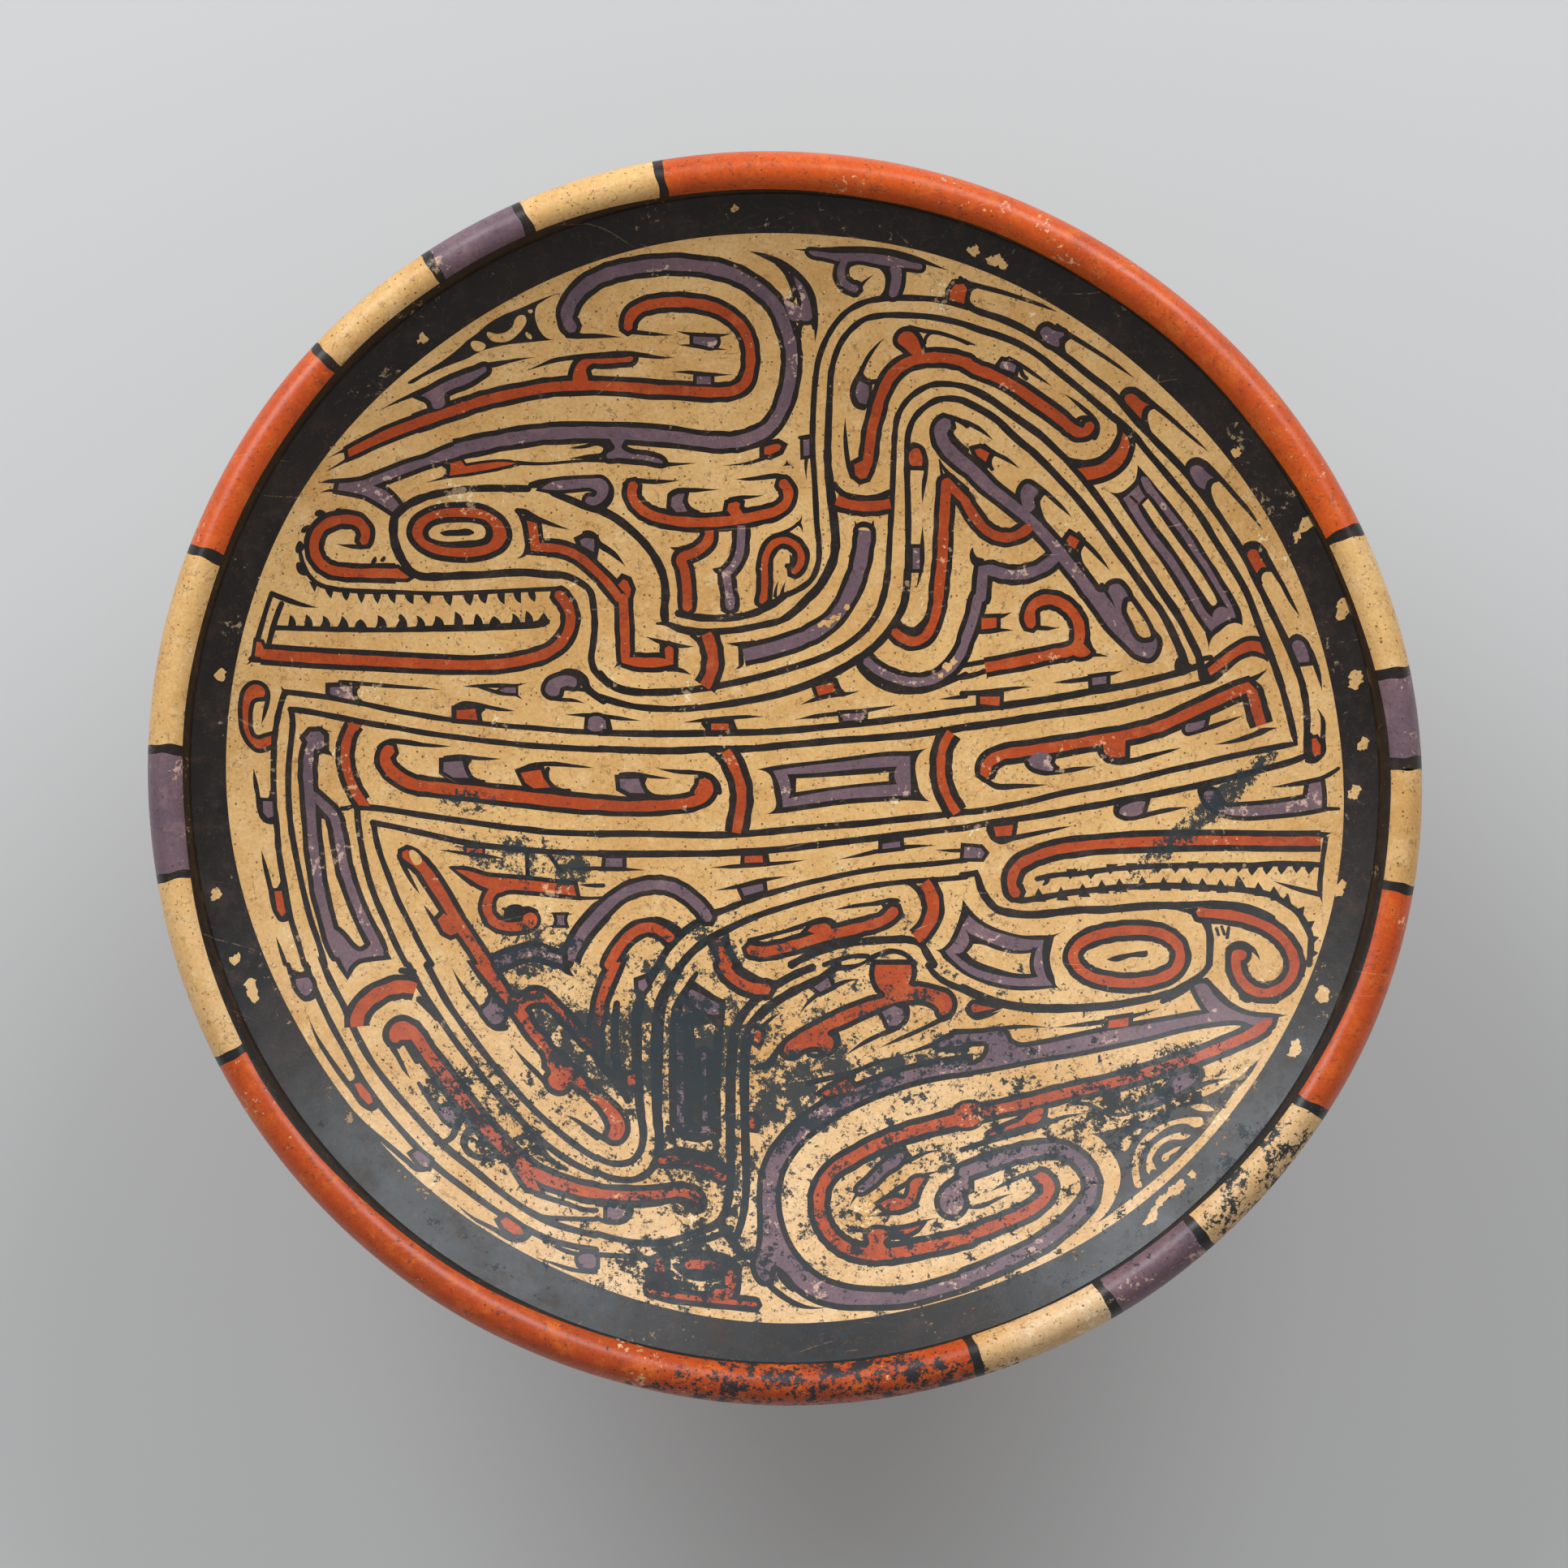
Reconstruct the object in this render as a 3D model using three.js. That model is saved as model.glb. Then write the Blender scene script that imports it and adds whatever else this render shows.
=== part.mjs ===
// Pedestal bowl: a wide shallow painted bowl on a flared hollow pedestal, in fired clay.
// Built by hand from a pressed pad and coils: the pad is the middle of the bowl, a coiled
// wall is scarfed onto it, a round coil makes the lip, and the pedestal is luted on below.
// Millimetres, +Z up. The origin is the middle of the face that the foot rests on.
import * as THREE from 'three';

// Driving dimensions
const bowlHeight = 140;        // resting face to the top of the lip
const mouthRadius = 145;       // to the outside of the lip
const outOfRound = 0.0106;     // the mouth is this share longer one way and shorter across
const longAxisTurn = -22.3;    // degrees from +X to the long way of the mouth

const lipWidth = 9.8;          // the round lip coil, across
const lipDepth = 13;           // and from its top to its underside
const lipJoinInside = 185;     // degrees round the lip's section to the wall's inside face
const lipJoinOutside = 252;    // and to the wall's outside face
const bowlDepth = 34;          // top of the inner wall down to the middle of the bowl
const bowlCurve = 2.4;         // power of the inside curve: higher is flatter in the middle
const padThickness = 8;        // clay at the middle of the bowl

const padRadius = 62;          // the pad's upper edge, where the wall coil is scarfed on
const scarfWidth = 5;          // how much further out the pad reaches underneath

const neckRadius = 41;         // outside of the pedestal at its top
const footRadius = 76;         // outside of the pedestal's foot
const flareCurve = 2.1;        // power of the pedestal's flare: higher keeps the neck longer
const pedestalWall = 7;
const footCoilHeight = 9;      // the thickened ring at the bottom of the pedestal
const footCoilBulge = 2.2;     // how far that ring stands out from the flare, each side
const footEdgeRadius = 3;      // rounding of the ring's resting edges

const outerLutingWidth = 12;   // the luting coil outside the neck, along the bowl's underside
const outerLutingDrop = 13;    // and down the neck
const innerLutingWidth = 9;    // the luting coil inside the neck, along the bowl's underside
const innerLutingDrop = 9;     // and down the neck
const coveFullness = 0.3;      // how much of the angle the smeared clay fills: 1 is a flat bevel

// How finely the curves are cut
const facets = 72;             // round the pot
const padSteps = 5;
const wallSteps = 7;
const lipOuterSteps = 9;       // up the outside of the lip to its top
const lipInnerSteps = 4;       // and down the inside to the wall
const flareSteps = 9;
const coveSteps = 4;
const edgeSteps = 3;

const slips = {
  cream: { color: 0xd9b67a, roughness: 0.42, metalness: 0 },
  orangeRed: { color: 0xc24a20, roughness: 0.36, metalness: 0 },
  brownRed: { color: 0x9c3d20, roughness: 0.5, metalness: 0 },
};

// Helpers
const point = (radius, height) => new THREE.Vector2(radius, height);

const steps = (count, curve) =>
  Array.from({ length: count + 1 }, (_, i) => curve(i / count));

const mix = (from, to, share) => from + (to - from) * share;

// Points from one end to the other of a cove that hollows towards the corner between them.
// Its curve pulls to a point short of the corner, as much as the clay fills the angle.
function cove(from, corner, to, count) {
  const across = from.clone().add(to).multiplyScalar(0.5);
  const pull = corner.clone().lerp(across, coveFullness);
  return new THREE.QuadraticBezierCurve(from, pull, to).getPoints(count);
}

// The mouth was pulled a little out of round, and the whole pot with it.
const turn = new THREE.Matrix4().makeRotationZ(THREE.MathUtils.degToRad(longAxisTurn));
const warp = turn.clone()
  .multiply(new THREE.Matrix4().makeScale(1 + outOfRound, 1 - outOfRound, 1))
  .multiply(turn.clone().invert());

// Turns a profile of (radius, height) points round the pot's axis.
function turned(name, profile, slip) {
  const geometry = new THREE.LatheGeometry(profile, facets);
  geometry.rotateX(Math.PI / 2);
  geometry.applyMatrix4(warp);
  const mesh = new THREE.Mesh(geometry, new THREE.MeshStandardMaterial(slips[slip]));
  mesh.name = name;
  return mesh;
}

// A ring's profile closes on its first point.
const closed = (profile) => [...profile, profile[0].clone()];

// The bowl's two surfaces
const lipMiddle = point(mouthRadius - lipWidth / 2, bowlHeight - lipDepth / 2);
const onLip = (degrees) => {
  const angle = THREE.MathUtils.degToRad(degrees);
  return point(
    lipMiddle.x + (lipWidth / 2) * Math.cos(angle),
    lipMiddle.y + (lipDepth / 2) * Math.sin(angle),
  );
};
const wallTopInside = onLip(lipJoinInside);
const wallTopOutside = onLip(lipJoinOutside);

const floorHeight = wallTopInside.y - bowlDepth;

// The flat seat under the bowl ends with the clay that holds the pedestal.
const seatHeight = floorHeight - padThickness;
const seatRadius = neckRadius + outerLutingWidth;

const insideHeight = (radius) =>
  floorHeight + bowlDepth * (radius / wallTopInside.x) ** bowlCurve;

// The clay thins evenly from the edge of the seat to the lip, measured straight down.
const clayAtSeat = insideHeight(seatRadius) - seatHeight;
const clayAtTop = insideHeight(wallTopOutside.x) - wallTopOutside.y;
const thinning = (radius) => (radius - seatRadius) / (wallTopOutside.x - seatRadius);
const undersideHeight = (radius) => radius <= seatRadius
  ? seatHeight
  : insideHeight(radius) - mix(clayAtSeat, clayAtTop, thinning(radius));

const inside = (radius) => point(radius, insideHeight(radius));
const underside = (radius) => point(radius, undersideHeight(radius));

// Pad: the pressed disc in the middle of the bowl, with a bevelled edge.
const padUnderRadius = padRadius + scarfWidth;
function floorPad() {
  const top = steps(padSteps, (s) => inside(padRadius * s));
  const below = [underside(padUnderRadius), ...seatPoints().reverse(), point(0, seatHeight)];
  return turned('floor_pad', [...top, ...below].reverse(), 'cream');
}

// The flat seat has a point at each edge of what is luted to it.
function seatPoints() {
  return [neckInside(seatHeight) - innerLutingWidth, neckInside(seatHeight), neckRadius, seatRadius]
    .map((radius) => point(radius, seatHeight));
}

// Wall: coils scraped into one curved band from the pad's bevel to the lip.
function wallCoil() {
  const rising = steps(wallSteps, (s) => inside(mix(padRadius, wallTopInside.x, s)));
  const falling = steps(wallSteps, (s) => underside(mix(wallTopOutside.x, padUnderRadius, s)));
  return turned('wall_coil', closed([...rising, ...falling].reverse()), 'cream');
}

// Lip: one thick round coil seated on the wall's top edge, standing out past the wall.
function rimCoil() {
  const top = 90;
  const up = steps(lipOuterSteps, (s) => onLip(mix(lipJoinOutside - 360, top, s)));
  const over = steps(lipInnerSteps, (s) => onLip(mix(top, lipJoinInside, s)));
  return turned('rim_coil', closed([...up, ...over.slice(1)]), 'orangeRed');
}

// Pedestal: a hollow trumpet, joined flat to the seat above and to the foot coil below.
const flareHeight = seatHeight - footCoilHeight;
const neckOutside = (height) => {
  const fromTop = (seatHeight - height) / flareHeight;
  return neckRadius + (footRadius - footCoilBulge - neckRadius) * fromTop ** flareCurve;
};
const neckInside = (height) => neckOutside(height) - pedestalWall;
const down = (drop) => seatHeight - drop;

// Heights of the pedestal's profile points, with one at the end of each luting coil.
function flareHeights(drop) {
  return [seatHeight, ...steps(flareSteps, (s) => mix(down(drop), footCoilHeight, s))];
}

function pedestalStem() {
  const outer = flareHeights(outerLutingDrop).map((h) => point(neckOutside(h), h));
  const inner = flareHeights(innerLutingDrop).map((h) => point(neckInside(h), h));
  return turned('pedestal_stem', closed([...inner, ...outer.reverse()]), 'brownRed');
}

// Outer luting coil: a rope of clay smeared into the angle between neck and bowl.
function outerLutingCoil() {
  const corner = point(neckRadius, seatHeight);
  const low = point(neckOutside(down(outerLutingDrop)), down(outerLutingDrop));
  const face = cove(low, corner, point(seatRadius, seatHeight), coveSteps);
  return turned('outer_luting_coil', closed([...face, corner]), 'brownRed');
}

// Inner luting coil: the same inside the neck, pressed in with a finger.
function innerLutingCoil() {
  const corner = point(neckInside(seatHeight), seatHeight);
  const low = point(neckInside(down(innerLutingDrop)), down(innerLutingDrop));
  const far = point(corner.x - innerLutingWidth, seatHeight);
  return turned('inner_luting_coil', closed([...cove(far, corner, low, coveSteps), corner]), 'brownRed');
}

// Foot coil: a thick ring that stiffens the pedestal's edge, with a flat resting face.
function footCoil() {
  const outer = neckOutside(footCoilHeight);
  const inner = neckInside(footCoilHeight);
  const roundOff = (centre, from) => steps(edgeSteps, (s) => {
    const angle = THREE.MathUtils.degToRad(from + 90 * s);
    return point(
      centre.x + footEdgeRadius * Math.cos(angle),
      centre.y + footEdgeRadius * Math.sin(angle),
    );
  });
  const outerEdge = point(outer + footCoilBulge - footEdgeRadius, footEdgeRadius);
  const innerEdge = point(inner - footCoilBulge + footEdgeRadius, footEdgeRadius);
  const profile = [
    ...roundOff(innerEdge, 180),
    ...roundOff(outerEdge, 270),
    point(outer, footCoilHeight),
    point(inner, footCoilHeight),
  ];
  return turned('foot_coil', closed(profile), 'brownRed');
}

const bowl = new THREE.Group();
bowl.add(
  floorPad(),
  wallCoil(),
  rimCoil(),
  outerLutingCoil(),
  innerLutingCoil(),
  pedestalStem(),
  footCoil(),
);

export default bowl;
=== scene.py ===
import bpy
import numpy as np
from mathutils.geometry import delaunay_2d_cdt
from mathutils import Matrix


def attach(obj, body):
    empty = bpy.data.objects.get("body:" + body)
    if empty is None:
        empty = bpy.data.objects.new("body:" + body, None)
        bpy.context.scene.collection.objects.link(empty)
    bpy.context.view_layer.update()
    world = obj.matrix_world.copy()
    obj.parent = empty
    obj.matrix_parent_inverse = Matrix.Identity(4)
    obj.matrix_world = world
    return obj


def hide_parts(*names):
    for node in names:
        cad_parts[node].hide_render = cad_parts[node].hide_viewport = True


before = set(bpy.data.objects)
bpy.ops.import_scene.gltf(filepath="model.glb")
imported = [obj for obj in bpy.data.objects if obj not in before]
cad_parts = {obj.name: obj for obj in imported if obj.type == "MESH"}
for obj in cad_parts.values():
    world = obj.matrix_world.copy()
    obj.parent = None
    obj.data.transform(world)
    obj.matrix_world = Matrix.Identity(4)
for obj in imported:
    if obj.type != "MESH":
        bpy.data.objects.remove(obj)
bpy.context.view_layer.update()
mm = 0.001

# The camera
# It stands almost straight over the bowl, 1.4 m from the rim, and leans 2 degrees from the near
# side, as the photographer's did. The frame is a little wider than the mouth.
camera_data = bpy.data.cameras.new("camera")
camera = bpy.data.objects.new("camera", camera_data)
bpy.context.collection.objects.link(camera)
bpy.context.scene.camera = camera
aim = np.array([0.3, -1.7, 133.5]) * mm
aim_distance = 1400 * mm
frame_width = 359.6 * mm
lean = np.radians(2)
camera.location = aim + aim_distance * np.array([0, -np.sin(lean), np.cos(lean)])
camera.rotation_euler = (lean, 0, 0)
camera_data.sensor_width = 36
camera_data.lens = camera_data.sensor_width * aim_distance / frame_width
camera_data.clip_end = 20

# The floor pad
# The bowl starts as a pressed disc of clay, the middle of the floor. Its edge is bevelled
# underneath, to take the wall, and its flat underside is the seat of the pedestal.
pot_height = 140.0 * mm
mouth_radius = 145.0 * mm
lip_width = 9.8 * mm
lip_depth = 13.0 * mm
lip_join_inside = 185.0          # degrees round the lip's section to the wall's inside face
lip_join_outside = 252.0         # and to the wall's outside face
bowl_depth = 34.0 * mm
bowl_curve = 2.4                 # power of the inside curve: higher is flatter in the middle
pad_thickness = 8.0 * mm
pad_radius = 62.0 * mm
scarf_width = 5.0 * mm
neck_radius = 41.0 * mm
outer_luting_width = 12.0 * mm
seat_radius = neck_radius + outer_luting_width
pedestal_wall = 7.0 * mm
out_of_round = 0.0106            # the mouth is this share longer one way and shorter across
long_axis = np.radians(-22.3)
slip_sink = 0.15 * mm            # how far the clay lies under the face of the painted slip


def on_lip(degrees):
    """Radius and height on the lip's section: an ellipse lip_width by lip_depth about its middle."""
    turn = np.radians(degrees)
    return (mouth_radius - lip_width / 2 + lip_width / 2 * np.cos(turn),
            pot_height - lip_depth / 2 + lip_depth / 2 * np.sin(turn))


wall_top_inside = on_lip(lip_join_inside)
wall_top_outside = on_lip(lip_join_outside)
floor_height = wall_top_inside[1] - bowl_depth
seat_height = floor_height - pad_thickness


def inside_height(radius):
    """floor + depth * (radius / top radius) ** curve: nearly flat in the middle, steepest at the lip."""
    return floor_height + bowl_depth * (radius / wall_top_inside[0]) ** bowl_curve


def underside_height(radius):
    """The inside height less the clay, which thins evenly from the seat's edge to the lip."""
    clay_at_seat = inside_height(seat_radius) - seat_height
    clay_at_top = inside_height(wall_top_outside[0]) - wall_top_outside[1]
    out = (radius - seat_radius) / (wall_top_outside[0] - seat_radius)
    return np.where(radius <= seat_radius, seat_height,
                    inside_height(radius) - clay_at_seat + (clay_at_seat - clay_at_top) * out)


def push_out(radius, angle):
    """How far three slow waves round the pot push a point out: up to 0.6 mm at the rim, and less
    further in by the square of the radius."""
    push = 0.42 * np.cos(3 * angle + 0.52) + 0.12 * np.sin(5 * angle + 2.1) + 0.06 * np.sin(11 * angle)
    return push * mm * (radius / mouth_radius) ** 2


def by_hand(radius, height, angle):
    """Points of a true round pot as the potter's hands left them. They are pushed out, and lifted by
    up to 0.6 mm at the rim, less further in and lower down, and not at all at the resting face.
    Then the circle is stretched along the long axis and shrunk across it by the out-of-round share."""
    lift = 0.34 * np.sin(3 * angle + 1.1) + 0.16 * np.sin(7 * angle + 0.4) + 0.08 * np.sin(13 * angle)
    out = radius + push_out(radius, angle)
    up = height + lift * mm * (radius / mouth_radius) ** 3 * height / pot_height
    along = out * np.cos(angle - long_axis) * (1 + out_of_round)
    across = out * np.sin(angle - long_axis) * (1 - out_of_round)
    return np.stack([along * np.cos(long_axis) - across * np.sin(long_axis),
                     along * np.sin(long_axis) + across * np.cos(long_axis), up], -1)


def solid(name, points, faces, crease=40):
    """A mesh piece that is smooth except at edges that turn by more than crease degrees."""
    mesh = bpy.data.meshes.new(name)
    mesh.from_pydata(points, [], faces)
    mesh.shade_smooth()
    mesh.set_sharp_from_angle(angle=np.radians(crease))
    mesh.validate()
    piece = bpy.data.objects.new(name, mesh)
    bpy.context.collection.objects.link(piece)
    return piece


round_steps = 360


def turned(name, radius, height, crease=40):
    """A profile of radii and heights carried once round the pot. An end on the axis is one point;
    a profile with no end on the axis closes on its first point."""
    capped = radius[0] == 0
    angle = np.radians(np.arange(round_steps) * 360 / round_steps)
    body = slice(1, -1) if capped else slice(None)
    r, h = radius[body], height[body]
    points = by_hand(r[:, None], h[:, None], angle[None, :]).reshape(-1, 3)
    rows = len(r) - 1 if capped else len(r)
    ring = np.arange(round_steps)
    here = np.arange(rows)[:, None] * round_steps
    above = ((np.arange(rows) + 1) % len(r))[:, None] * round_steps
    ahead = (ring + 1) % round_steps
    faces = np.stack([here + ring, here + ahead, above + ahead, above + ring], -1).reshape(-1, 4).tolist()
    if capped:
        first, last = len(points), len(points) + 1
        points = np.vstack([points, [0, 0, height[0]], [0, 0, height[-1]]])
        top = (len(r) - 1) * round_steps
        faces += np.stack([np.full(round_steps, first), ahead, ring], -1).tolist()
        faces += np.stack([np.full(round_steps, last), top + ring, top + ahead], -1).tolist()
    return solid(name, points, faces, crease)


def dress(piece, slot, material, *nodes):
    """The piece rides on the pot and has this finish, and these CAD nodes are hidden in its place."""
    piece.data.materials.append(material)
    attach(piece, "root")
    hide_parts(*nodes)


def linear(code):
    """Linear colour from sRGB hex: each share c is c / 12.92 up to 0.04045, and above it
    ((c + 0.055) / 1.055) ** 2.4."""
    share = np.array([int(code[i:i + 2], 16) for i in (1, 3, 5)]) / 255
    return (*np.where(share <= 0.04045, share / 12.92, ((share + 0.055) / 1.055) ** 2.4).tolist(), 1.0)


def add(tree, kind, inputs, output=0, **settings):
    """Adds a node of this kind with its settings, and gives each input a value or another node's output."""
    node = tree.nodes.new("ShaderNode" + kind)
    for key, value in settings.items():
        setattr(node, key, value)
    for socket, value in inputs.items():
        if isinstance(value, bpy.types.NodeSocket):
            tree.links.new(value, node.inputs[socket])
        else:
            node.inputs[socket].default_value = value
    return node.outputs[output]


def noise(tree, place, size, detail, roughness):
    """Noise from 0 to 1: forms this size across, and over them as many finer layers as detail says,
    each with forms half as large and roughness times as strong."""
    return add(tree, "TexNoise", {"Vector": place, "Scale": 1 / size, "Detail": detail,
                                  "Roughness": roughness}, "Fac")


def blend(tree, share, first, second):
    """The first colour where the share is 0 and the second where it is 1."""
    return add(tree, "Mix", {0: share, 6: first, 7: second}, 2, data_type="RGBA")


# Where soot and mineral stain lie on the bowl, seen from above: the middle of each patch, half
# its length and width, its turn in degrees, and how much of it is covered in its middle
stain_tone = "#17242a"
stains = [
    (-57, -48, 30, 22, -35, 0.55),
    (-22, -63, 34, 24, -8, 0.74),
    (-18, -90, 24, 26, 10, 0.62),
    (-68, -78, 32, 16, -44, 0.6),
    (-20, -112, 34, 14, 5, 0.62),
    (6, -72, 34, 16, 12, 0.66),
    (44, -80, 60, 26, 12, 0.42),
    (82, -74, 34, 14, 28, 0.6),
    (97, -9, 34, 5, 42, 0.78),
    (-60, -18, 36, 10, -14, 0.5),
    (-72, -5, 14, 5, -8, 0.5),
    (-57, -40, 13, 6, 5, 0.7),
    (-20, -40, 26, 14, 10, 0.46),
    (108, -93, 30, 14, 55, 0.5),
    (10, -138, 70, 11, 2, 0.56),
    (5, -74, 24, 13, 25, 0.74),
    (-44, -62, 20, 17, -50, 0.78),
    (30, -66, 30, 7, 14, 0.56),
    (16, -100, 30, 22, 0, 0.42),
    (5, -80, 138, 78, 0, 0.37),
]


def stain_cover(tree, place):
    """How much stain lies at a place: the highest of the patches' soft ellipses, 1 in the middle."""
    cover = None
    for x, y, half_length, half_width, turn, most in stains:
        local = add(tree, "Mapping", {
            "Vector": place, "Location": (x * mm, y * mm, 0), "Rotation": (0, 0, np.radians(turn)),
            "Scale": (half_length * mm, half_width * mm, 10)}, vector_type="TEXTURE")
        soft = add(tree, "TexGradient", {"Vector": local}, "Fac", gradient_type="SPHERICAL")
        patch_cover = add(tree, "MapRange", {"Value": soft, "From Max": 0.6, "To Max": most})
        if cover is None:
            cover = patch_cover
        else:
            cover = add(tree, "Math", {0: cover, 1: patch_cover}, operation="MAXIMUM")
    return cover


def burnished_slip(name, ground, deep, thin_tone, worn, roughness, wear=0.5, specks=0.4,
                   sheen=0.0, near_side_lighting_tone=None, stain=1.0, speck="#4a3326"):
    """Clay slip rubbed to a soft shine with a pebble. ground and deep are its two main tones, thin_tone
    its look where the brush left it thin, worn what shows where it is rubbed through, and speck the tone
    of its fine dark flecks. The tone given for the near side is painted light: how the lamps brighten,
    shade or glint on the near side, blended into the colour as y goes from -20 to -115 mm. wear and
    specks are how much of each there is, from 0 to 1, and stain is the share of the patches' stain that
    this slip takes."""
    material = bpy.data.materials.new(name)
    material.use_nodes = True
    tree = material.node_tree
    shader = tree.nodes["Principled BSDF"]
    place = add(tree, "TexCoord", {}, "Object")

    # Slow change of tone, 25 mm across, and the grain of the slip at 0.8 mm
    slow = noise(tree, place, 25 * mm, 6, 0.66)
    slow = add(tree, "MapRange", {"Value": slow, "From Min": 0.36, "From Max": 0.66})
    grain = noise(tree, place, 0.8 * mm, 3, 0.7)
    # Painted light: towards the near side the colour turns to the near-side tone, which stands in for the
    # lamps' brightening, shade or blue-grey glint there
    near = add(tree, "SeparateXYZ", {0: place}, "Y")
    near = add(tree, "MapRange", {"Value": near, "From Min": -20 * mm, "From Max": -115 * mm})
    base = blend(tree, near, linear(ground), linear(near_side_lighting_tone or ground))
    tone = blend(tree, slow, base, linear(deep))
    thin = noise(tree, place, 7 * mm, 8, 0.75)
    thin = add(tree, "MapRange", {"Value": thin, "From Min": 0.50, "From Max": 0.68, "To Max": 0.75})
    tone = blend(tree, thin, tone, linear(thin_tone))
    light = add(tree, "MapRange", {"Value": grain, "From Min": 0.3, "From Max": 0.7,
                                   "To Min": 0.84, "To Max": 1.13})
    tone = add(tree, "Mix", {0: 1.0, 6: tone, 7: light}, 2, data_type="RGBA", blend_type="MULTIPLY")

    # Rubbed flecks, 1.5 mm across and only where a 12 mm pattern lets them be
    fleck = noise(tree, place, 1.5 * mm, 4, 0.65)
    where = add(tree, "TexNoise", {"Vector": place, "Scale": 1 / (12 * mm), "Detail": 3, "W": 3.0}, "Fac",
                noise_dimensions="4D")
    both = add(tree, "Math", {0: fleck, 1: where}, operation="ADD")
    least = 1.27 - 0.14 * wear
    rubbed = add(tree, "MapRange", {"Value": both, "From Min": least, "From Max": least + 0.06})

    # Fine scratches in three directions, about 0.2 mm wide and up to 30 mm long
    scratched = None
    drift = add(tree, "TexNoise", {"Vector": place, "Scale": 1 / (60 * mm), "Detail": 1}, "Color")
    bent = add(tree, "VectorMath", {0: drift, 1: (0.05, 0.05, 0), 2: place}, operation="MULTIPLY_ADD")
    for turn, seed in ((18, 0.0), (76, 5.0), (139, 9.0)):
        lane = add(tree, "Mapping", {"Vector": bent, "Rotation": (0, 0, np.radians(turn)),
                                     "Location": (seed, 0, 0), "Scale": (1 / (26 * mm), 1 / (1.0 * mm), 0)})
        line_noise = add(tree, "TexNoise", {"Vector": lane, "Scale": 1.0, "Detail": 1}, "Fac")
        cut = add(tree, "MapRange", {"Value": line_noise, "From Min": 0.75, "From Max": 0.78})
        if scratched is None:
            scratched = cut
        else:
            scratched = add(tree, "Math", {0: scratched, 1: cut}, operation="MAXIMUM")
    broken = add(tree, "MapRange", {"Value": fleck, "From Min": 0.42, "From Max": 0.55, "To Max": wear})
    scratched = add(tree, "Math", {0: scratched, 1: broken}, operation="MULTIPLY")
    rubbed = add(tree, "Math", {0: rubbed, 1: scratched}, operation="MAXIMUM")
    tone = blend(tree, rubbed, tone, linear(worn))

    # Traces of rootlets, hairlines 0.2 mm wide that wander over 6 mm and break where the flecks are
    vein = add(tree, "TexNoise", {"Vector": place, "Scale": 1 / (6 * mm), "Detail": 4, "Roughness": 0.62,
                                  "W": 7.0}, "Fac", noise_dimensions="4D")
    vein = add(tree, "Math", {0: vein, 1: 0.5, 2: 0.012}, operation="COMPARE")
    kept = add(tree, "MapRange", {"Value": fleck, "From Min": 0.47, "From Max": 0.58, "To Max": 0.5})
    vein = add(tree, "Math", {0: vein, 1: kept}, operation="MULTIPLY")
    tone = blend(tree, vein, tone, linear(speck))

    # Specks of iron and soot, 0.1 to 0.6 mm, in some of the cells of a 1.2 mm pattern
    cells = tree.nodes.new("ShaderNodeTexVoronoi")
    tree.links.new(place, cells.inputs["Vector"])
    cells.inputs["Scale"].default_value = 1 / (1.2 * mm)
    chosen = add(tree, "SeparateColor", {0: cells.outputs["Color"]}, "Red")
    size = add(tree, "MapRange", {"Value": chosen, "From Min": 1 - specks, "From Max": 1, "To Max": 0.27})
    ragged = add(tree, "MapRange", {"Value": grain, "To Min": 0.4, "To Max": 1.6})
    size = add(tree, "Math", {0: size, 1: ragged}, operation="MULTIPLY")
    spot = add(tree, "Math", {0: size, 1: cells.outputs["Distance"]}, operation="SUBTRACT")
    spot = add(tree, "MapRange", {"Value": spot, "From Min": 0, "From Max": 0.06, "To Max": 0.85})
    tone = blend(tree, spot, tone, linear(speck))

    # Stain: ragged blots from 5 mm down to 0.3 mm and a spatter of 0.3 to 1 mm, thick where the patches are
    askew = add(tree, "Mapping", {"Vector": place, "Rotation": np.radians((34, 28, 21))})
    blots = noise(tree, askew, 5 * mm, 6, 0.8)
    cover = add(tree, "Math", {0: stain_cover(tree, place), 1: 0.6}, operation="POWER")
    cover = add(tree, "Math", {0: cover, 1: stain}, operation="MULTIPLY")
    threshold = add(tree, "MapRange", {"Value": cover, "To Min": 0.74, "To Max": 0.41})
    blot = add(tree, "Math", {0: blots, 1: threshold}, operation="SUBTRACT")
    blot = add(tree, "MapRange", {"Value": blot, "From Min": 0, "From Max": 0.014, "To Max": 0.97})
    spatter = noise(tree, askew, 1.5 * mm, 4, 0.7)
    threshold = add(tree, "MapRange", {"Value": cover, "To Min": 0.75, "To Max": 0.48})
    spatter = add(tree, "Math", {0: spatter, 1: threshold}, operation="SUBTRACT")
    spatter = add(tree, "MapRange", {"Value": spatter, "From Min": 0, "From Max": 0.016, "To Max": 0.95})
    blot = add(tree, "Math", {0: blot, 1: spatter}, operation="MAXIMUM")
    tone = blend(tree, blot, tone, linear(stain_tone))
    tree.links.new(tone, shader.inputs["Base Color"])

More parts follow.
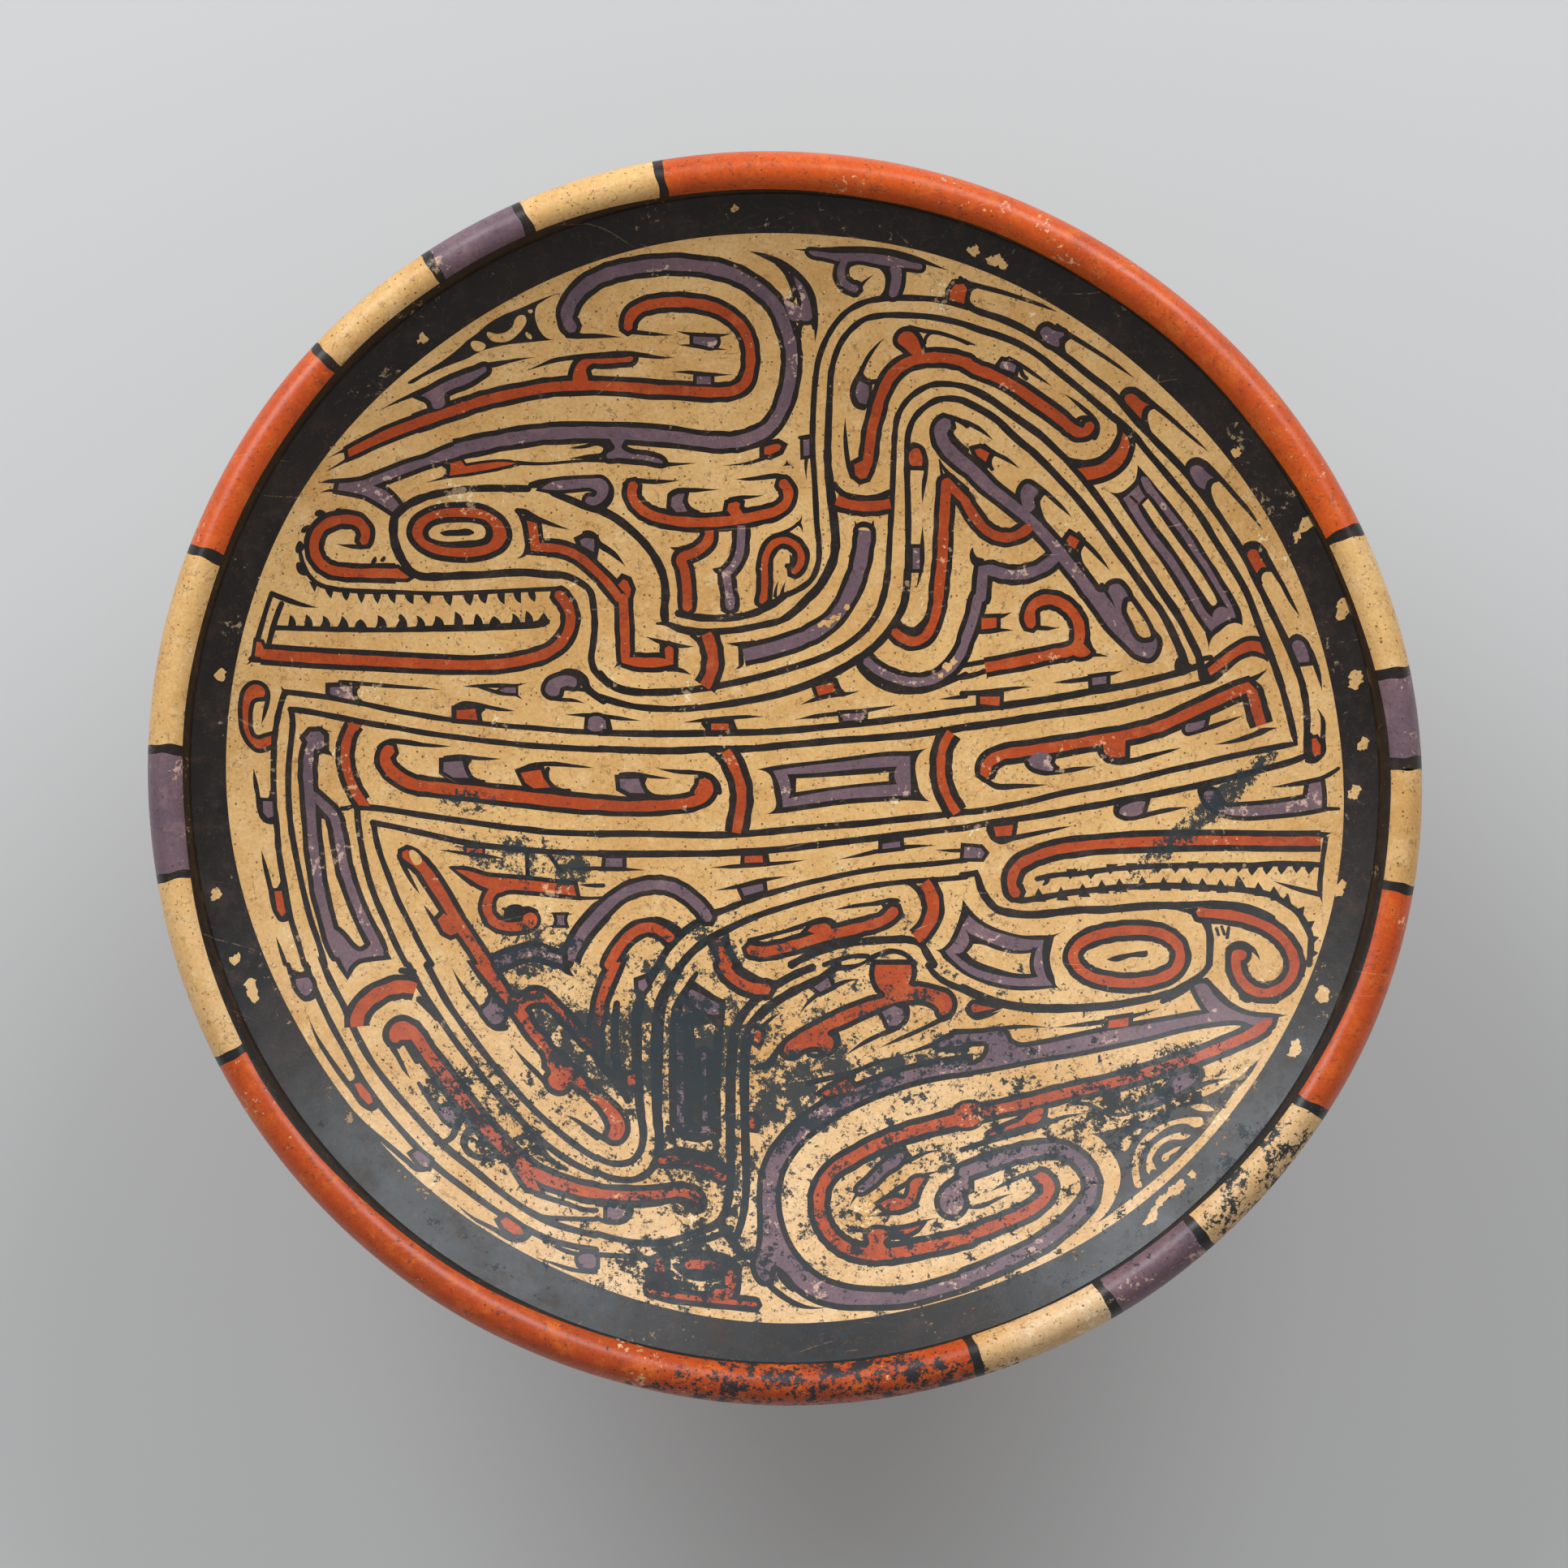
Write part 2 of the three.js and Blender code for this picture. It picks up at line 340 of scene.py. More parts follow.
    # Burnishing leaves shallow strokes about 4 mm wide, half of a 9 mm pattern; wear and stain lie duller
    dull = add(tree, "Math", {0: rubbed, 1: blot}, operation="MAXIMUM")
    rough = add(tree, "MapRange", {"Value": dull, "To Min": roughness, "To Max": roughness + 0.15})
    uneven = add(tree, "MapRange", {"Value": slow, "To Min": -0.05, "To Max": 0.07})
    rough = add(tree, "Math", {0: rough, 1: uneven}, operation="ADD")
    rough = add(tree, "Math", {0: thin, 1: 0.14, 2: rough}, operation="MULTIPLY_ADD")
    tree.links.new(rough, shader.inputs["Roughness"])
    strokes = noise(tree, place, 9 * mm, 2, 0.4)
    height = add(tree, "Math", {0: strokes, 1: 0.16 * mm}, operation="MULTIPLY")
    height = add(tree, "Math", {0: grain, 1: 0.02 * mm, 2: height}, operation="MULTIPLY_ADD")
    height = add(tree, "Math", {0: rubbed, 1: -0.03 * mm, 2: height}, operation="MULTIPLY_ADD")
    bump = add(tree, "Bump", {"Height": height, "Strength": 1.0, "Distance": 1.0}, "Normal")
    tree.links.new(bump, shader.inputs["Normal"])
    shader.inputs["IOR"].default_value = 1.45
    shader.inputs["Coat Weight"].default_value = sheen
    shader.inputs["Coat Roughness"].default_value = 0.3
    return material


# Brown-red slip, as on the underside and the pedestal: thinner and less rubbed than inside
brown_red_slip = burnished_slip("brown_red_slip", "#8f4126", "#6e301d", "#9c5333", "#b9764c", 0.5,
                                wear=0.5, specks=0.3, stain=0.35)

# The pad's face in even steps, its underside from the bevel to the seat, and the flat seat with a
# ring of points under each face of the neck and one near the middle
steps = 24
near_middle = 12 * mm
radius = np.concatenate([np.linspace(0, pad_radius, steps + 1),
                         np.linspace(pad_radius + scarf_width, seat_radius, 6),
                         [neck_radius, neck_radius - pedestal_wall, near_middle, 0]])
height = np.concatenate([inside_height(radius[:steps + 1]) - slip_sink, underside_height(radius[steps + 1:])])
floor_pad = turned("floor_pad_clay", radius, height)
dress(floor_pad, "brown_red_slip", brown_red_slip, "floor_pad")

# The wall
# Coils laid on the pad's bevel and scraped into one curved band, a little thinner towards the lip.
# Its outer face has the same brown-red slip as the pedestal.
steps = 36
rising = np.linspace(pad_radius, wall_top_inside[0], steps + 1)
falling = np.linspace(wall_top_outside[0], pad_radius + scarf_width, steps + 1)
radius = np.concatenate([rising, falling])
height = np.concatenate([inside_height(rising) - slip_sink, underside_height(falling)])
wall = turned("wall_clay", radius, height)
dress(wall, "brown_red_slip", brown_red_slip, "wall_coil")

# The lip
# One thick round coil on the wall's top edge. It is painted in panels of orange-red, cream and
# purple slip with black bars between them, and burnished bright. Each panel here is the coil's
# length under one colour, and its ends follow the painter's slightly slanting bars.
# The near-side tones below are painted light: the orange-red darker where the near rim lies in shade, the
# cream paler where the lamps light the near wall, and the black blue-grey as a painted reflection of the
# lamps on the near band
orange_red_slip = burnished_slip("orange_red_slip", "#d95810", "#bd460e", "#e07020", "#eab083", 0.36,
                                 wear=0.3, specks=0.35, sheen=0.12, near_side_lighting_tone="#ae4416")
cream_slip = burnished_slip("cream_slip", "#e3b676", "#cf9c5a", "#e8c28c", "#f0d8ac", 0.42,
                            wear=0.3, specks=0.8, near_side_lighting_tone="#e6c195", speck="#5a3c24")
purple_slip = burnished_slip("purple_slip", "#775c64", "#614d57", "#8b6c70", "#c4a292", 0.4,
                             wear=0.85, specks=0.3)
black_slip = burnished_slip("black_slip", "#191412", "#211914", "#3a2b22", "#9a8062", 0.36,
                            wear=0.4, specks=0.0, near_side_lighting_tone="#20272c")

# The bars' edges in degrees from +X, seen from above, and the colour that follows each bar
bars = [
    (1.0, 2.2, "purple"), (9.6, 10.6, "cream"), (23.3, 24.4, "orange_red"), (100.5, 101.4, "cream"),
    (113.9, 114.8, "purple"), (123.4, 124.3, "cream"), (136.7, 137.6, "orange_red"), (158.5, 159.5, "cream"),
    (177.5, 178.4, "purple"), (189.5, 190.3, "cream"), (207.0, 207.9, "orange_red"), (287.3, 288.2, "cream"),
    (300.8, 301.8, "purple"), (311.3, 312.3, "cream"), (327.2, 328.2, "orange_red"), (349.5, 350.4, "cream"),
]
section_turn = np.linspace(lip_join_outside - 360, lip_join_inside, 33)
section = np.stack(on_lip(section_turn), -1)


def cut(degrees):
    """Angles along the section of a bar's edge: it slants by up to half a degree and wavers a little."""
    along = np.linspace(0, 1, len(section))
    slant = 0.45 * np.sin(degrees * 1.7)
    waver = 0.09 * np.sin(along * 13 + degrees) + 0.05 * np.sin(along * 29 + 2 * degrees)
    return np.radians(degrees + slant * (along - 0.6) + waver)


def lip_panel(start, end):
    """Points and faces of the coil's length between two cuts, closed at its ends. The angle runs from
    one cut to the other in steps of about 1 degree, and the section is carried along it."""
    a, b = cut(start), cut(end)
    lengths = max(2, int(round(end - start)))
    share = np.linspace(0, 1, lengths + 1)[:, None]
    angle = a * (1 - share) + b * share
    points = by_hand(section[None, :, 0], section[None, :, 1], angle)
    n = len(section)
    row = np.arange(lengths)[:, None] * n
    here, above = np.arange(n), (np.arange(n) + 1) % n
    faces = np.stack([row + here, row + n + here, row + n + above, row + above], -1).reshape(-1, 4).tolist()
    middles = points[[0, -1]].mean(1)
    first, last = points.shape[0] * n, points.shape[0] * n + 1
    faces += np.stack([here, above, np.full(n, first)], -1).tolist()
    faces += (np.stack([above, here, np.full(n, 0)], -1) + [lengths * n, lengths * n, last]).tolist()
    return np.vstack([points.reshape(-1, 3), middles]), faces


def lip_piece(name, spans, slot, material):
    """All the panels of one colour as one piece."""
    points, faces, count = [], [], 0
    for start, end in spans:
        more, its_faces = lip_panel(start, end)
        points.append(more)
        faces += [[i + count for i in face] for face in its_faces]
        count += len(more)
    piece = solid(name, np.vstack(points), faces, crease=50)
    dress(piece, slot, material, "rim_coil")


after = [bar[0] for bar in bars[1:]] + [bars[0][0] + 360]
for colour, material in (("orange_red", orange_red_slip), ("cream", cream_slip), ("purple", purple_slip)):
    spans = [(bar[1], end) for bar, end in zip(bars, after) if bar[2] == colour]
    lip_piece("lip_" + colour + "_panels", spans, colour + "_slip", material)
lip_piece("lip_black_bars", [bar[:2] for bar in bars], "black_slip", black_slip)

# The black of the band below laps unevenly onto the lip's inner face: how far, in mm, at each angle
lap_angle = [0, 20, 35, 50, 90, 120, 160, 185, 210, 235, 255, 300, 320, 340, 360]
lap_width = [2.2, 0.9, 0.25, 0.15, 0.4, 1.6, 1.2, 1.4, 2.5, 1.0, 0.2, 0.2, 1.0, 2.3, 2.2]
lap_steps = 720
lap_proud = 0.12 * mm            # how far its skin stands out in its middle, and a little at its edges
lap_sunk = 0.1 * mm              # and how far its back lies in the coil
around = np.arange(lap_steps) * 360 / lap_steps
lap = np.interp(around, lap_angle, lap_width) + 0.1 * np.sin(np.radians(17 * around)) + 0.05
join_cosine = np.cos(np.radians(lip_join_inside))
end_turn = 360 - np.degrees(np.arccos(join_cosine + lap.clip(0.08) / (lip_width / mm / 2)))
up_lip = np.linspace(0, 1, 8)
lap_turn = lip_join_inside + (360 - end_turn - lip_join_inside)[:, None] * up_lip
lap_radius, lap_height = on_lip(lap_turn)
skin = lap_proud * np.sin(np.pi * up_lip) ** 0.5 + 0.02 * mm
away = np.stack([np.cos(np.radians(lap_turn)), np.sin(np.radians(lap_turn))])
lap_radius = np.hstack([lap_radius + away[0] * skin, (lap_radius - away[0] * lap_sunk)[:, ::-1]])
lap_height = np.hstack([lap_height + away[1] * skin, (lap_height - away[1] * lap_sunk)[:, ::-1]])
points = by_hand(lap_radius, lap_height, np.radians(around)[:, None])
across = lap_radius.shape[1]
row, column = np.arange(lap_steps)[:, None] * across, np.arange(across)
next_row, next_column = (row + across) % (lap_steps * across), (column + 1) % across
faces = np.stack([row + column, next_row + column, next_row + next_column, row + next_column], -1)
black_lap = solid("black_lap_on_lip", points.reshape(-1, 3), faces.reshape(-1, 4).tolist(), crease=60)
dress(black_lap, "black_slip", black_slip, "rim_coil")

# The pedestal
# A hollow trumpet of clay, turned over and luted to the seat while leather hard. Outside it is
# slipped and burnished round and round, and inside it keeps the marks of the scraper.
foot_radius = 76.0 * mm
flare_curve = 2.1                # power of the flare: higher keeps the neck longer
foot_coil_height = 9.0 * mm
foot_coil_bulge = 2.2 * mm
foot_edge_radius = 3.0 * mm
outer_luting_drop = 13.0 * mm
inner_luting_width = 9.0 * mm
inner_luting_drop = 9.0 * mm
cove_fullness = 0.3              # how much of the angle the smeared clay fills: 1 is a flat bevel


def neck_outside(height):
    """neck + (foot - bulge - neck) * share of the way down ** curve."""
    down = (seat_height - height) / (seat_height - foot_coil_height)
    return neck_radius + (foot_radius - foot_coil_bulge - neck_radius) * down ** flare_curve


falling = np.linspace(seat_height, foot_coil_height, 41)
rising = falling[::-1]
radius = np.concatenate([neck_outside(rising), neck_outside(falling) - pedestal_wall])
stem = turned("pedestal_stem_clay", radius, np.concatenate([rising, falling]))
dress(stem, "brown_red_slip", brown_red_slip, "pedestal_stem")

# The luting coils
# Ropes of soft clay pressed and smeared into the angle between the bowl and the pedestal, one
# outside all round the neck and one inside it, reached through the foot.


def cove(start, corner, end):
    """A quadratic Bezier curve from start to end, pulled to a point short of the corner."""
    pull = corner * (1 - cove_fullness) + (start + end) / 2 * cove_fullness
    t = np.linspace(0, 1, 13)[:, None]
    return start * (1 - t) ** 2 + pull * 2 * t * (1 - t) + end * t ** 2


corner = np.array([neck_radius, seat_height])
low = seat_height - outer_luting_drop
face = cove(np.array([neck_outside(low), low]), corner, np.array([seat_radius, seat_height]))
outer = np.vstack([face, corner])
outer_luting = turned("outer_luting_clay", outer[:, 0], outer[:, 1])
dress(outer_luting, "brown_red_slip", brown_red_slip, "outer_luting_coil")

corner = np.array([neck_radius - pedestal_wall, seat_height])
low = seat_height - inner_luting_drop
face = cove(corner - [inner_luting_width, 0], corner, np.array([neck_outside(low) - pedestal_wall, low]))
inner = np.vstack([face, corner])
inner_luting = turned("inner_luting_clay", inner[:, 0], inner[:, 1])
dress(inner_luting, "brown_red_slip", brown_red_slip, "inner_luting_coil")

# The foot ring
# A coil that stiffens the pedestal's edge, rounded by the fingers and flat where it rests.
outside = neck_outside(foot_coil_height)
inside = outside - pedestal_wall


def rounding(middle, start):
    """Seven points of a quarter circle of the foot's edge radius."""
    turn = np.radians(start + np.linspace(0, 90, 7))
    return np.stack([middle + foot_edge_radius * np.cos(turn), foot_edge_radius * (1 + np.sin(turn))], -1)


ring = np.vstack([rounding(inside - foot_coil_bulge + foot_edge_radius, 180),
                  rounding(outside + foot_coil_bulge - foot_edge_radius, 270),
                  [[outside, foot_coil_height], [inside, foot_coil_height]]])
foot = turned("foot_ring_clay", ring[:, 0], ring[:, 1])
dress(foot, "brown_red_slip", brown_red_slip, "foot_coil")

# The painted slips
# Inside, the potter laid a cream ground, drew on it in black and filled shapes with red and purple,
# with a broad black band round the field. Each slip is a thin skin let into the clay, with its own
# edges. The strokes below are brush paths in millimetres, seen from above; a ! marks a sharp corner.
field_long, field_wide = 129.0, 124.8        # half of the field's length and width
field_middle = (0.5, 0.4)
coats = {level: [] for level in ("lines", "fills", "touches")}


def run_through(points, tangents):
    """Points along a smooth run: between each two given points a cubic Hermite curve with their unit
    tangents times the chord, stepped each 3 mm, and sooner where it bends: each 9 degrees."""
    reach = np.hypot(*np.diff(points, axis=0).T)[:, None, None]
    u = np.linspace(0, 1, 13)[None, :-1, None]
    a, b = points[:-1, None], points[1:, None]
    fine = ((1 + 2 * u) * (1 - u) ** 2 * a + u * (1 - u) ** 2 * reach * tangents[:-1, None]
            + u * u * (3 - 2 * u) * b + u * u * (u - 1) * reach * tangents[1:, None])
    fine = np.vstack([fine.reshape(-1, 2), points[-1:]])
    step = np.diff(fine, axis=0)
    heading = np.degrees(np.unwrap(np.arctan2(step[:, 1], step[:, 0])))
    travel = np.hypot(*step.T) / 3 + np.abs(np.diff(heading, prepend=heading[0])) / 9
    travel = np.concatenate([[0], np.cumsum(travel)])
    stops = np.linspace(0, travel[-1], max(2, int(np.ceil(travel[-1])) + 1))
    return np.stack([np.interp(stops, travel, fine[:, 0]), np.interp(stops, travel, fine[:, 1])], -1)


def tangents_of(points):
    """At a point between two chords, the tangent of the circle through the three points; at an end,
    the neighbour's tangent mirrored in the chord."""
    chord = np.diff(points, axis=0)
    length = np.hypot(*chord.T)[:, None]
    way = chord / length
    if len(way) == 1:
        return np.vstack([way, way])
    middle = way[:-1] * length[1:] + way[1:] * length[:-1]
    middle /= np.hypot(*middle.T)[:, None]
    first = 2 * (middle[0] @ way[0]) * way[0] - middle[0]
    last = 2 * (middle[-1] @ way[-1]) * way[-1] - middle[-1]
    return np.vstack([first, middle, last])


def brushed(text, closed=False):
    """The path through the points of a text, smooth except at its sharp corners."""
    marks = text.split()
    points = np.array([mark.rstrip("!").split(",") for mark in marks], float)
    sharp = np.array([mark.endswith("!") for mark in marks])
    if closed and not sharp.any():
        tangents = tangents_of(np.vstack([points[-2:], points, points[:3]]))[2:-2]
        return run_through(np.vstack([points, points[:1]]), tangents)[:-1]
    if closed:
        first = int(np.argmax(sharp))
        points, sharp = np.roll(points, -first, 0), np.roll(sharp, -first)
        points, sharp = np.vstack([points, points[:1]]), np.append(sharp, True)
    sharp[[0, -1]] = True
    corners = np.nonzero(sharp)[0]
    runs = [points[a:b + 1] for a, b in zip(corners, corners[1:])]
    runs = [run_through(run, tangents_of(run)) for run in runs]
    path = np.vstack([run[:-1] for run in runs] + [runs[-1][-1:]])
    return path[:-1] if closed else path


def stroke(path, half, square=(False, False)):
    """The outline of a brush stroke: the path moved left and right by half, with rounded ends, or
    cut square at its start or end. An end less than 0.5 mm wide stays a point."""
    way = np.gradient(path, axis=0)
    way /= np.hypot(*way.T)[:, None]
    side = np.stack([-way[:, 1], way[:, 0]], -1)
    turn = np.radians([60, 0, -60])[:, None]
    caps = {end: path[end] + half[end] * (sign * np.cos(turn) * way[end] + np.sin(turn) * sign * side[end])
            for end, sign in ((-1, 1), (0, -1))}
    bare = [half[end] < 0.25 or cut_off for end, cut_off in zip((0, -1), square)]
    return np.vstack([path + side * half[:, None], caps[-1][:0 if bare[1] else 3],
                      (path - side * half[:, None])[::-1], caps[0][:0 if bare[0] else 3]])


def lay(level, colour, outline):
    """Keeps a painted outline: lines lie lowest, fills over them and touches on top."""
    coats[level].append((colour, outline))


def unsteady(path):
    """The hand's unsteadiness: a factor near 1 that changes over 3 to 9 mm of the bowl."""
    x, y = path.T
    return 1 + 0.06 * np.sin(0.9 * x + 1.3 * y) + 0.05 * np.sin(2.1 * x - 1.7 * y + 1)


def spread(path, widths):
    """Half-widths along a path, from widths spaced evenly along its length."""
    run = np.concatenate([[0], np.cumsum(np.hypot(*np.diff(path, axis=0).T))])
    return np.interp(run / run[-1], np.linspace(0, 1, len(widths)), widths) / 2 * unsteady(path)


def line(text, *widths, level="lines"):
    """A black line. Its widths are spaced evenly along it; 0 is a pointed end."""
    path = brushed(text)
    lay(level, "black", stroke(path, spread(path, widths * 2 if len(widths) == 1 else widths)))


def over(text, *widths):
    """A black line that lies over the fills."""
    line(text, *widths, level="touches")


def band(colour, width, text, edge=1.25):
    """A coloured band of one width between black borders. A | before its first point or after its
    last cuts that end square."""
    square = text.startswith("|"), text.endswith("|")
    path = brushed(text.strip("| "))
    half = width / 2 * unsteady(path)
    lay("lines", "black", stroke(path, half + edge * unsteady(-path), square))
    lay("fills", colour, stroke(path, half, square))


def grown(outline, edge):
    """A closed outline moved outward by edge, and by no more than 1.6 edge at its corners."""
    before, after = outline - np.roll(outline, 1, 0), np.roll(outline, -1, 0) - outline
    before /= np.hypot(*before.T)[:, None]
    after /= np.hypot(*after.T)[:, None]
    out = np.stack([before[:, 1] + after[:, 1], -before[:, 0] - after[:, 0]], -1)
    size = np.hypot(*out.T)[:, None].clip(1e-6)
    return outline + out / size * edge * np.minimum(2 / size, 1.6)


def patch(colour, text, edge=1.25):
    """A closed shape in colour with a black border outside it."""
    outline = brushed(text, closed=True)
    x, y = outline.T
    if np.sum(x * np.roll(y, -1) - y * np.roll(x, -1)) < 0:
        outline = outline[::-1]
    lay("lines", "black", grown(outline, edge))
    lay("fills", colour, outline)


def block(colour, text, edge=1.25):
    """A small patch with straight sides, all its corners sharp."""
    patch(colour, " ".join(mark.rstrip("!") + "!" for mark in text.split()), edge)


def black(text):
    """A closed black shape among the lines."""
    lay("lines", "black", brushed(text, closed=True))


def over_shape(text):
    """A closed black shape that lies over the fills."""
    lay("touches", "black", brushed(text, closed=True))


def cream(text):
    """A closed shape that shows the cream again."""
    lay("touches", "cream", brushed(text, closed=True))


def tooth(x, y, height):
    """A black tooth with its tip at x, y and its base height away, leaning like a shark's fin."""
    lay("lines", "black", np.array([(x - 0.9, y + height), (x - 0.75, y + height * 0.45), (x, y),
                                    (x + 0.9, y + height * 0.42), (x + 1.9, y + height)]))


red, purple = "red", "purple"

# upper left: the hooked fin over the first crocodile's back
black("""-86.3,91 -82.5,93.9 -78.6,96.4 -75.3,98.9 -72.6,101.3 -70.4,102.9 -68.5,104.6 -64.9,106.8
    -60.5,108.6 -56.1,110.6 -51.8,112.1! -55.6,110.1 -56.7,109.3 -57.3,107.1 -57,105.4 -56.1,103.5
    -54.8,102.2 -52.6,101.8! -55,101.5 -60,100.9 -64.9,100.2 -69.9,98.7 -73.1,97 -76.4,95.7 -79.7,94.3
    -83,92.7""")
cream("-72,100.7 -70.4,101 -68.7,99.9 -69.3,99.1 -71.2,98.9")
cream("""-68.4,102.8 -67.7,101.5 -65.5,100.9 -63.3,101.3 -61.4,102.7 -60,104.3 -59.3,106 -59.7,106.9
    -61,106.9 -61.9,106 -62.4,104.6 -63.8,103.3 -66,102.7""")
cream("-58.9,108 -57.8,108.1 -58.2,107.5")
cream("-59.5,103.2 -58.4,102.8 -58.2,101.8 -59.2,102.2")
# the purple spur under it
line("""-93.1,84.8 -89.6,86.7 -85.2,88.7 -81.9,90.2 -78.6,92 -75.3,93.6 -71,95.1 -66,96.1 -62.2,97
    -57.2,97.8""", 0, 1.2, 1.3, 1.3, 0)
patch(purple, """-83.8,88.4! -81,90 -78.4,91.5 -75,93 -71.5,94.3 -68.6,95 -70.5,93.1 -73.5,91.3 -76.2,90.3
    -78.2,89 -78.4,86.5 -80.9,85.8 -81.4,87 -82.4,88""")
# the red band of the inner loop, from its tail to its end
patch(red, """-100.4,75.8! -97.7,77.4 -95,78.8 -92.3,80.3 -90,81.3 -87.4,82.4 -84.6,83.4! -84.1,81.3!
    -87.4,80 -90,78.9 -92.3,77.9 -95,76.7 -97.2,75.5 -100.2,74.1!""", 1)
black("""-105.1,73.6! -102.7,75.1 -100.2,76.7! -99.5,73.6! -101.4,72.6 -103.5,71.5 -105.8,70.5!
    -103.6,71.9 -101.3,73.5! -101.2,74.7 -101.4,75! -102.4,74.8!""")
band(red, 2.2, """| -85.2,82.1 -80,84 -75,85.8 -70,87.6 -65,88.9 -60,90 -55,91 -50,91.5 -45,91.7 -40,91.6
    -35,91.4 -30,91 -25,90.9 -20,90.6 -15,90.5 -11.5,90.9 -9,92.4 -7.8,95.2 -7.5,99 -7.9,101.8 -9.3,104.8
    -11.6,107.1 -15,109.1 -20,110.3 -25,110.6 -30,110.1 -33,109.2 -35.2,107.4 -35.9,105""")
line("-37,104 -34.5,103.8 -29.3,103.4 -25.2,103.2", 1.2, 1, 0)
# its spur on the left, with a long point
line("""-59.7,94.6 -56.7,95.8 -52.9,97.2 -50.1,97.7 -46.3,98.2 -42,98.6 -39.7,98.9 -34.8,98.9 -32,98.6
    -28.7,98.2 -24.9,98.3""", 0, 1.1, 1.2, 1.2, 1.2, 0)
patch(red, """-48.4,92 -48.2,95.6 -47.2,97 -43,97.7 -38.5,97.9 -34.8,97.8 -38,97 -42,96.6 -44.3,96.6
    -45.6,95.6 -45.3,93 -45.4,91.5""")
# the outer loop, purple, from its tail to its end
band(purple, 2.7, """| -76,76.4 -75,76.7 -70,77.9 -65,79 -60,79.9 -55,80.6 -50,80.9 -45,81.1 -40,81
    -35,80.9 -30,80.6 -25,80.2 -20,79.5 -15,79.1 -10,79.4 -7,80.3 -3.6,82.1 -1.2,85 0.6,89 1.8,94 2,100
    1.2,103.6 0.3,106 -0.8,108.6 -2.6,111.1 -5,113.2 -10,116.3 -15,117.9 -20,118.6 -25,118.9 -30,118.6
    -35,117.9 -40,116.7 -43.5,115.2 -47,112.6 -49.2,109.6 -50,107 -49,104.6""")
line("-102.5,68.5 -104.4,68.5 -106.9,68", 1.2, 0.9, 0)
line("-102.3,66.2 -104.6,66.4 -106.9,65.7", 1, 0.7, 0)
patch(purple, """-102.5,68.1! -99.1,68.5 -97.2,68.9 -95,69.8 -92.3,70.9 -90,71.9 -87.4,73 -85,73.8
    -83,74.4 -80,75.8 -77.5,76.9 -75.5,77.6! -75.1,75.1! -77.5,74.3 -80,73.6 -83,72.7 -85,71.9 -87.4,70.9
    -90,69.9 -92.3,68.9 -94.8,67.8! -93.4,67.3 -92.3,66.9 -91,65.9 -89,63.6! -90.6,62! -92.3,63.1
    -94.3,64.3 -96.2,65.3 -98.2,65.9 -100.1,66.2 -102.8,66.6!""", 1.1)
line("-50,102.8 -47,102.7 -43,102.8 -37.2,102.6", 1.3, 1.2, 0)
# its spurs
line("-83.2,68.7 -80.3,69.6 -77.5,70.4 -73,71.1 -68,72 -64,72.9 -60.5,73.9", 0, 1.1, 0.9, 0.8)
black("-80.3,73.1! -77.2,73.8! -77,70.4! -79.6,69.9! -78.6,70.9 -78.2,71.9! -78.9,72.5")
patch(red, """-77.3,73.4! -74.8,74.1! -73.8,72.8! -69.5,73.6 -65,74 -62,73.8! -67.5,72.4 -71.6,71.6
    -75.6,70.9 -77.5,70.6! -77.2,71.9""", 0.65)
line("""-62,73.9 -60.5,73.8 -55,73.8 -50,74.3 -45,74.7 -39.7,74.6 -34.8,74.3 -29.3,74 -26,74
    -20,74.4""", 1, 0.7, 0.7, 0.9, 1.1, 1.1, 0)
patch(purple, """-40.2,80 -39.2,77.6 -41.2,75.7 -38,75.4 -33,75 -28.2,74.7 -31,75.8 -36,76.6 -37.6,77.6
    -37,80""")
line("-50,77.4 -46,77.9 -43,78.6 -41.3,77.6 -42,76.2 -45,75.6 -50,75.1", 0, 0.9, 1.1, 1.2, 1.1, 0.9, 0)
block(red, "-4.3,78 -2.5,78.6 -1.2,78.8 -0.3,78.3 -0.8,77.3 -3,76.3 -4.3,76.4", 1.2)
line("-4.4,75.6 -7.9,74.4 -11.2,74 -14.5,73.8", 1.1, 0)
black("-0.8,73.4! 0.6,74.3 0.9,75.3! 1.5,74.3 2.7,73.7! 1,73.8")
# the loose links inside the loops
line("-24.9,104.2 -21.3,103.5 -15.6,103.2 -11.5,103.7", 0, 1, 1, 0)
line("-24.6,101.1 -21.1,100.9 -18.9,100.7 -14.5,100.2 -12.8,100.1", 0, 0.9, 0.9, 0)
patch(purple, "-20.8,103! -15.6,102.8! -15.4,101.4 -16,100.9 -18.9,101.1 -20.8,101.5!", 0.9)
line("-26.3,95 -21,94.9 -16.7,94.5 -11.5,94.5", 0, 0.9, 0.9, 0)
patch(purple, "-20,94.1! -16.8,94! -16.8,92.3! -20.1,92.3!", 0.9)
# the forked top of the outer loop
line("""-7.9,121.9 -3.5,120.6 0.3,118.9 3.4,116.8 5.6,114.4 7,111.6 7.6,108.2 7.7,105.4
    7.5,101.6""", 0, 1, 1.7, 1.5, 1.4, 1.4, 1.3, 1, 0)
line("-1.3,119.2 0.9,117 2.1,114.6 2.6,112.2 1.6,110.4", 1, 1.3, 1.2)
patch(purple, """2.5,116.4! 4.2,115 5.7,112.4 6.6,109 6.6,106.9 4.6,106.6 3,108 4.2,109.4 4.1,112
    3.2,114.2""", 1)
patch(purple, "0.6,111 2.6,110.4 4.2,109.4 4.8,107.4! 3.6,106.6 1.8,106.8 1,108.6", 0.1)
line("0.9,110.9 2.5,110.3 4.3,108.6", 1.2, 0)
line("1.4,110.6 2,107.7", 1.2, 0)
line("3.9,103 4.2,105.6 5.4,106.7 6.6,106.4 7.4,105", 1.2, 1.2)
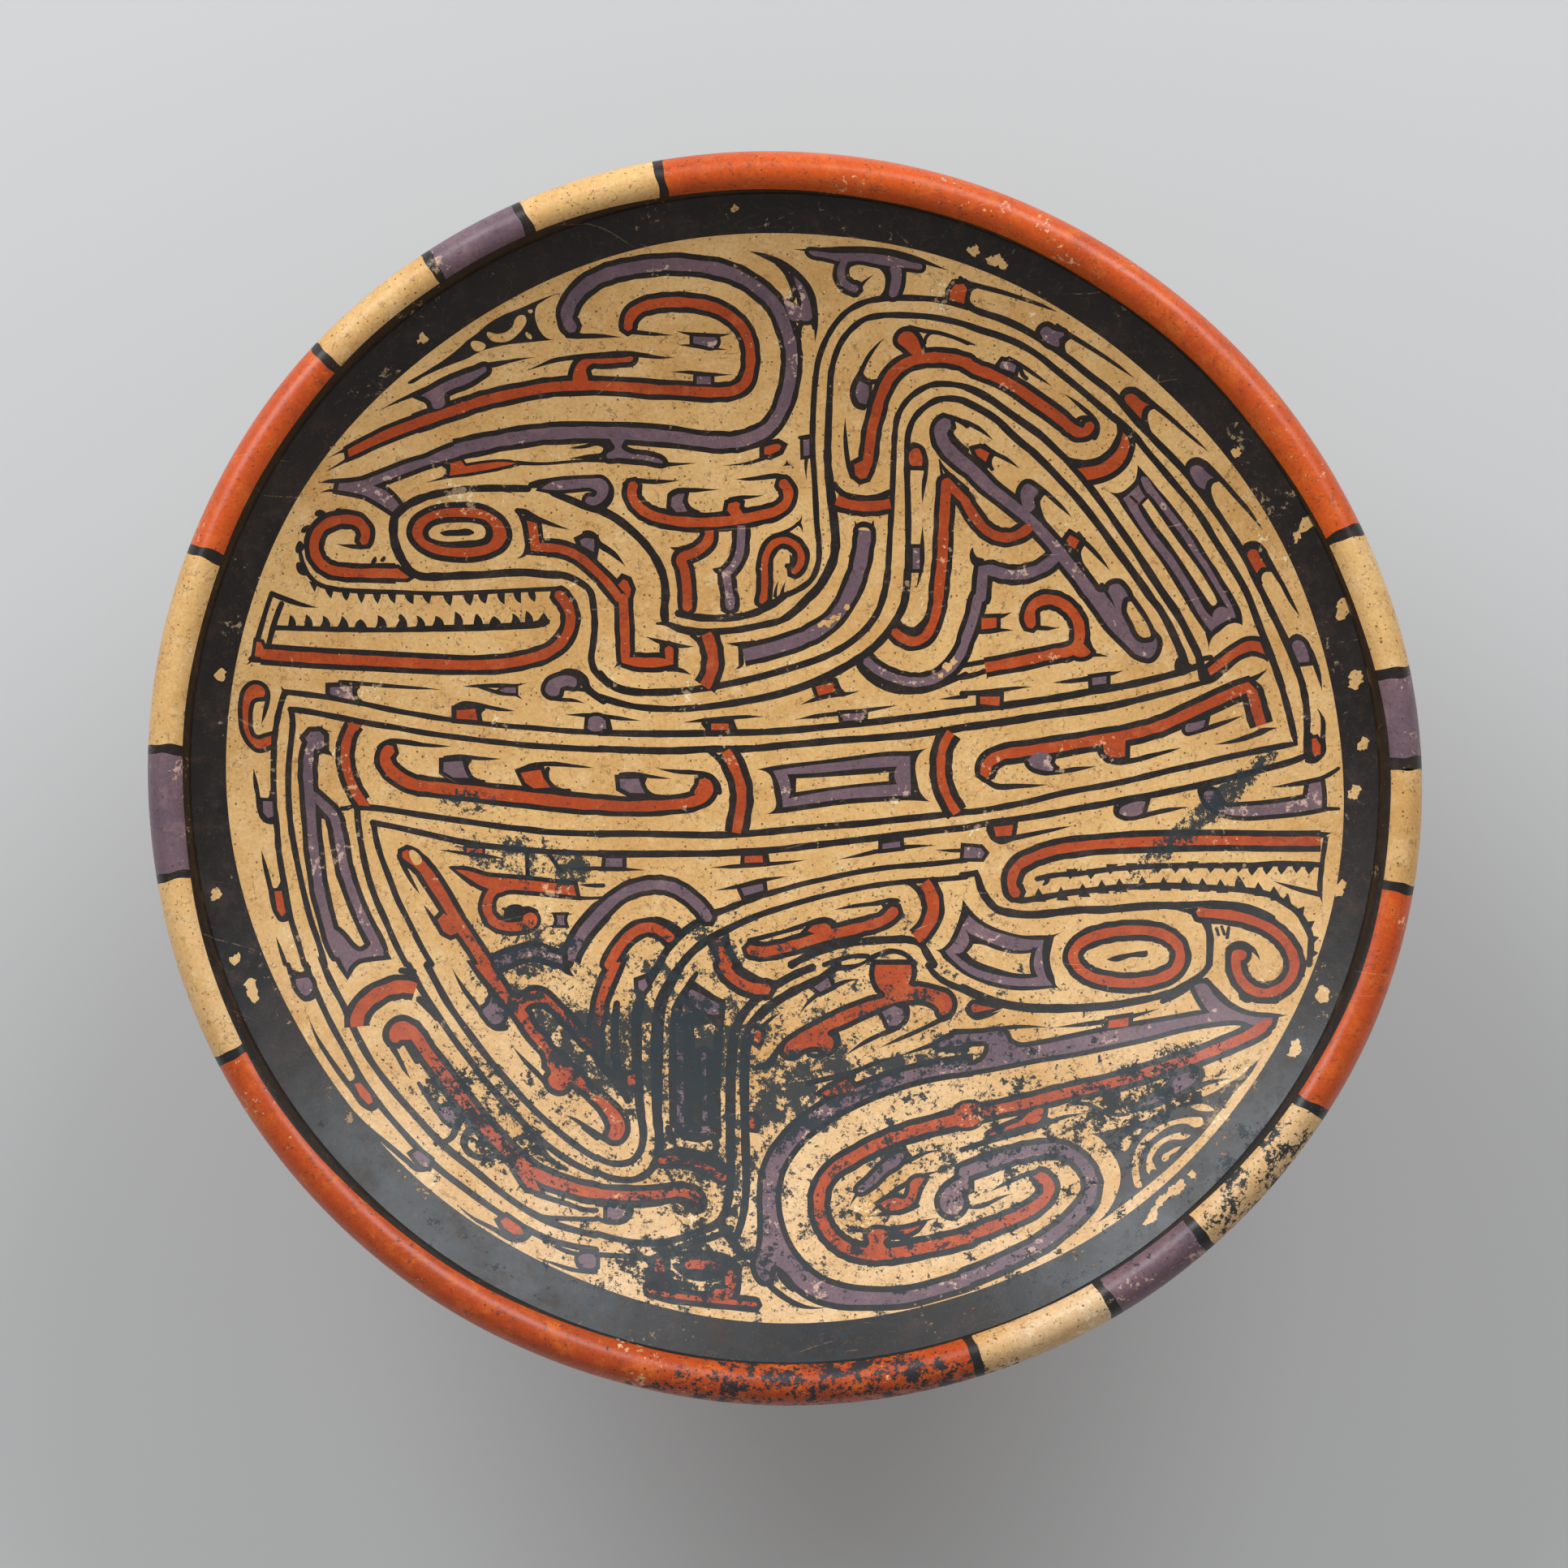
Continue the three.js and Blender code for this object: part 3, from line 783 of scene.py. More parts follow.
# the purple scroll above the neck
line("""2.4,122.3 6.4,122.1 11.9,122.3 20.1,122.2 26.1,121.4 31.1,119.9 34.9,118.5
    38.7,117.2""", 0, 1.1, 1.1, 1.2, 1.2, 1, 0)
patch(purple, """6.2,121.4 12,121.4 20,121.3 25.5,120.5 29.5,119.3 32.3,118.2 29,118 25,118.4 21.5,119
    18,119.7 14,119.5 10,120.4""", 0.9)
band(purple, 1.7, "14.2,119.4 13.5,117.4 13.8,115.6 15.2,114.2 16.8,113.6", 1.1)
line("17.2,113 18.7,114.9 21.3,116.7", 1.3, 0)
line("15.2,118.6 16.8,119.3 19.4,119.2 21.7,118.7 23.4,117.6 24.3,115.6 23.9,113 22.7,111.4", 1.1, 1, 1.2)
patch(purple, "25,118.3 27.2,118.1 27.5,116 27,113.2 26.2,111.8 24.9,111.8 24.8,113.6 25.2,116", 1.1)
# the neck's outer lines, up from the jaw and over the arch
line("""0.3,43.7 3.6,45.1 6.6,47.3 8.3,51.1 8.5,55.5 8,60.4 7.7,65.9 7.4,71.4 7,76.9 7,82.4 7.2,87.9
    7.6,93.3 8.3,97.7 9.7,101.6 11.9,105.4 15.1,108.7 19,110.6 23.9,111.4 30,111.4 35.4,111 40,110.1
    43,109.3""", 1.4)
line("""5.8,43 8,45.1 10.2,48.4 11.9,52.2 12.4,56 12.1,60.4 11.6,64.8 11,69.8 10.5,75.2 10.6,80.7
    10.8,86.2 11,90.6 11.3,95 11.9,97.7 13.8,102.1 16.2,104.9 19,106.8 22.8,107.6 28.3,107.6 33.8,107.2
    38.2,106.4 43,105.1""", 2.2, 2.2, 2.2, 2, 1.7, 1.5, 1.4, 1.4, 1.4, 1.4)
line("""24.7,49.5 25,54.9 25.3,60.4 25.6,65.9 25.8,71.4 26,76.9 26.2,81.3 26.9,85.1 28.9,88.4 31.6,90.6
    34.9,92 38.2,92.1 43,91.2""", 1.4)
line("""28.9,43 29.3,49.5 29.4,54.9 29.4,60.4 29.3,65.9 29.1,71.4 29.1,76.9 29.4,81.3 30.8,84.6 33.2,87
    36,88.5 39.3,88.8 43,87.9""", 1.5)
# the red band inside the neck, with its spurs
band(red, 2.3, """43,96.7 40,97.6 35,98.1 30,97.4 27.2,96 25,93.8 23.6,91.2 22.5,88.4 21.7,85.1 20.9,82.4
    20.5,79.6 20.1,76.3 19.5,73.6 18.2,72.3""")
block(red, "16.7,73.9 18.5,74.9 20,74.5 20.4,72.6 19.6,71 18.2,70.6 17,71.6", 1.2)
line("14.6,84.8 14.6,81 14.9,77 15.4,74 16.4,71.2", 0, 1, 1.2, 1.3)
patch(red, "26.7,102 27.6,103.6 29.7,103.9 31,102.8 32,100.6 32.5,98.5 30.6,98.6 28.3,100.4", 1.2)
line("29.4,105 32.7,104.1 36.5,103.5 40,102.4 43,101.1", 1, 1, 0.9)
line("33,101.3 33.6,103 35,103.6", 1, 0.6)
line("""23.6,102.6 21.5,100.5 19.5,97.7 18.2,95 16.8,92.8 16.2,90.1 17.1,87.6
    19,86.9""", 0, 0.9, 1.1, 1.2, 1.2, 1.2)
block(purple, "17.9,93 20.1,91.9 20.1,90 19.5,87.7 17.9,88.1 17,89.8 17.2,91.7", 0.8)
line("18.4,96.1 18.7,93.9 20.6,92.8 22.8,93.3", 0.9, 1.1, 1.1)
line("12.1,69.5 14,67.4 17.3,66.3 21.2,66.3 25,67.6", 1.3, 1.6, 1.6, 1.4)
band(red, 2.3, "| 12.6,65.9 16.2,64.7 20.6,64.4 25.2,65 |")
# the red moustache and its blocks
band(red, 2.2, """-35,69 -35.3,67 -33.9,64.4 -31.2,62.5 -27.1,61.3 -21.1,60.7 -15.6,60.8 -10.1,61.4
    -5.2,62.4 -1.3,63.5 0.9,65.4 1.3,67.6 0.2,69.6""")
line("-37,69.3 -34.8,70.2 -31.5,70 -23.8,70.4", 1.2, 1.2, 1, 0)
line("0.6,71.1 -0.8,71.4 -4.6,71.1 -7.9,70.7 -11.2,70.7", 1.3, 1.2, 1, 0)
block(purple, "-26,66.4 -24.6,67.2 -23,67.3 -23.5,65.4 -22.4,63.2 -24.9,63 -26.2,64.4", 1.1)
line("-26.5,67 -24.9,68 -21.1,68.1 -14.5,68.3", 1, 1.1, 0)
line("-22.6,66.6 -22.6,65 -21.4,63.6 -19.8,62.9", 1.1)
block(red, "-13,63.5 -12.7,65 -10.9,65.5 -10,65.1 -10.2,64 -9,62.4 -12,62.2", 1.1)
line("-12.4,66 -10.1,66.4 -7.3,66.6 -4.3,67", 1, 1, 0)
line("-9.7,65.4 -9.2,64 -7.4,63.6 -4.4,63.8 -2.2,64.9", 1)
# the red and purple legs below it
band(red, 2.2, "| -17.3,58.8 -17.5,56.6 -19.4,54.5 -22.3,53.1! -23.6,52.4 -23,49.5 -22.6,46.7 -22.4,43")
black("-26.5,54.9! -24,55 -21,55.6 -22,54.2 -24.4,53.8")
band(purple, 1.9, "| -9.7,60 -9.8,56.6 -10.2,53.3 -11.5,50.7 -13.3,48.9! -12.9,46.2 -12.4,43")
black("-16.5,50! -14.6,50.4 -13,51 -13.4,49.4 -14.6,48.6")
# the small red spiral
band(red, 1.6, "-4.5,43 -4.2,47.3 -4.3,50 -3.8,53.3 -2.1,55.8 0.1,56.6 2.5,55.8 4.1,53.9 4.1,51.1 2.7,49.4")
line("1,50.6 2.1,51 2,52.4 1.6,53.5", 1.4, 1.2, 0)
line("-2,57.7 1.4,58.9 3.7,60.5", 1, 0.8)
line("3.3,60.3 4.1,61 4.4,62.6", 0.9, 0)
line("3.9,60.4 4.3,59.8 4.7,58.2", 0.9, 0)
# the broad purple band down the neck
band(purple, 3, "| 19.3,58.8 18.7,53.9 17.9,50 16.8,46.7 15.1,43")
line("17,58.6 17.3,59.5 20.8,59.5 21.2,58.8", 1.3)
line("17.2,59.6 17,61.2", 1, 0)
line("21,59.6 21.3,61.4", 1, 0)
# the blocks between the lines
block(purple, "4.8,79.6 6.3,79.9 6.2,76.2 4.9,76", 0.8)
line("3.9,80.2 6.2,80.6", 0.8)
line("5.6,75.8 5.4,73 5.6,70.4", 1, 0.6, 0)
patch(red, "30.2,77.2 31.6,77.6 32.4,76.3 32.5,73.6! 30.2,73.6!", 1)
line("30.3,78.5 32.3,77.8 33.3,75.6 33.5,72.5 33,69.2 32.7,64.8", 1, 1.2, 1.1, 1.1, 0.9, 0)
line("30,73.1 33.4,72.9", 1)
patch(purple, "30.5,54.7! 32.1,54.7! 32.1,49.8! 30.5,49.8!", 0.9)
line("32.8,60 32.7,56 32.8,52.2 32.3,48.9 31.3,45", 0, 0.9, 1, 0.9, 0)
# the tall red peak
band(red, 2.4, "38.3,69.6 38.1,67 37.9,63.2 37.6,57.7 37.4,52.2 36.8,46.7 36.5,43")
line("36.4,75.2 37,72.6 37.6,70", 0, 1.2)
band(red, 2, "38.4,69.8 40.9,67.2 43,65.2")
line("36.5,75 38.4,72 41,69.6 43,67.9", 0.4, 1.3, 1.3)
# the long purple diagonal
band(purple, 3, "37.9,83 36.9,81.5 37.2,79.6 38.4,77.6 40.4,75.6 43,73.4")
line("38,84.9 39.8,84.4 43,82.6", 1, 1.2)
line("39,82.2 39.3,80.8 40.6,79 43,77", 1.2)

# the first crocodile's eye
patch(red, """-86.1,57.1 -85.3,59.8 -83,61.6 -79.7,62.8 -75.2,63.3 -71.1,63.2 -67.9,62 -65.4,59.9
    -64.5,57.1 -65.4,55 -67.9,53.3 -72,52.2 -76.9,52.1 -81.8,53 -84.6,54.7""", 1.4)
over_shape("""-83.8,57.2 -83,59.2 -80.9,60.6 -76.9,61.2 -72,61.1 -69.4,60.6 -67.9,59 -67.6,57.1 -68.4,55.5
    -71.1,54.5 -75.2,54.1 -79.3,54.3 -81.8,55.1 -83.4,56.1""")
cream("""-82.4,57.3 -81.6,58.6 -79.5,59.5 -76,59.9 -71.8,59.8 -69.9,59.2 -69.3,58 -69.7,56.7 -71.1,56.1
    -73.5,55.9 -76,55.6 -78.6,55.5 -80.9,55.9 -82.1,56.5""")
over_shape("""-79.9,57.6! -78.2,58.1 -75.6,58.3 -74,58.6 -72.4,58.2 -71.9,57.7 -72.8,57.1 -74.6,56.9
    -77,56.8 -79.3,57""")
# head outline, round the eye and down to the body
line("""-59.4,68 -65,68 -69.5,67.9 -73.6,67.6 -77.7,66.9 -81.8,66 -85.8,64.4 -88.3,62.8 -90,60.9
    -90.4,58.5 -90.3,56 -89.9,54.2 -89.1,52.2 -87.8,50 -86.4,48.3 -85,47.6 -80,47.4 -75,47.75 -70,48
    -65,48.5 -60,48.7 -55.2,48.3 -51.2,48.1 -47.9,46.8 -45.2,44.6 -44.4,41 -44.1,36.4 -44.5,32 -44.9,28.7
    -44.1,26 -42.6,24.4""", 1.7, 1.6, 1.8, 2.1, 2.1, 1.9, 1.8, 1.9, 1.7, 1.6, 1.6)
line("-67.7,67.9 -64.5,67.3 -62.2,66.7", 1, 0)
# purple spur behind the head, and the long line below it
line("-58.8,68.9 -55,69.8 -50,70.4 -45,70.5 -43,70.5 -40.8,69.5 -40.1,67.6 -40.6,65.4 -42.6,63.9", 1.4)
line("-59,68.6 -56.7,68.7 -53.4,67 -49.6,65.6 -45.7,64 -43,63.4", 1.2, 1.4, 1.8, 1.9)
patch(purple, """-56.4,68! -54.4,69.4 -50,70.2 -45,70.5 -42,70.4 -40.8,69 -41,67 -42.4,65.2 -44.4,64.4
    -46.2,65.2! -45.6,66.4 -44,66.4 -43.4,67.4 -44.4,68.2 -48,68.2 -52,67.8""", 0.9)
# red and purple blocks right of the eye
line("-62,62.9 -60.7,60.6 -59.9,57.2 -59.7,54.7 -60.3,53 -62.3,51.9", 0.8, 1.2, 1.3, 1.2, 0)
patch(red, """-59.8,60.7! -57.4,60.1! -57.1,57.6 -56.9,55.6! -54,55.5! -53.9,53.5! -58.9,53.8!
    -59.2,57.2""", 1.1)
band(red, 2, "| -55.2,54.5 -50.1,53.7 -46.8,51.9 -44.1,49.5 -42,47.5 -40.3,45.6 -38.4,43")
line("-62,62.9 -60.4,62.7 -58,61.4 -54,59.9 -49.6,58.7", 1.2, 1.5, 1.2, 0.8, 0)
block(purple, "-47.5,56.3 -46.3,56.9 -44.2,56.6 -44.1,54.9 -44.3,53.7 -45.7,54.4 -47.1,55.2", 1.2)
line("-46.5,58 -44.4,57.8 -43,55.6 -39.7,53.3 -36.9,50.4", 1, 1.2, 1.5, 1.2, 0)
block(red, "-38.6,46 -37.4,47.4 -36.4,47 -35.6,45 -36,43", 1.2)
# the snout's red curl, its inner end and small teeth
band(red, 2.1, """-97.1,55.2 -96.8,57.4 -98.1,59.3 -101.1,60 -104.1,59.4 -106.6,57.9 -108,55.5 -108.3,52.8
    -107.3,50.3 -105,48.5 -101.7,47.9 -97.3,47.8 -92.3,47.9 -90,47.9 |""")
block(red, "-90.4,49 -89.6,49.1 -86.9,47.1 -87.4,46.8 -90.4,46.8", 0.9)
line("-96,54.2 -97.8,53.8 -100.6,53.9 -103.5,54.3", 1.2, 1.1, 0)
black("-108.1,60.8 -106.9,62 -105.6,61.1 -106.3,60.5")
black("-103.4,62.1 -102.6,62.5 -101.8,61.6 -102.8,61.4")
black("-111.1,56.7 -110.4,58.1 -108.9,58.2 -109.6,56.9")
black("-112.1,51.9 -111.3,54.7 -110.5,53.3 -111.3,52.1")
black("-111.8,47.3 -111.9,49.9 -110.6,49.2 -109.9,47")
black("-95.4,50 -94.4,51.6 -94.6,50.2")
black("-93.4,50.6 -92.3,51.7 -92.8,50.5")
# gum line over the first crocodile's teeth
line("""-111.4,52 -110.8,49.4 -109.6,47 -107.6,45.1 -104,44 -100,43.7 -90,43.6 -80,43.5 -70,44 -62,44.5
    -55,44.9 -52,45""", 1, 1.2, 1.1, 1, 1, 1.2)
for tooth_shape in (
        "-109.6,45.6! -108.3,43.1! -107.5,45.2!",
        "-106.1,44.2! -105.4,42.6 -104.6,41.7! -104.3,42.8 -104,44.1!",
        "-102.3,43.9! -102,42.4 -101.2,41.3! -100.6,42.4 -100.4,43.9!",
        "-98.9,43.9! -98.6,42.4 -97.8,40.8! -97.1,42.4 -96.9,43.9!",
        "-95.3,43.9! -95,42.2 -94.1,40.8! -93.5,42.4 -93.3,43.9!",
        "-91.9,43.8! -91.6,42.4 -90.2,40.9! -90,42.4 -90,43.9!",
        "-88.1,43.8! -87.6,42 -86,40.9! -85.9,42.4 -85.8,43.9!",
        "-84.1,43.9! -83.6,42.2 -82.4,41! -82,42.4 -81.6,43.9!",
        "-79.3,43.9! -78.8,42 -77.5,40.6! -77.1,42 -77,43.9!",
        "-74.4,44! -74.2,42 -72.9,40.8! -72.3,42.4 -72.1,44.1!",
        "-71.1,44.1! -70.8,42.4 -69.4,41.3! -69,42.6 -68.8,44.1!",
        "-66.7,44.3! -66.4,42.4 -65,41.2! -65,42.6 -64.9,44.3!",
        "-62.9,44.5! -62.6,42.6 -61.2,41.5! -61.2,43 -61.2,44.5!",
        "-59.6,44.6! -59.3,43 -58,41.9! -57.8,43 -58.1,44.5!"):
    black(tooth_shape)

# upper right: the neck's lines over the arch and down to the body
line("""42.6,109.5 45,108.3 50,106.6 55,104.4 58.5,102.4 61,100.8 64.5,98.4 66.7,96.8 70,94.1 72.7,92
    75,90.3 77.9,87.6 79.7,85.4 81.5,83.2 83.2,81.2 85.3,79.2 87.3,77.1 89.1,75.3 91.1,73.2 93.2,70.9
    95,68.5 96.7,66.3 98.5,64 100.4,61.4 102.2,58.7 103.9,56.1 105.3,53.9 106.6,51.6 107.8,49.3 108.8,47.1
    110.2,44.2 111.4,41.8 112.5,39.4 113.8,36.8 115.1,34.1 116.1,31.9 117.1,29.5 118.1,26.8 119.1,24.2
    120.1,21.2""", 1.6)
line("""42.6,105.2 45,104.3 50,102.7 55,100.6 60,97.5 63.5,94.6 66.8,92 70.3,89.1 73.8,86.1 76.8,83.6
    78.6,82.2 80.3,80.6 82.1,78.8 83.8,76.6 85.9,74.1 87.9,71.8 90,69.2 92,66.8 94.3,64.1 96.3,61.4
    98.1,58.6 99.9,55.5 101.9,52.4 103.5,49.8 105.2,47 106.6,44.5 107.8,42 108.8,39.4 109.8,36.6
    110.8,33.9 111.6,31.9 112.5,29.5 113.5,26.8 114.5,23.9 115.5,20.9""", 1.6)
line("""42.6,91.3 45,90.3 48,88.7 51.9,85.9 55,83.7 58,81.6 59.8,80.3 62.1,78.2 64.5,75.9 66.5,74 68,72.2
    69.7,70.3 71.2,68.5 72.7,66.5 74.4,64.2 76.1,61.9 77.7,59.5 79.4,57.1 81.3,54.4 83,51.8 84.6,49.3
    86.3,46.7 87.9,44.2 89.6,41.7 91.2,39.4 92.6,37 93.9,34.5 95.2,31.8 96.5,29.1 97.2,26.3
    97.6,23.6""", 1.7, 1.7, 1.7, 1.8, 1.9)
line("""42.6,88 45,86.8 48,85.1 50,83.7 53,80.8 56.3,77.9 58,76.6 60.3,74.4 62.7,72 65,69.5 67.4,67
    69.3,64.8 71,62.7 72.7,60.5 74.4,58.3 76.1,55.9 78,53.2 80.1,50.4 82,47.7 84,44.9 85.8,42.2 87.4,40.2
    88.9,37.8 90.3,35.1 91.6,32.2 92.6,29.9 93.3,28 93.9,26""", 1.7, 1.7, 1.7, 1.8, 1.9)
black("92.2,28.6! 94.2,27.3 96.3,26.2! 94.4,24.7 92.2,24.2")
# the red band over the arch, to its hooked end
band(red, 2.3, """42.6,96.8 45,95.3 48,94.2 50.8,92.9 55,90.5 58.5,88 61.7,85.8 65,83.3 67.2,81.4
    68.8,80.6 70.3,80.7 71.2,81.9""")
line("65.2,89.4 67.7,87.6 69.7,85.9 71.3,84.5 72.5,83 73,81.2 72.4,79.2", 0, 0.9, 1.2, 1.3, 1.3)
line("68.3,83.2 69.7,83.9 71,83.6", 1)
block(purple, "50.3,96 51.1,97 53,96.6 54.2,95.8 53.8,94.4 51.9,95 50.6,95.4", 1)
line("52.4,97.6 55,96.2 57.9,94.2 62.6,91", 1, 1, 0.9, 0)
line("55.4,95.6 55.6,94 56.6,93", 1)
line("43,101.2 45.2,100.6", 0.8, 0)
# spurs on the outer line, each a block with a whisker
block(red, "38.6,110.9 38.8,112.8 39.8,114.2 41.8,114.3 42.6,113.2 42.2,111.4 42,109.9", 1.2)
line("""41,115.6 42.6,114.6 44.7,113.9 50.2,112.4 55.7,110.6 60.1,109
    63.7,107.4""", 1.1, 1.1, 1.1, 1.1, 1, 0.8, 0)
line("44.6,113.6 43.1,112.6 42.8,111 44,109.2", 1)
patch(purple, "59.6,103.4 60.9,104.4 62.6,103.5 65,102.4 64,101.6 63.9,100 62.3,100.3 60.4,101.7", 1.2)
line("63.4,104.6 65.6,102.9 69.4,100.5 73.8,97.7 77.7,95 81.5,92.1", 1, 1.2, 1.1, 1, 0.8, 0)
line("66.7,101.9 65,100.8 65,99 66.6,96.8", 1)
patch(red, """79.1,87.9 79.4,88.6 80.6,88.9 81.6,88.5 82.9,87.3 84.7,86.3! 83.6,85.7 83.1,84.6 83,83.2!
    82,84.2 80.6,85.8 79.4,87.1""", 1.2)
line("""78.4,88.8 79.4,89.8 80.9,89.9 82.4,89.1 84.4,87.4 86.3,85.8 88.8,83.8 91.7,81.2 94.7,78.5 97,76.5
    98.5,75""", 1, 1.2, 1.3, 1.2, 1.1, 0.9, 0.7, 0)
line("85.6,85.8 84.3,85 83.9,83.6 84.2,81.8 85,80", 1.1)
patch(purple, """94.2,70.9 94.5,71.9 95.6,72.3 96.7,72 97.9,70.7 99.7,69.3! 98.4,68.9 97.9,68 97.7,66.8!
    96.7,67.2 95.8,68 94.8,69.6""", 1.2)
line("""93.6,72.3 94.3,73.3 95.7,73.6 97.3,72.9 98.8,71.5 100.5,69.7 102.6,67.4 104.6,65 107.4,61.8
    109.2,59.3 110.9,57""", 1, 1.2, 1.3, 1.2, 1.1, 1, 0.8, 0)
line("100.2,69 98.9,68.2 98.5,66.6 98.9,64.8 99.6,63", 1.2)
patch(red, """107.4,51.9 108.2,52.8 109.3,52.7 110.2,51.1 111.8,48.6! 110.6,48.6 110,48 109.6,47.4!
    108.8,48.7 107.9,50.4""", 1.1)
line("""106.6,53.2 107.6,54.1 109,54.2 110.5,53.2 112,50.4 113.8,47.1 115.2,44.8 117.1,41 118.4,38.7
    119.4,37""", 1, 1.2, 1.3, 1.2, 1.2, 1, 0.8, 0)
line("112.8,48.2 111,47.9 110.2,46.9 110.4,45", 1.1)
# the red crescent between the neck and the arch
patch(red, """78.9,80.3! 79.9,79.1 80.4,77.6 80.1,75.9 79.4,74.1 78.2,72.6 76.8,71.5 75,70.6 73.3,70.1
    70.9,69.7! 70,70.9 68.6,72.3! 70.3,72.6 72.1,72.8 73.8,73.2 75.3,74.1 76.5,75.1 77.7,76.5 78.2,77.6
    78.6,79""", 1.4)
line("""78,82.2 78.2,80.6 77.7,78.6 76.6,76.6 74.8,74.9 72.6,73.9 70.2,73.5 68,73.8
    66,74.4""", 1.3, 1.6, 1.6, 1.6, 1.7)
# the hollow purple frame down the right
black("""82.3,72.9! 83.5,71.5 85.3,69.5 87.1,67.2 88.9,65.2 90.7,62.9 92.5,60.6 94.3,58.1 96.1,55.7
    97.6,53.2 99.1,50.7 100.8,48.3 102.1,46 103.8,43.4 105.1,41 106.1,38.9 106.5,35.5! 105,36.1 103.4,35.8
    101.6,34.4 99.8,32.9 99.1,29.3! 98.5,32.6 97.9,34.4 96.7,36.2 95.2,38.5 93.7,41.1 92.1,43.8 90.1,47.1
    87.8,50.8 85.4,54.1 83.1,57.4 80.6,61 79,63.3 77.6,65.5 76.2,66.7 74.4,68.2! 77.9,66.6 79,66.9
    80.6,68.1 81.8,69.4 82.2,70.9""")
patch(purple, """79.1,65.3! 80.9,66.7 82.5,68.3 83.3,70.2! 84.3,70 85.9,67.8 87.5,65.7 89,63.7 90.6,61.6
    92.2,59.5 93.7,57.5 95.2,55.2 96.7,52.4 98.4,50.1 99.8,47.7 101.1,45.4 102.5,43.1 103.8,40.7 105,37.3!
    103.9,37.2 102.7,36.6 101.2,35.8 99.5,34.3! 98.3,35.8 96.8,38 95.5,40.4 94.2,42.7 92.9,45 91.4,47.3
    89.9,49.6 88.2,51.9 86.6,53.9 84.9,56.2 83.3,58.5 81.6,61.2 80.4,63.2""", 0.2)
over_shape("""82.4,63.8! 83,62.4 84.7,59.6 86.3,57.3 88,55 89.6,53 91.3,50.7 92.8,48.2 94.3,45.9 95.6,43.6
    96.9,41.3 98.2,39 99.7,37.5! 100.3,39.2 101.5,39.9 102.8,39.6 104,38.1! 102.9,40 101.5,42.3 100.1,44.7
    98.8,47 97.4,49.2 95.8,51.5 94.2,53.9 92.6,56.5 91,58.6 89.4,60.7 87.8,62.8 86.4,64.7 85,66.2!
    84,65.4""")
cream("""83.5,63.8! 84.5,62.3 86.9,58.6 89.3,55.6 91.6,52.2 93.1,50 94.4,48 96.1,45.4 97.8,42.8 99,41
    99.9,40.2 100.7,41.2! 100,42.9 98.7,45.1 97.4,47.3 95.7,49.8 94.1,52 92.4,54.2 90.1,57.5 88,60.6
    86.2,63.2 84.8,65.1!""")
over("82.7,69.2 83.7,67 84.7,65.6", 0.9)
over("80.9,65.7 82.3,64.3", 0.6)
# the purple diagonal with its spurs
band(purple, 2.6, """42.6,73.9 45,71.7 48,68.7 51.3,66.1 55,63.2 57.9,60.7 60.7,57.8 63.9,54.2 66.7,50.6
    69.4,47.3 71.6,44.2""")
patch(purple, "55.8,68 56.9,69.1 58.6,68.4 59.6,67.3 58.6,65.8 58.8,63.6 57,62.6 55.8,64.8", 1.2)
line("58,69.7 59.6,68.5 62.3,66.2 65,63.7 67.5,61.1", 1, 1.2, 1.1, 0.9, 0)
line("61,67 59.7,65.6 59.9,63.2 61.2,60", 1.1)
block(red, "44.8,77.1 46.1,77.4 48.2,76.3 47.4,74.3 45.4,75.8", 1.1)
line("47,78.1 49.1,76.4 51.9,75 55.3,72.6", 1, 1.1, 1, 0)
line("49.6,76.2 48.4,74.9 48.9,72.6", 1)
block(red, "66.2,56 67.1,57.2 69.2,55.9 68.2,53.9 66.8,54.9", 1.2)
line("69,57.6 70.2,55.8 72.7,53.2 76.4,48.7", 1, 1.2, 1, 0)
line("70.4,55.4 69.2,53.6 69.5,51 71,48.7", 1.1)
# the red peak's right foot
band(red, 2.1, "42.6,65.4 45,61.6 47.5,58.7 50.2,57.2 53,56.9 55.5,57.7 57.3,58.9")
# the purple hook under it
band(purple, 2.4, """63.9,52.4 61.2,50.1 57.9,48.7 54.6,48.2 51.3,48.6 48.6,49.4 46.9,49.6! 46.7,46.7
    46.4,43""")
black("44.6,54.7! 45.4,52.6 47.2,51.7 46.4,50.6 45,50.4")
line("42,83.6 45,82.3 49.2,79", 1.1, 1.1, 0)

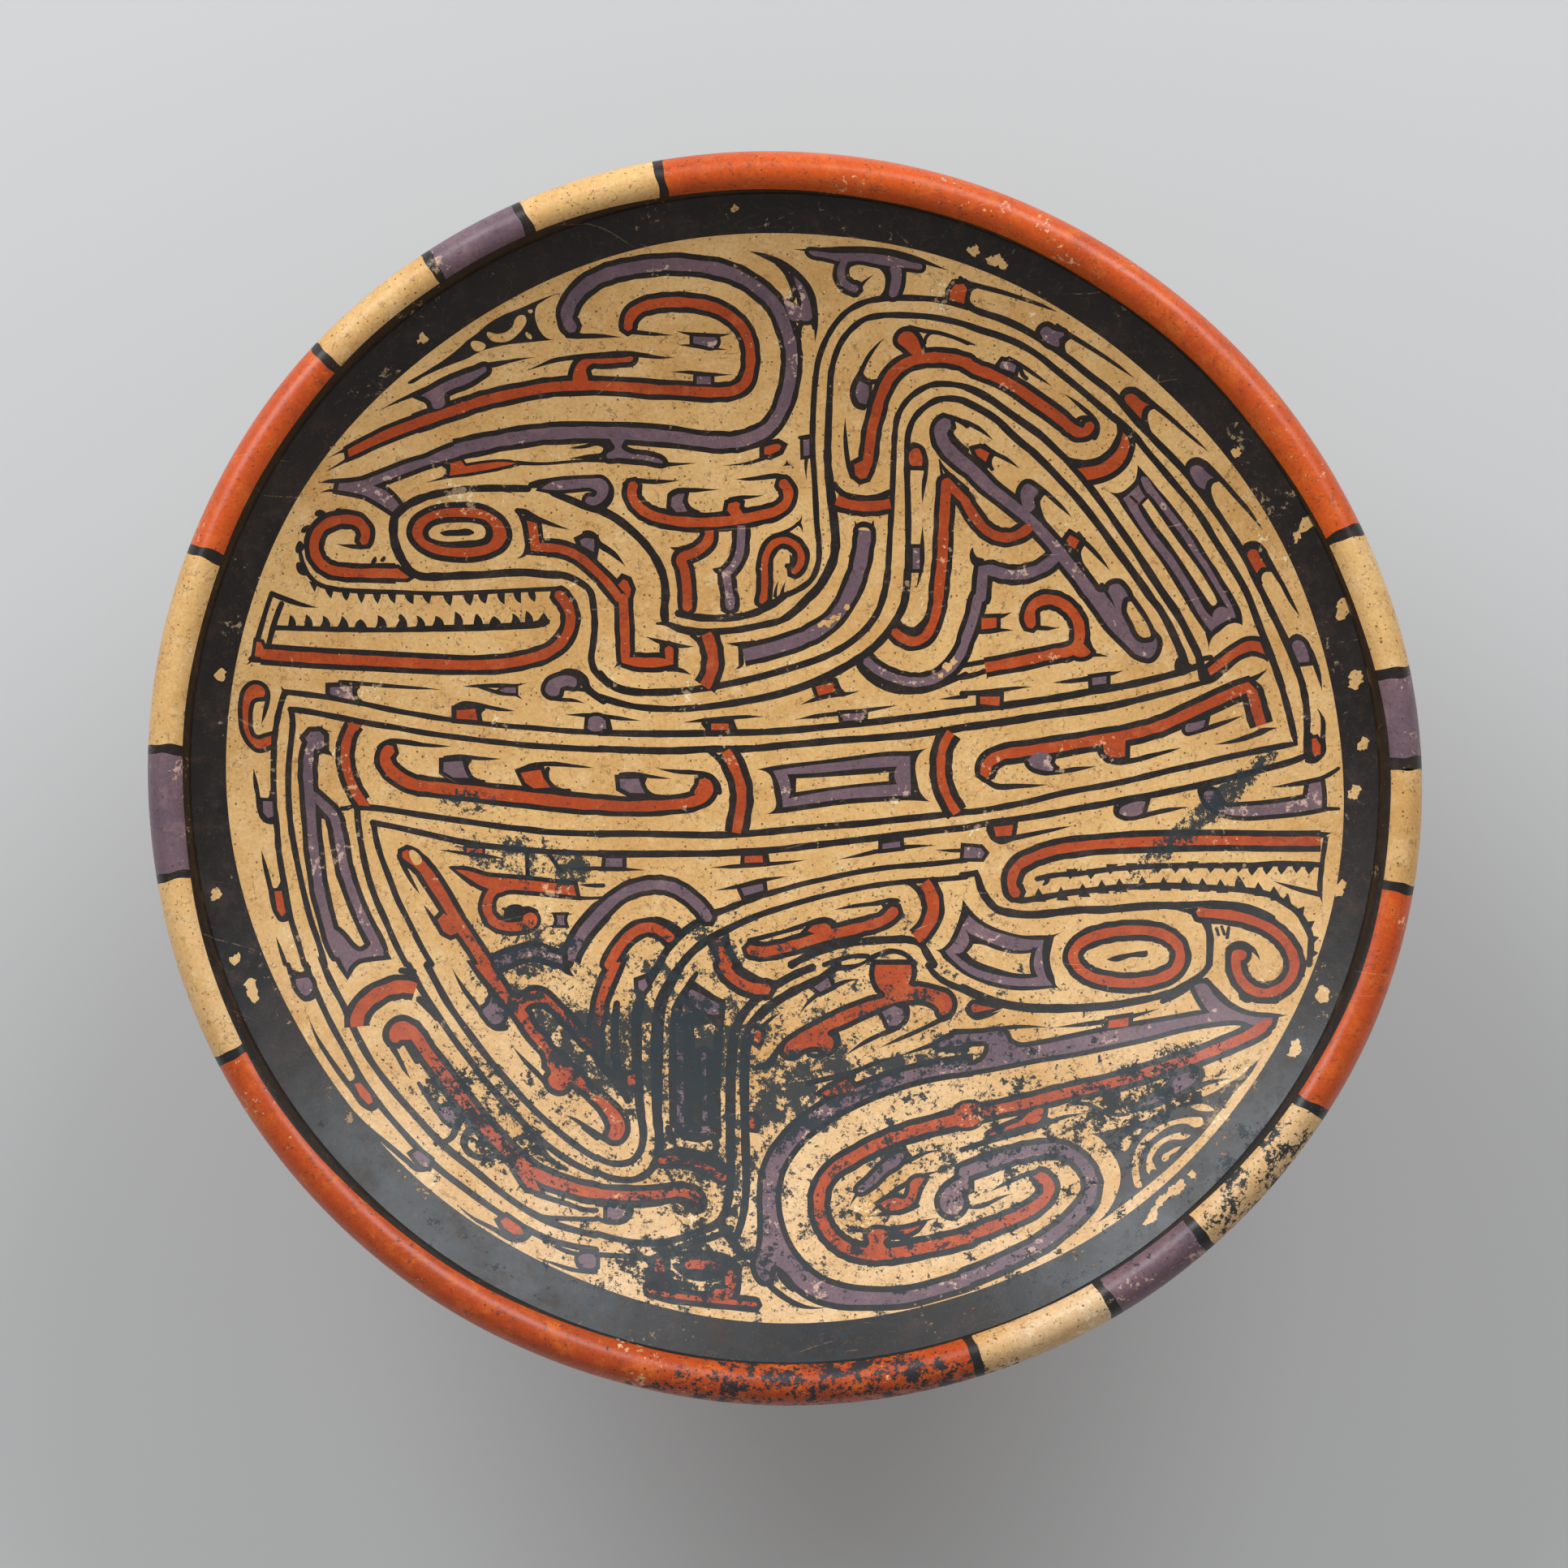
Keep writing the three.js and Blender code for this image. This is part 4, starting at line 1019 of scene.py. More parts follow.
# the first crocodile's lower jaw, with its teeth
line("""-117.6,34.7 -110,34.7 -100,34.7 -90,34.9 -80,35.4 -70,35.8 -62,36.3 -57,36.8
    -55.2,37.4""", 1.2, 1.2, 1.2, 1.5, 1.7, 1.7)
for tooth_shape in (
        "-114.4,35! -113.9,37.8! -112.9,36.9 -112.6,35!",
        "-110.8,35! -110.3,38! -109.2,37 -108.9,35!",
        "-107.6,35! -106.6,36.6 -106.6,37.8! -105.2,36.8 -104.9,35!",
        "-103.6,35! -102.7,36.4 -102.3,37.9! -101.1,36.6 -100.7,35!",
        "-99.4,35! -98.9,36.6 -98,37.2! -97.1,36.4 -96.5,35!",
        "-94.9,35! -94.2,36.8 -94.2,38.2! -92.6,37.2 -92.2,35!",
        "-90.2,35.4! -89.2,37.2! -89.2,38.5 -87.9,37.6 -87.5,35.4!",
        "-85.8,35.4! -85.1,37 -85.4,38.3! -83.7,37.2 -83.3,35.6!",
        "-82.1,35.6! -81.2,37.2 -81,38.3! -79.4,37.4 -79,35.6!",
        "-76.8,35.8! -76.6,38 -76.5,39.4! -75,38.2 -74.8,35.8!",
        "-72.3,36! -72.1,37.6 -71.7,39! -70.4,37.8 -70.1,36!",
        "-68.7,36.2! -68.4,37.4 -67.6,38.5! -66.3,37.6 -65.7,36.4!",
        "-63.9,36.4! -63.3,37.8 -63.3,39.2! -61.7,38 -61.3,36.6!",
        "-60.4,36.8! -60.3,38.4 -60.1,39.8! -58.7,38.6 -58.4,37.2!",
        "-57.8,37! -56.9,38.2 -56,39.5! -55.1,38.2 -54.9,37.2 -56.2,36!"):
    black(tooth_shape)
band(red, 2.3, """| -120.4,28.6 -115,28.3 -106,27.9 -95,27.6 -84,27.2 -76,27 -70,27.1 -65,27.5 -60,28.5
    -55,30.2 -51.8,32.7 -50,36 -49.8,39.2 -51,42 -52.4,43.6""")
line("-123.9,25.9 -122.2,27.4 -121.4,30.9 -120.3,34.8 -119.2,38.6 -117.9,42.5", 0, 1.3, 1.3, 1.2, 1.1, 1.1)
line("-118.9,29.8 -118.1,33.1 -116.8,37.5 -115.7,40.3", 1.3)
line("-117.9,42.5 -114.3,41.1 -111,40.1 -107.4,39.6", 1.2, 1.3, 1, 0)
block(red, "-121.8,28 -121.3,31.4 -120.3,31.2 -119.6,29.4 -119.8,27.8", 0.8)
line("-122.6,27.3 -121.2,27.3 -119.6,27.1", 1.4)
# the red spiral at the left
patch(red, """-119.9,18.7! -119.6,20.2 -120.4,21.2 -122,21.5 -123.6,20.3 -124.4,17.6 -124.5,14 -124,10.5
    -122.6,8 -121,6.8 -119.4,7.1 -118.2,7.9! -118.2,9.8! -119.4,9.4 -121,8.9 -122.3,9.4 -123.1,11
    -123.3,13.4 -123.1,16.2 -122.4,18 -121.2,18.6!""", 1.05)
line("-119,20 -118.9,18.6 -119.5,15.6 -120.4,12.3", 1.2, 1.2, 0.9, 0)
# lines down the left side, with their blocks
line("-116.1,21.5 -115.5,20.4 -114.8,19.6", 0, 1.3)
line("""-115.2,19.8 -115.8,18 -116.5,15.3 -117,12.8 -117.4,9.8 -117.6,6 -117.7,0.2 -117.6,-4.2 -117.3,-8
    -116.8,-11.9 -116.5,-16.2 -115.9,-20.1 -115.1,-24.5 -114.3,-28.9 -113.5,-32.7 -112.1,-37.1
    -110.4,-43""", 1.4, 1.4, 1.4, 1.3)
line("""-113.8,15.9 -113.4,13 -113.6,10.1 -114.2,4.6 -114.4,-0.9 -114.2,-6.4 -113.8,-10.8 -112.9,-16.2
    -111.8,-21.7 -110.4,-27.8 -109.1,-32.7 -107.4,-37.6 -105.8,-43""", 1.4)
block(purple, "-120,-5.3 -117.9,-5.4 -117.7,-8.8 -118.9,-9.2 -119.9,-8", 0.8)
line("-122.1,2.3 -121.7,-0.9 -121.1,-4.2 -120.6,-7.5 -119.5,-9.7 -117.3,-9.9", 0, 1, 1.1, 1.2, 1.2, 1.2)
line("-120.9,-4.7 -119.5,-5.4 -118.5,-4.8 -118.1,-3.2", 1)
block(red, "-117.3,-26.2 -115.7,-26 -114.7,-31.1 -115.5,-32 -116.6,-30.5", 0.8)
line("""-120.3,-16.5 -119.5,-20.1 -118.4,-24.5 -117.6,-28.3 -116.8,-31.1 -115.4,-32.7
    -114,-32.2""", 0, 1, 1.1, 1.2, 1.2, 1.2)
line("-118.1,-25.2 -116.8,-26 -115.9,-25 -115.4,-23.2", 1)
line("-116.8,-36.5 -115.7,-39.8 -114.6,-43", 0, 0.9, 1.1)
# the purple frame's top and arms
band(purple, 2.1, """-108.2,9.4 -109.4,7.4 -109.9,4.6 -110,0.2 -109.6,-4.2 -109.2,-9.1 -108.8,-14.6
    -108.1,-20.1 -107.2,-26.1 -105.8,-31.6 -104.4,-36.5 -102.8,-40.5""")
block(purple, "-110.6,9.4 -109.4,10.9 -107.4,11 -106.4,10 -106.4,7.4 -107.6,6.8 -109.4,7.2", 1.2)
line("-107.7,11.8 -106,11.2 -104.4,11.1", 1, 0)
line("-107.6,6.4 -106,6.4 -104.3,5", 1.2, 1.2, 0)
band(purple, 2, """-108.9,-3.8 -106.4,-6.1 -104.2,-8.6 -103.3,-12 -102.5,-16.2 -101.7,-20.6 -100.3,-25
    -98.4,-30 -96.4,-34.4 -94.2,-38.6 -93.6,-40""")
patch(purple, """-104.6,-34.4! -103,-35.4 -101.4,-37 -100,-38.8 -98,-40 -96,-38.9 -95.2,-36.8! -94,-38.4
    -92.4,-40.9! -95.7,-41.2 -98.7,-42 -100.8,-44.8! -102.4,-41.6 -103.8,-37.6""", 1.2)
line("-108.3,-7.4 -106.9,-8.6 -105,-8.5", 1.2)
line("-102.4,-6.8 -100.9,-6.6 -99.6,-6", 1.2, 0.8)
# long lines from the body round the left end
line("""-98.9,-6.6 -98.7,-9.7 -98.1,-14 -97.3,-18.4 -96.2,-22.8 -94.5,-27.8 -92.3,-32.7 -90.2,-37.6
    -87.4,-43""", 1.5)
line("-95.1,-10.2 -94.5,-14 -93.2,-18.4 -91.5,-22.8 -89.6,-27.8 -87.1,-32.7 -84.7,-37.6 -81.6,-43", 1.4)
line("""-99.2,-6.5 -94.5,-6.6 -90,-7.2 -85,-8 -80,-8.7 -75,-9.4 -70,-10.1 -65,-10.8 -60,-11.3 -55,-11.9
    -50,-12.1 -42,-12.3""", 1.5)
line("""-95.4,-10 -90,-11 -85,-12.1 -80,-13.2 -75,-14.3 -70,-15.1 -65,-15.7 -60,-16.1 -55,-16.5 -50,-16.7
    -42,-16.9""", 1.4)
line("""-115.2,20 -110,19.5 -105,18.9 -98.4,17.8 -90,16.1 -85,15.3 -80,14.5 -75,13.9 -70,13.4 -65,12.9
    -60,12.6 -55,12.2 -50,11.8 -42,11.6""", 1.3)
line("""-114,16 -110,15.6 -106.1,14.9 -100.6,13.9 -95.1,12.9 -90,12.2 -85,11.3 -80,10.6 -75,10 -70,9.4
    -65,8.9 -60,8.4 -55,8.1 -50,7.8 -42,7.5""", 1.4)
# the red crescent and the red hook between them
band(red, 2, "| -99.4,12.9 -100.9,10.1 -101.6,6.8 -101.4,3 -100,-1.4 -97.9,-5.2 |")
block(red, "-101.2,13.2 -98,12.7 -98.8,11.4 -100.6,11.4", 0.2)
block(red, "-99.4,-3.6 -97.6,-3.6 -96,-6.2 -98.6,-6", 0.2)
band(red, 2.6, """-91.7,6.9 -92.6,5.3 -91.8,2.9 -89.6,0.8 -86.3,-0.9 -82.5,-1.5 -77.5,-2 -72.6,-2.5
    -67.7,-3.1 -62.2,-3.6 -56.7,-4.2 -51.2,-4.8 -45.7,-5.3 -42,-5.4""")
line("-94,7.4 -91.8,8.9 -88.5,8.9 -84.1,8.3 -77.3,8", 1.2, 1.3, 1.2, 0.9, 0)
block(purple, "-79.2,4.3 -74.9,4.6 -74.4,2.6 -73.4,0.7 -77,0.7 -79.2,2.1", 1.1)
line("-78.9,5.3 -75.3,5.6 -70.4,5.2 -65.7,5.2", 1, 1.1, 0.9, 0)
line("-73.1,4.9 -74,3 -72.9,1 -69.9,-0.2", 1)
block(red, "-61.4,1.9 -58.9,2.4 -56.7,2.7 -56.1,0.8 -54.5,-1.4 -58.3,-1.7 -60.3,-0.3", 1)
line("-63.3,2.7 -61.4,3 -58.9,3.7 -54.5,4.1 -48.5,3.6 -44.1,3.2", 0, 1, 1.2, 1, 0.8, 0)
line("-55,3 -55.3,1 -53.9,-1.2 -50.1,-2.2", 1.1)
# blocks and whiskers above the body
block(purple, "-105,21.3 -100,21.6 -100,20 -99.4,18.3 -102.8,19.1 -105,19.7", 1.1)
line("-102.8,22.6 -99.5,22.4 -92.3,21.9 -85.2,21.5 -79.5,21.2", 1, 1, 0.9, 0.7, 0)
line("-98.7,21.6 -99.5,20 -98.7,18.6 -96.7,17.5", 1)
block(red, "-76.2,16.4 -71.9,16.8 -71.4,14.2 -76.2,14.5", 1.2)
line("-76.4,17.4 -74.8,18 -71,17.7 -67.1,16.9 -62.5,16.4", 1, 1.1, 1.1, 0.9, 0)
line("-70,16.9 -71,15.8 -70.6,14", 1)
line("-74.9,22 -70.4,22.2 -66.6,22.3 -62.7,22.4 -59.7,23.1", 0, 0.9, 1.2, 0.9, 0)
line("-72,22 -68.8,21.3 -66,20.5 -62.2,20 -60.8,18.9", 0, 1, 1, 0.9, 0)
block(purple, "-66.4,21.2 -64.9,21.9 -62.5,21.9 -62.5,20.6 -64.9,20.7", 0.6)
patch(purple, """-55.6,21.1 -55,23.2 -52.8,24.5 -50.1,24.8 -48.5,24 -48.6,22.3 -50.7,22.4 -52,21.9
    -52.6,20.3 -54.2,20""", 1.1)
line("-51.8,25.6 -49,25.7 -46.9,24.2 -45.8,21.8 -43.5,19.9 -42,18.8", 1, 1.3, 2, 2, 1.8, 1.6)
line("-52.6,20.8 -51.2,21.7 -48.7,21.7 -46,21.4", 1, 1)
line("-55,19.7 -52.3,19.2 -49,19 -46.4,18.3", 1, 1, 0.9, 0)
line("-51.2,15.6 -47.4,15.6 -42,15.3", 0, 1, 1.1)
patch(purple, "-45.6,14.6! -42,14.6 -42,12.6 -45.8,12.6!", 0.9)
# below the body: the big red fork
band(red, 2.5, "-87.6,-17.4 -84.2,-20 -81.4,-23.9 -78.6,-28.3 -75.9,-33 -73.1,-37.1 -69.9,-42 -69.3,-43")
line("-89.3,-17.6 -88.5,-19.5 -87.1,-22.3 -84.4,-26.7", 1.2, 1.2, 1, 0)
line("-87.9,-20.4 -86.3,-19.6 -84.9,-20.6", 1)
block(red, "-80.4,-32.6 -79,-31 -76.6,-33 -75.5,-35.4 -77.3,-36.2 -79,-35.3", 1.1)
line("-83.7,-28.9 -81.9,-31.6 -80.7,-33.6", 0, 1.1, 1.1)
cream("-86.8,-16.4 -84.9,-17.2 -84.2,-19.2 -85.4,-19.8 -86.6,-18.4")
# the little red creature with the curl
patch(red, """-76.4,-20.8! -73,-21.2 -69.5,-22.3 -64.5,-22.8 -59.5,-23.2 -54.5,-23.8 -49,-24.3!
    -48.4,-26.8! -54,-26.2 -59.4,-25.7 -64.6,-25.6 -66.6,-26.2 -67.8,-25.6 -70.4,-24.6 -73.6,-22.6""", 1.1)
line("-78,-20 -75.5,-20.4 -73,-21", 0, 1, 1.2)
line("-78,-20 -75.3,-22 -72.5,-24.2", 0, 1.1, 1.2)
band(red, 2.1, """-67.3,-25.4 -68.8,-27.8 -68.9,-30.5 -67.7,-32.7 -64.9,-34 -61.6,-34 -59.6,-33.4
    -58.9,-32.2""", 1.1)
patch(red, "-60.6,-31.8 -59.6,-30.9 -58.2,-31 -57.4,-32.2 -57.8,-33.8 -59.4,-34.6", 0.9)
line("-65.4,-29.9 -62,-30.4 -59.3,-29.9 -57.6,-30.6", 0.6, 1.6, 1.2, 1)
line("-80.3,-16.2 -77,-16.6 -74.2,-17 -69.9,-17.5 -64.9,-18.2", 0, 0.8, 1.1, 1, 0)
patch(red, "-73.8,-15.8! -70.2,-15.9! -70.2,-16.9! -73.8,-16.8!", 0.7)
line("-59.8,-16.6 -59.8,-19.8 -59.6,-22.4", 1.2, 0.8, 1.2)
line("-55,-16.8 -53.4,-19 -51.8,-21", 1, 1, 1)
line("-50.6,-20.6 -46,-20.4 -42,-20.4", 0, 0.9, 1.1)
line("-48,-24.2 -45,-24.4 -42,-24.4", 0, 1, 1.1)
line("-48,-27.3 -45,-27.4 -42,-27.2", 1, 0.8, 0.6)
# a small purple link
line("-55,-30.8 -52,-31.2 -48.7,-31", 0, 0.9, 0)
line("-55.3,-34.2 -52.4,-33.8 -49.8,-34.1", 0, 0.9, 0)
patch(purple, "-53,-31.4! -51,-31.4! -51.2,-32.6 -50.9,-33.7! -53,-33.7! -52.7,-32.6", 0.8)
# the purple arch that stands on the red diagonal, and its right leg
band(purple, 2.4, "-42.6,-30.6 -44.4,-32.6 -46.4,-35 -48.2,-38 -49.3,-40.4 -49.8,-42 |", 1.5)
patch(purple, """-67.4,-41.9! -65.4,-40.8 -63,-40 -60.4,-39.2 -58.6,-38.8 -56.8,-39.2 -54.6,-40
    -52.4,-40.6 -50.6,-40.8! -50.4,-42.6 -52.6,-42.4 -54.6,-41.9 -56.6,-41.2 -59,-41 -61.4,-41.6
    -63.6,-42.6 -65.6,-43.3 -66.4,-43.8!""", 1.5)
over("-51.3,-38.8 -50.9,-41 -51,-43.4", 1.3)
black("-64.8,-29.9! -60.4,-29.8 -60.3,-31.4 -60.6,-33.2 -63,-33.2 -64.9,-32.4 -65.2,-31")
line("-51.3,-43 -50.2,-44.6 -48.6,-45.8", 2.4, 1.6, 0)

# the middle: lines that run from the neck into the body
line("0.3,43.7 -2.5,41.6 -5,40.3 -10,38.8 -15,38.4 -20,38.6 -24.6,39.5", 1.75)
line("""5.8,43 3,40.2 0,38.1 -5,36.8 -10,35.8 -15,35.3 -20,35.2 -24.3,35.9 -27.1,37
    -29.5,37.1""", 2.15, 1.85, 1.65, 1.65, 1.65, 1.65, 1.85, 1.85, 0.6)
line("""24.7,49.5 24.3,46.5 23.5,43 22.4,40 20.5,37 17.5,34 14,31.5 10,29.5 5,27.7 0,26.2 -5,24.8 -10,23.6
    -15,22.6 -20,21.8 -25,21.2 -30,21 -35,21.1 -38.6,21.9 -41,23.2
    -43,25.2""", 1.65, 1.65, 1.65, 1.65, 1.75, 2.05)
line("""29.3,49.5 29,45 28.4,41.5 26.7,38 24,34.2 20.3,30.6 15,27.2 10,24.6 5,22.5 0,20.9 -5,19.7 -10,18.8
    -15,18 -20,17.4 -25,17.1 -30,17.2 -35,17.7 -40,18.9 -43,19.9""", 1.85, 2.05, 1.85, 1.55, 1.55)
line("""-43,11.5 -35,11.3 -25,11.3 -15,11.5 -10,11.6 -5,11.7 0,12 5,12.4 10,12.9 15,13.4 20,13.9 25,14.5
    30,15.1 35,15.7 40,16.4 43,16.8""", 1.65)
line("""-43,7.7 -35,7.4 -25,7.3 -17.2,7.7 -10,7.7 -5,8 0,8.6 5,9 10,9.5 15,9.9 20,10.2 25,10.6 30,11
    35,11.6 40,12.3 43,12.8""", 1.75)
line("""-43,-12.3 -35,-12.2 -25,-12.4 -15,-12.5 -10,-12.3 -5,-11.9 0,-11.4 5,-10.9 10,-10.5 15,-10.1
    20,-9.7 25,-9.1 30,-8.6 35,-8.1 40,-7.5 43,-7.1""", 1.65)
line("""-43,-16.9 -35,-17 -25,-16.9 -15,-16.8 -10,-16.5 -5,-16.2 0,-15.8 5,-15.2 10,-14.6 15,-14 20,-13.4
    25,-12.8 30,-12.2 35,-11.6 40,-11.1 43,-10.8""", 1.65)
# the thick line down the first crocodile's nape
line("-43,63.4 -39.7,61.9 -35.9,59.1 -32.6,56 -29.8,52.2 -28.1,48.4 -27.5,44 -27.8,40 -27.6,37.6", 2)
# legs' feet
band(red, 2.2, "-22.4,43 -22.4,41")
band(purple, 2.2, "-12.4,43 -12.4,41.2")
band(red, 1.2, "-4.8,43.5 -4.9,42.4")
line("-1.8,43.6 -1.6,45.2 -0.9,47.4", 1, 0)
line("-0.2,44 0.2,45.8 0.9,47.4", 1, 0)
# the red stirrup at the nape
band(red, 2.2, "-37.4,43 -37.2,38.6 -37,33.1 -36.9,28.5! -33,28 -28,28.1 -26.6,28.2! -26.7,30.9")
line("-39.7,26.5 -38.6,28 -38.8,32", 0, 1.2, 1.2)
line("-27,26.4 -24.5,26.3 -21.4,25", 1.2, 1.2, 0)
line("-35.4,29.6 -31,29.7 -28.3,29.8! -28.5,32.4", 1.1)
line("-32.2,34.1 -29.3,33 -26.5,32.4 -24.3,31.9 -20.8,31.8", 0, 1.1, 1.2, 1, 0)
line("-25.1,32 -25,26.6", 1.1)
# red crescents that tie the lines together
band(red, 2.6, "| -18,34.8 -16.8,31.5 -16.4,28.7 -16.9,25.4 -18.4,22.4 |", 1.5)
band(red, 2.3, "| -13.4,7.3 -11.2,3 -9.9,-0.9 -9.7,-4.7 -10.3,-8.6 -10.9,-12 |", 1.7)
band(red, 2, "| 39.5,11.6 37.6,7.9 37.1,3.5 37.6,-0.9 39.2,-4.7 40.9,-7.4 |", 1.7)
band(red, 2.8, "| 33.2,-23.6 35,-27.2 35.3,-30 34.4,-33 31.2,-36.8 |")
line("-21.3,34.4 -19.6,33", 1.2)
line("-17.2,7.3 -14.6,4.8 -12.5,0.4", 1.3)
line("36.6,11.2 35.6,7.9", 1.2)
line("29.4,-23.6 32,-25.8 33,-29", 1.3)
# the purple band to its square end
band(purple, 2.9, "15.1,43 13.8,40.8 11.9,38.3 9.1,36.1 5.3,34 0,32.1 -4.6,30.8 -9.2,29.8 |")
line("-13.4,32.6 -10.1,32.3 -6.8,32.7", 0, 1.2, 1.3)
line("-9.9,32.2 -9.8,29.5 -10,27.2 -11.3,26.5", 1.3, 1.4, 1.2, 0)
# the U of the red peak and the purple crescent under it
band(red, 2.1, "36.5,43 36,39.7 34.9,36.4 33.2,33.9 30.8,32.9 28.3,33.6 26.5,35")
line("35,43.5 34.4,40 32.9,37 30.6,35.6 28.2,36.3 27,37.6", 1.2, 1.4, 1.5, 1.5, 1.4)
band(purple, 2.1, "19.9,28.2 22.8,25.9 26.7,24.2 30.5,23.4 34.9,23.9 38.2,25.7 40.9,28.6 42.6,32 43,33.5")
line("17.9,27.2 20.6,24.1 24.5,21.9 29.4,21.1 33.8,21.5 38.2,23.1 43,25.2", 1.3)
# small blocks between the lines, each with two whiskers
patch(red, "7.7,22.4! 11.8,23.4! 12.3,21.2! 8.4,20.3!", 1)
line("3.9,18 8,19.5 13,20.5 14.3,20.6 18.3,21.5", 0, 1, 1.1, 1, 0)
line("12.5,24 13.2,22 14.4,20.6", 1.1)
line("-43,15.5 -38.6,14.9 -33.1,14.3", 1, 1, 0)
line("-41.2,15.2 -40.8,13.6 -40.4,12", 1.1)
patch(purple, "-43.6,14.6! -41.6,14.4! -41.4,12.4! -43.6,12.4!", 0.6)
patch(red, "-16.8,13.7! -12.7,13.7! -12.8,12.2! -16.8,12.2!", 1)
line("-23.5,13.9 -18.3,14.5 -13.9,14.9 -9,15.3 -4.1,15.3", 0, 1, 1.1, 0.9, 0)
line("-12.2,14.6 -11.4,12.6", 1.3)
line("-18.6,13.8 -17.6,12.4", 1.1)
patch(purple, "13.9,15.9! 19.1,16.2! 19,14.7! 14.2,14.3!", 1)
line("2.8,14.6 7.5,15.4 13.5,16.1 19,16.7 22.8,17.3 27.2,18", 0, 1, 1.1, 1.1, 0.9, 0)
line("36.5,19.3 39.5,19.6 43,20", 0, 0.9, 1)
patch(purple, "-41.4,-18! -37.6,-18! -37.6,-20! -41.6,-20!", 1)
line("-43,-20.6 -37,-20.6 -31.8,-20.8", 1, 1, 0)
patch(red, "-8.9,-17.5! -4.8,-17.3! -4.6,-18.9! -9,-19!", 1)
line("-17.5,-20.2 -10.1,-19.8 -4.6,-19.4 0.3,-19 5.8,-18.3", 0, 1, 1.1, 0.9, 0)
line("-3.8,-17 -3.5,-18.8", 1)
patch(purple, "23.4,-14.6! 27.5,-14! 27.6,-15.3! 23.4,-15.8!", 1)
line("13,-18.2 17.9,-17.3 22.8,-16.2 28.3,-15.4 36.3,-15", 0, 1, 1.1, 1, 0)
line("35.7,-16 39,-16.2 43,-16.1", 0, 0.8, 1)
patch(purple, "-9.8,-25! -4.7,-23.9! -4.5,-25.5! -9,-26.8!", 1)
line("-16.4,-25.6 -10.6,-24.6 -4.6,-23.1 1.5,-22.2", 0, 1.1, 1.1, 0)
# the hook's right end
band(red, 2.4, "-43,-5.4 -37.5,-5.8 -32,-5.7 -26.5,-5.4 -21.1,-4.6 -18.4,-3.4 -17.5,-1.8 -18.2,-0.5")
patch(red, "-19.6,0.5! -17.6,0.4 -16.8,-1.2 -18.6,-3.6 -20.8,-2.6 -20,-1", 1.1)
line("-29.8,3.2 -24.9,2.4 -20,2.1 -17.2,1.5 -15.4,-0.3 -14.9,-2.5", 0, 1, 1.1, 1.2, 1.3)
line("-20.3,1 -20.3,-0.9 -21.4,-2.5 -23.8,-3.4 -28,-3.8", 1.1)
block(purple, "-38.3,0.6 -33.8,0.7 -33.3,-0.9 -32.3,-2.7 -35.9,-2.6 -38.1,-1.4", 1.1)
line("-38.1,1.7 -34.2,1.7 -30.9,1.2 -26,0.7", 1, 1.1, 0.8, 0)
line("-32.3,0.9 -32.8,-0.6 -31.8,-2.3 -28.7,-3.5", 1)
# the hollow purple frame in the middle
black("""-7.3,2.6! -3.5,3.5 0.9,4.2 9.1,5.1 17.3,6.2 25.6,7.2 30.5,7.3 34.5,8! 32.2,6.6 31.4,5 31.6,0.2
    32.4,-2.6 34.6,-4.7! 30.5,-4.4 22.8,-4.7 14.6,-5.3 6.4,-6.4 -0.8,-7.4 -4.4,-7.6! -2.1,-6.6 -2.1,-2
    -3.4,2""")
patch(purple, """-2.3,2.6! 6.4,3.9 14.6,4.8 22.8,5.9 29.9,6! 30,2 30.1,-3.1! 22.8,-3.5 14.6,-4 6.4,-5.1
    0,-6! -0.5,-2""", 0.5)
over_shape("1,1.8! 9.1,2.2 17.3,3 26.9,3.6! 26.2,1.6 26.9,-0.6! 17.3,-1.3 9.1,-2.4 1.4,-3.9! 1.8,-1")
cream("3.2,0.8! 14,1.4 24.9,2.2! 24.9,0.2! 14,-0.9 3.1,-2.4!")
# the long diagonals to the second crocodile
line("""43,-18.4 35,-19.3 30,-19.7 25,-20.1 20,-20.8 15,-21.7 10,-22.8 5,-23.9 0,-25.3 -5,-26.8 -10,-28.6
    -13.4,-30 -16.7,-31.2 -19.4,-32.8 -22.5,-34.7 -24.9,-37 -27.1,-39.5
    -28.9,-43""", 1.3, 1.3, 1.3, 1.3, 1.5, 1.9, 1.9)
line("""43,-22.4 35,-23.1 30,-23.4 25,-23.9 20,-24.6 15,-25.6 10,-26.7 5,-28 0,-29.5 -5,-31.1 -10,-33.2
    -13.4,-34.9 -16.7,-36.6 -20,-38.9 -22.7,-41.6 -23.8,-43""", 1.3, 1.3, 1.3, 1.3, 1.5, 1.9, 2.1)
line("2,-43 4.7,-41.5 10,-39.3 15,-38 20,-37.4 25,-37.1 30,-37.2 32.4,-38.1 33.8,-40.4 35.4,-43", 1.9)
line("9.7,-43 13,-41.8 17.3,-40.9 20,-41", 1.2)
# the purple and red arches
band(purple, 2.3, """-43,-31 -41.8,-29.8 -40,-28.1 -37,-26 -33.1,-24.6 -30,-24.2 -26.5,-24.6 -23.8,-25.8
    -21.1,-27.8 -18.9,-30 -17.6,-31.9""")
band(red, 2.3, "-40.5,-43 -38.9,-39.8 -36.4,-36.6 -33.7,-34.7 -30.9,-34.2 -28.2,-35.2 -26.5,-36.6")
line("-29.8,-32.2 -26.5,-33.3 -24,-35.4", 1.2, 1.2, 1.6)
line("-27.4,-38.2 -25.4,-37.6", 1.4)
band(red, 2, "| -15.7,-37.2 -13.9,-40.9 -12.9,-43")
line("-13.1,-36 -12.7,-38.7 -10.8,-42 -10,-43", 1.3)
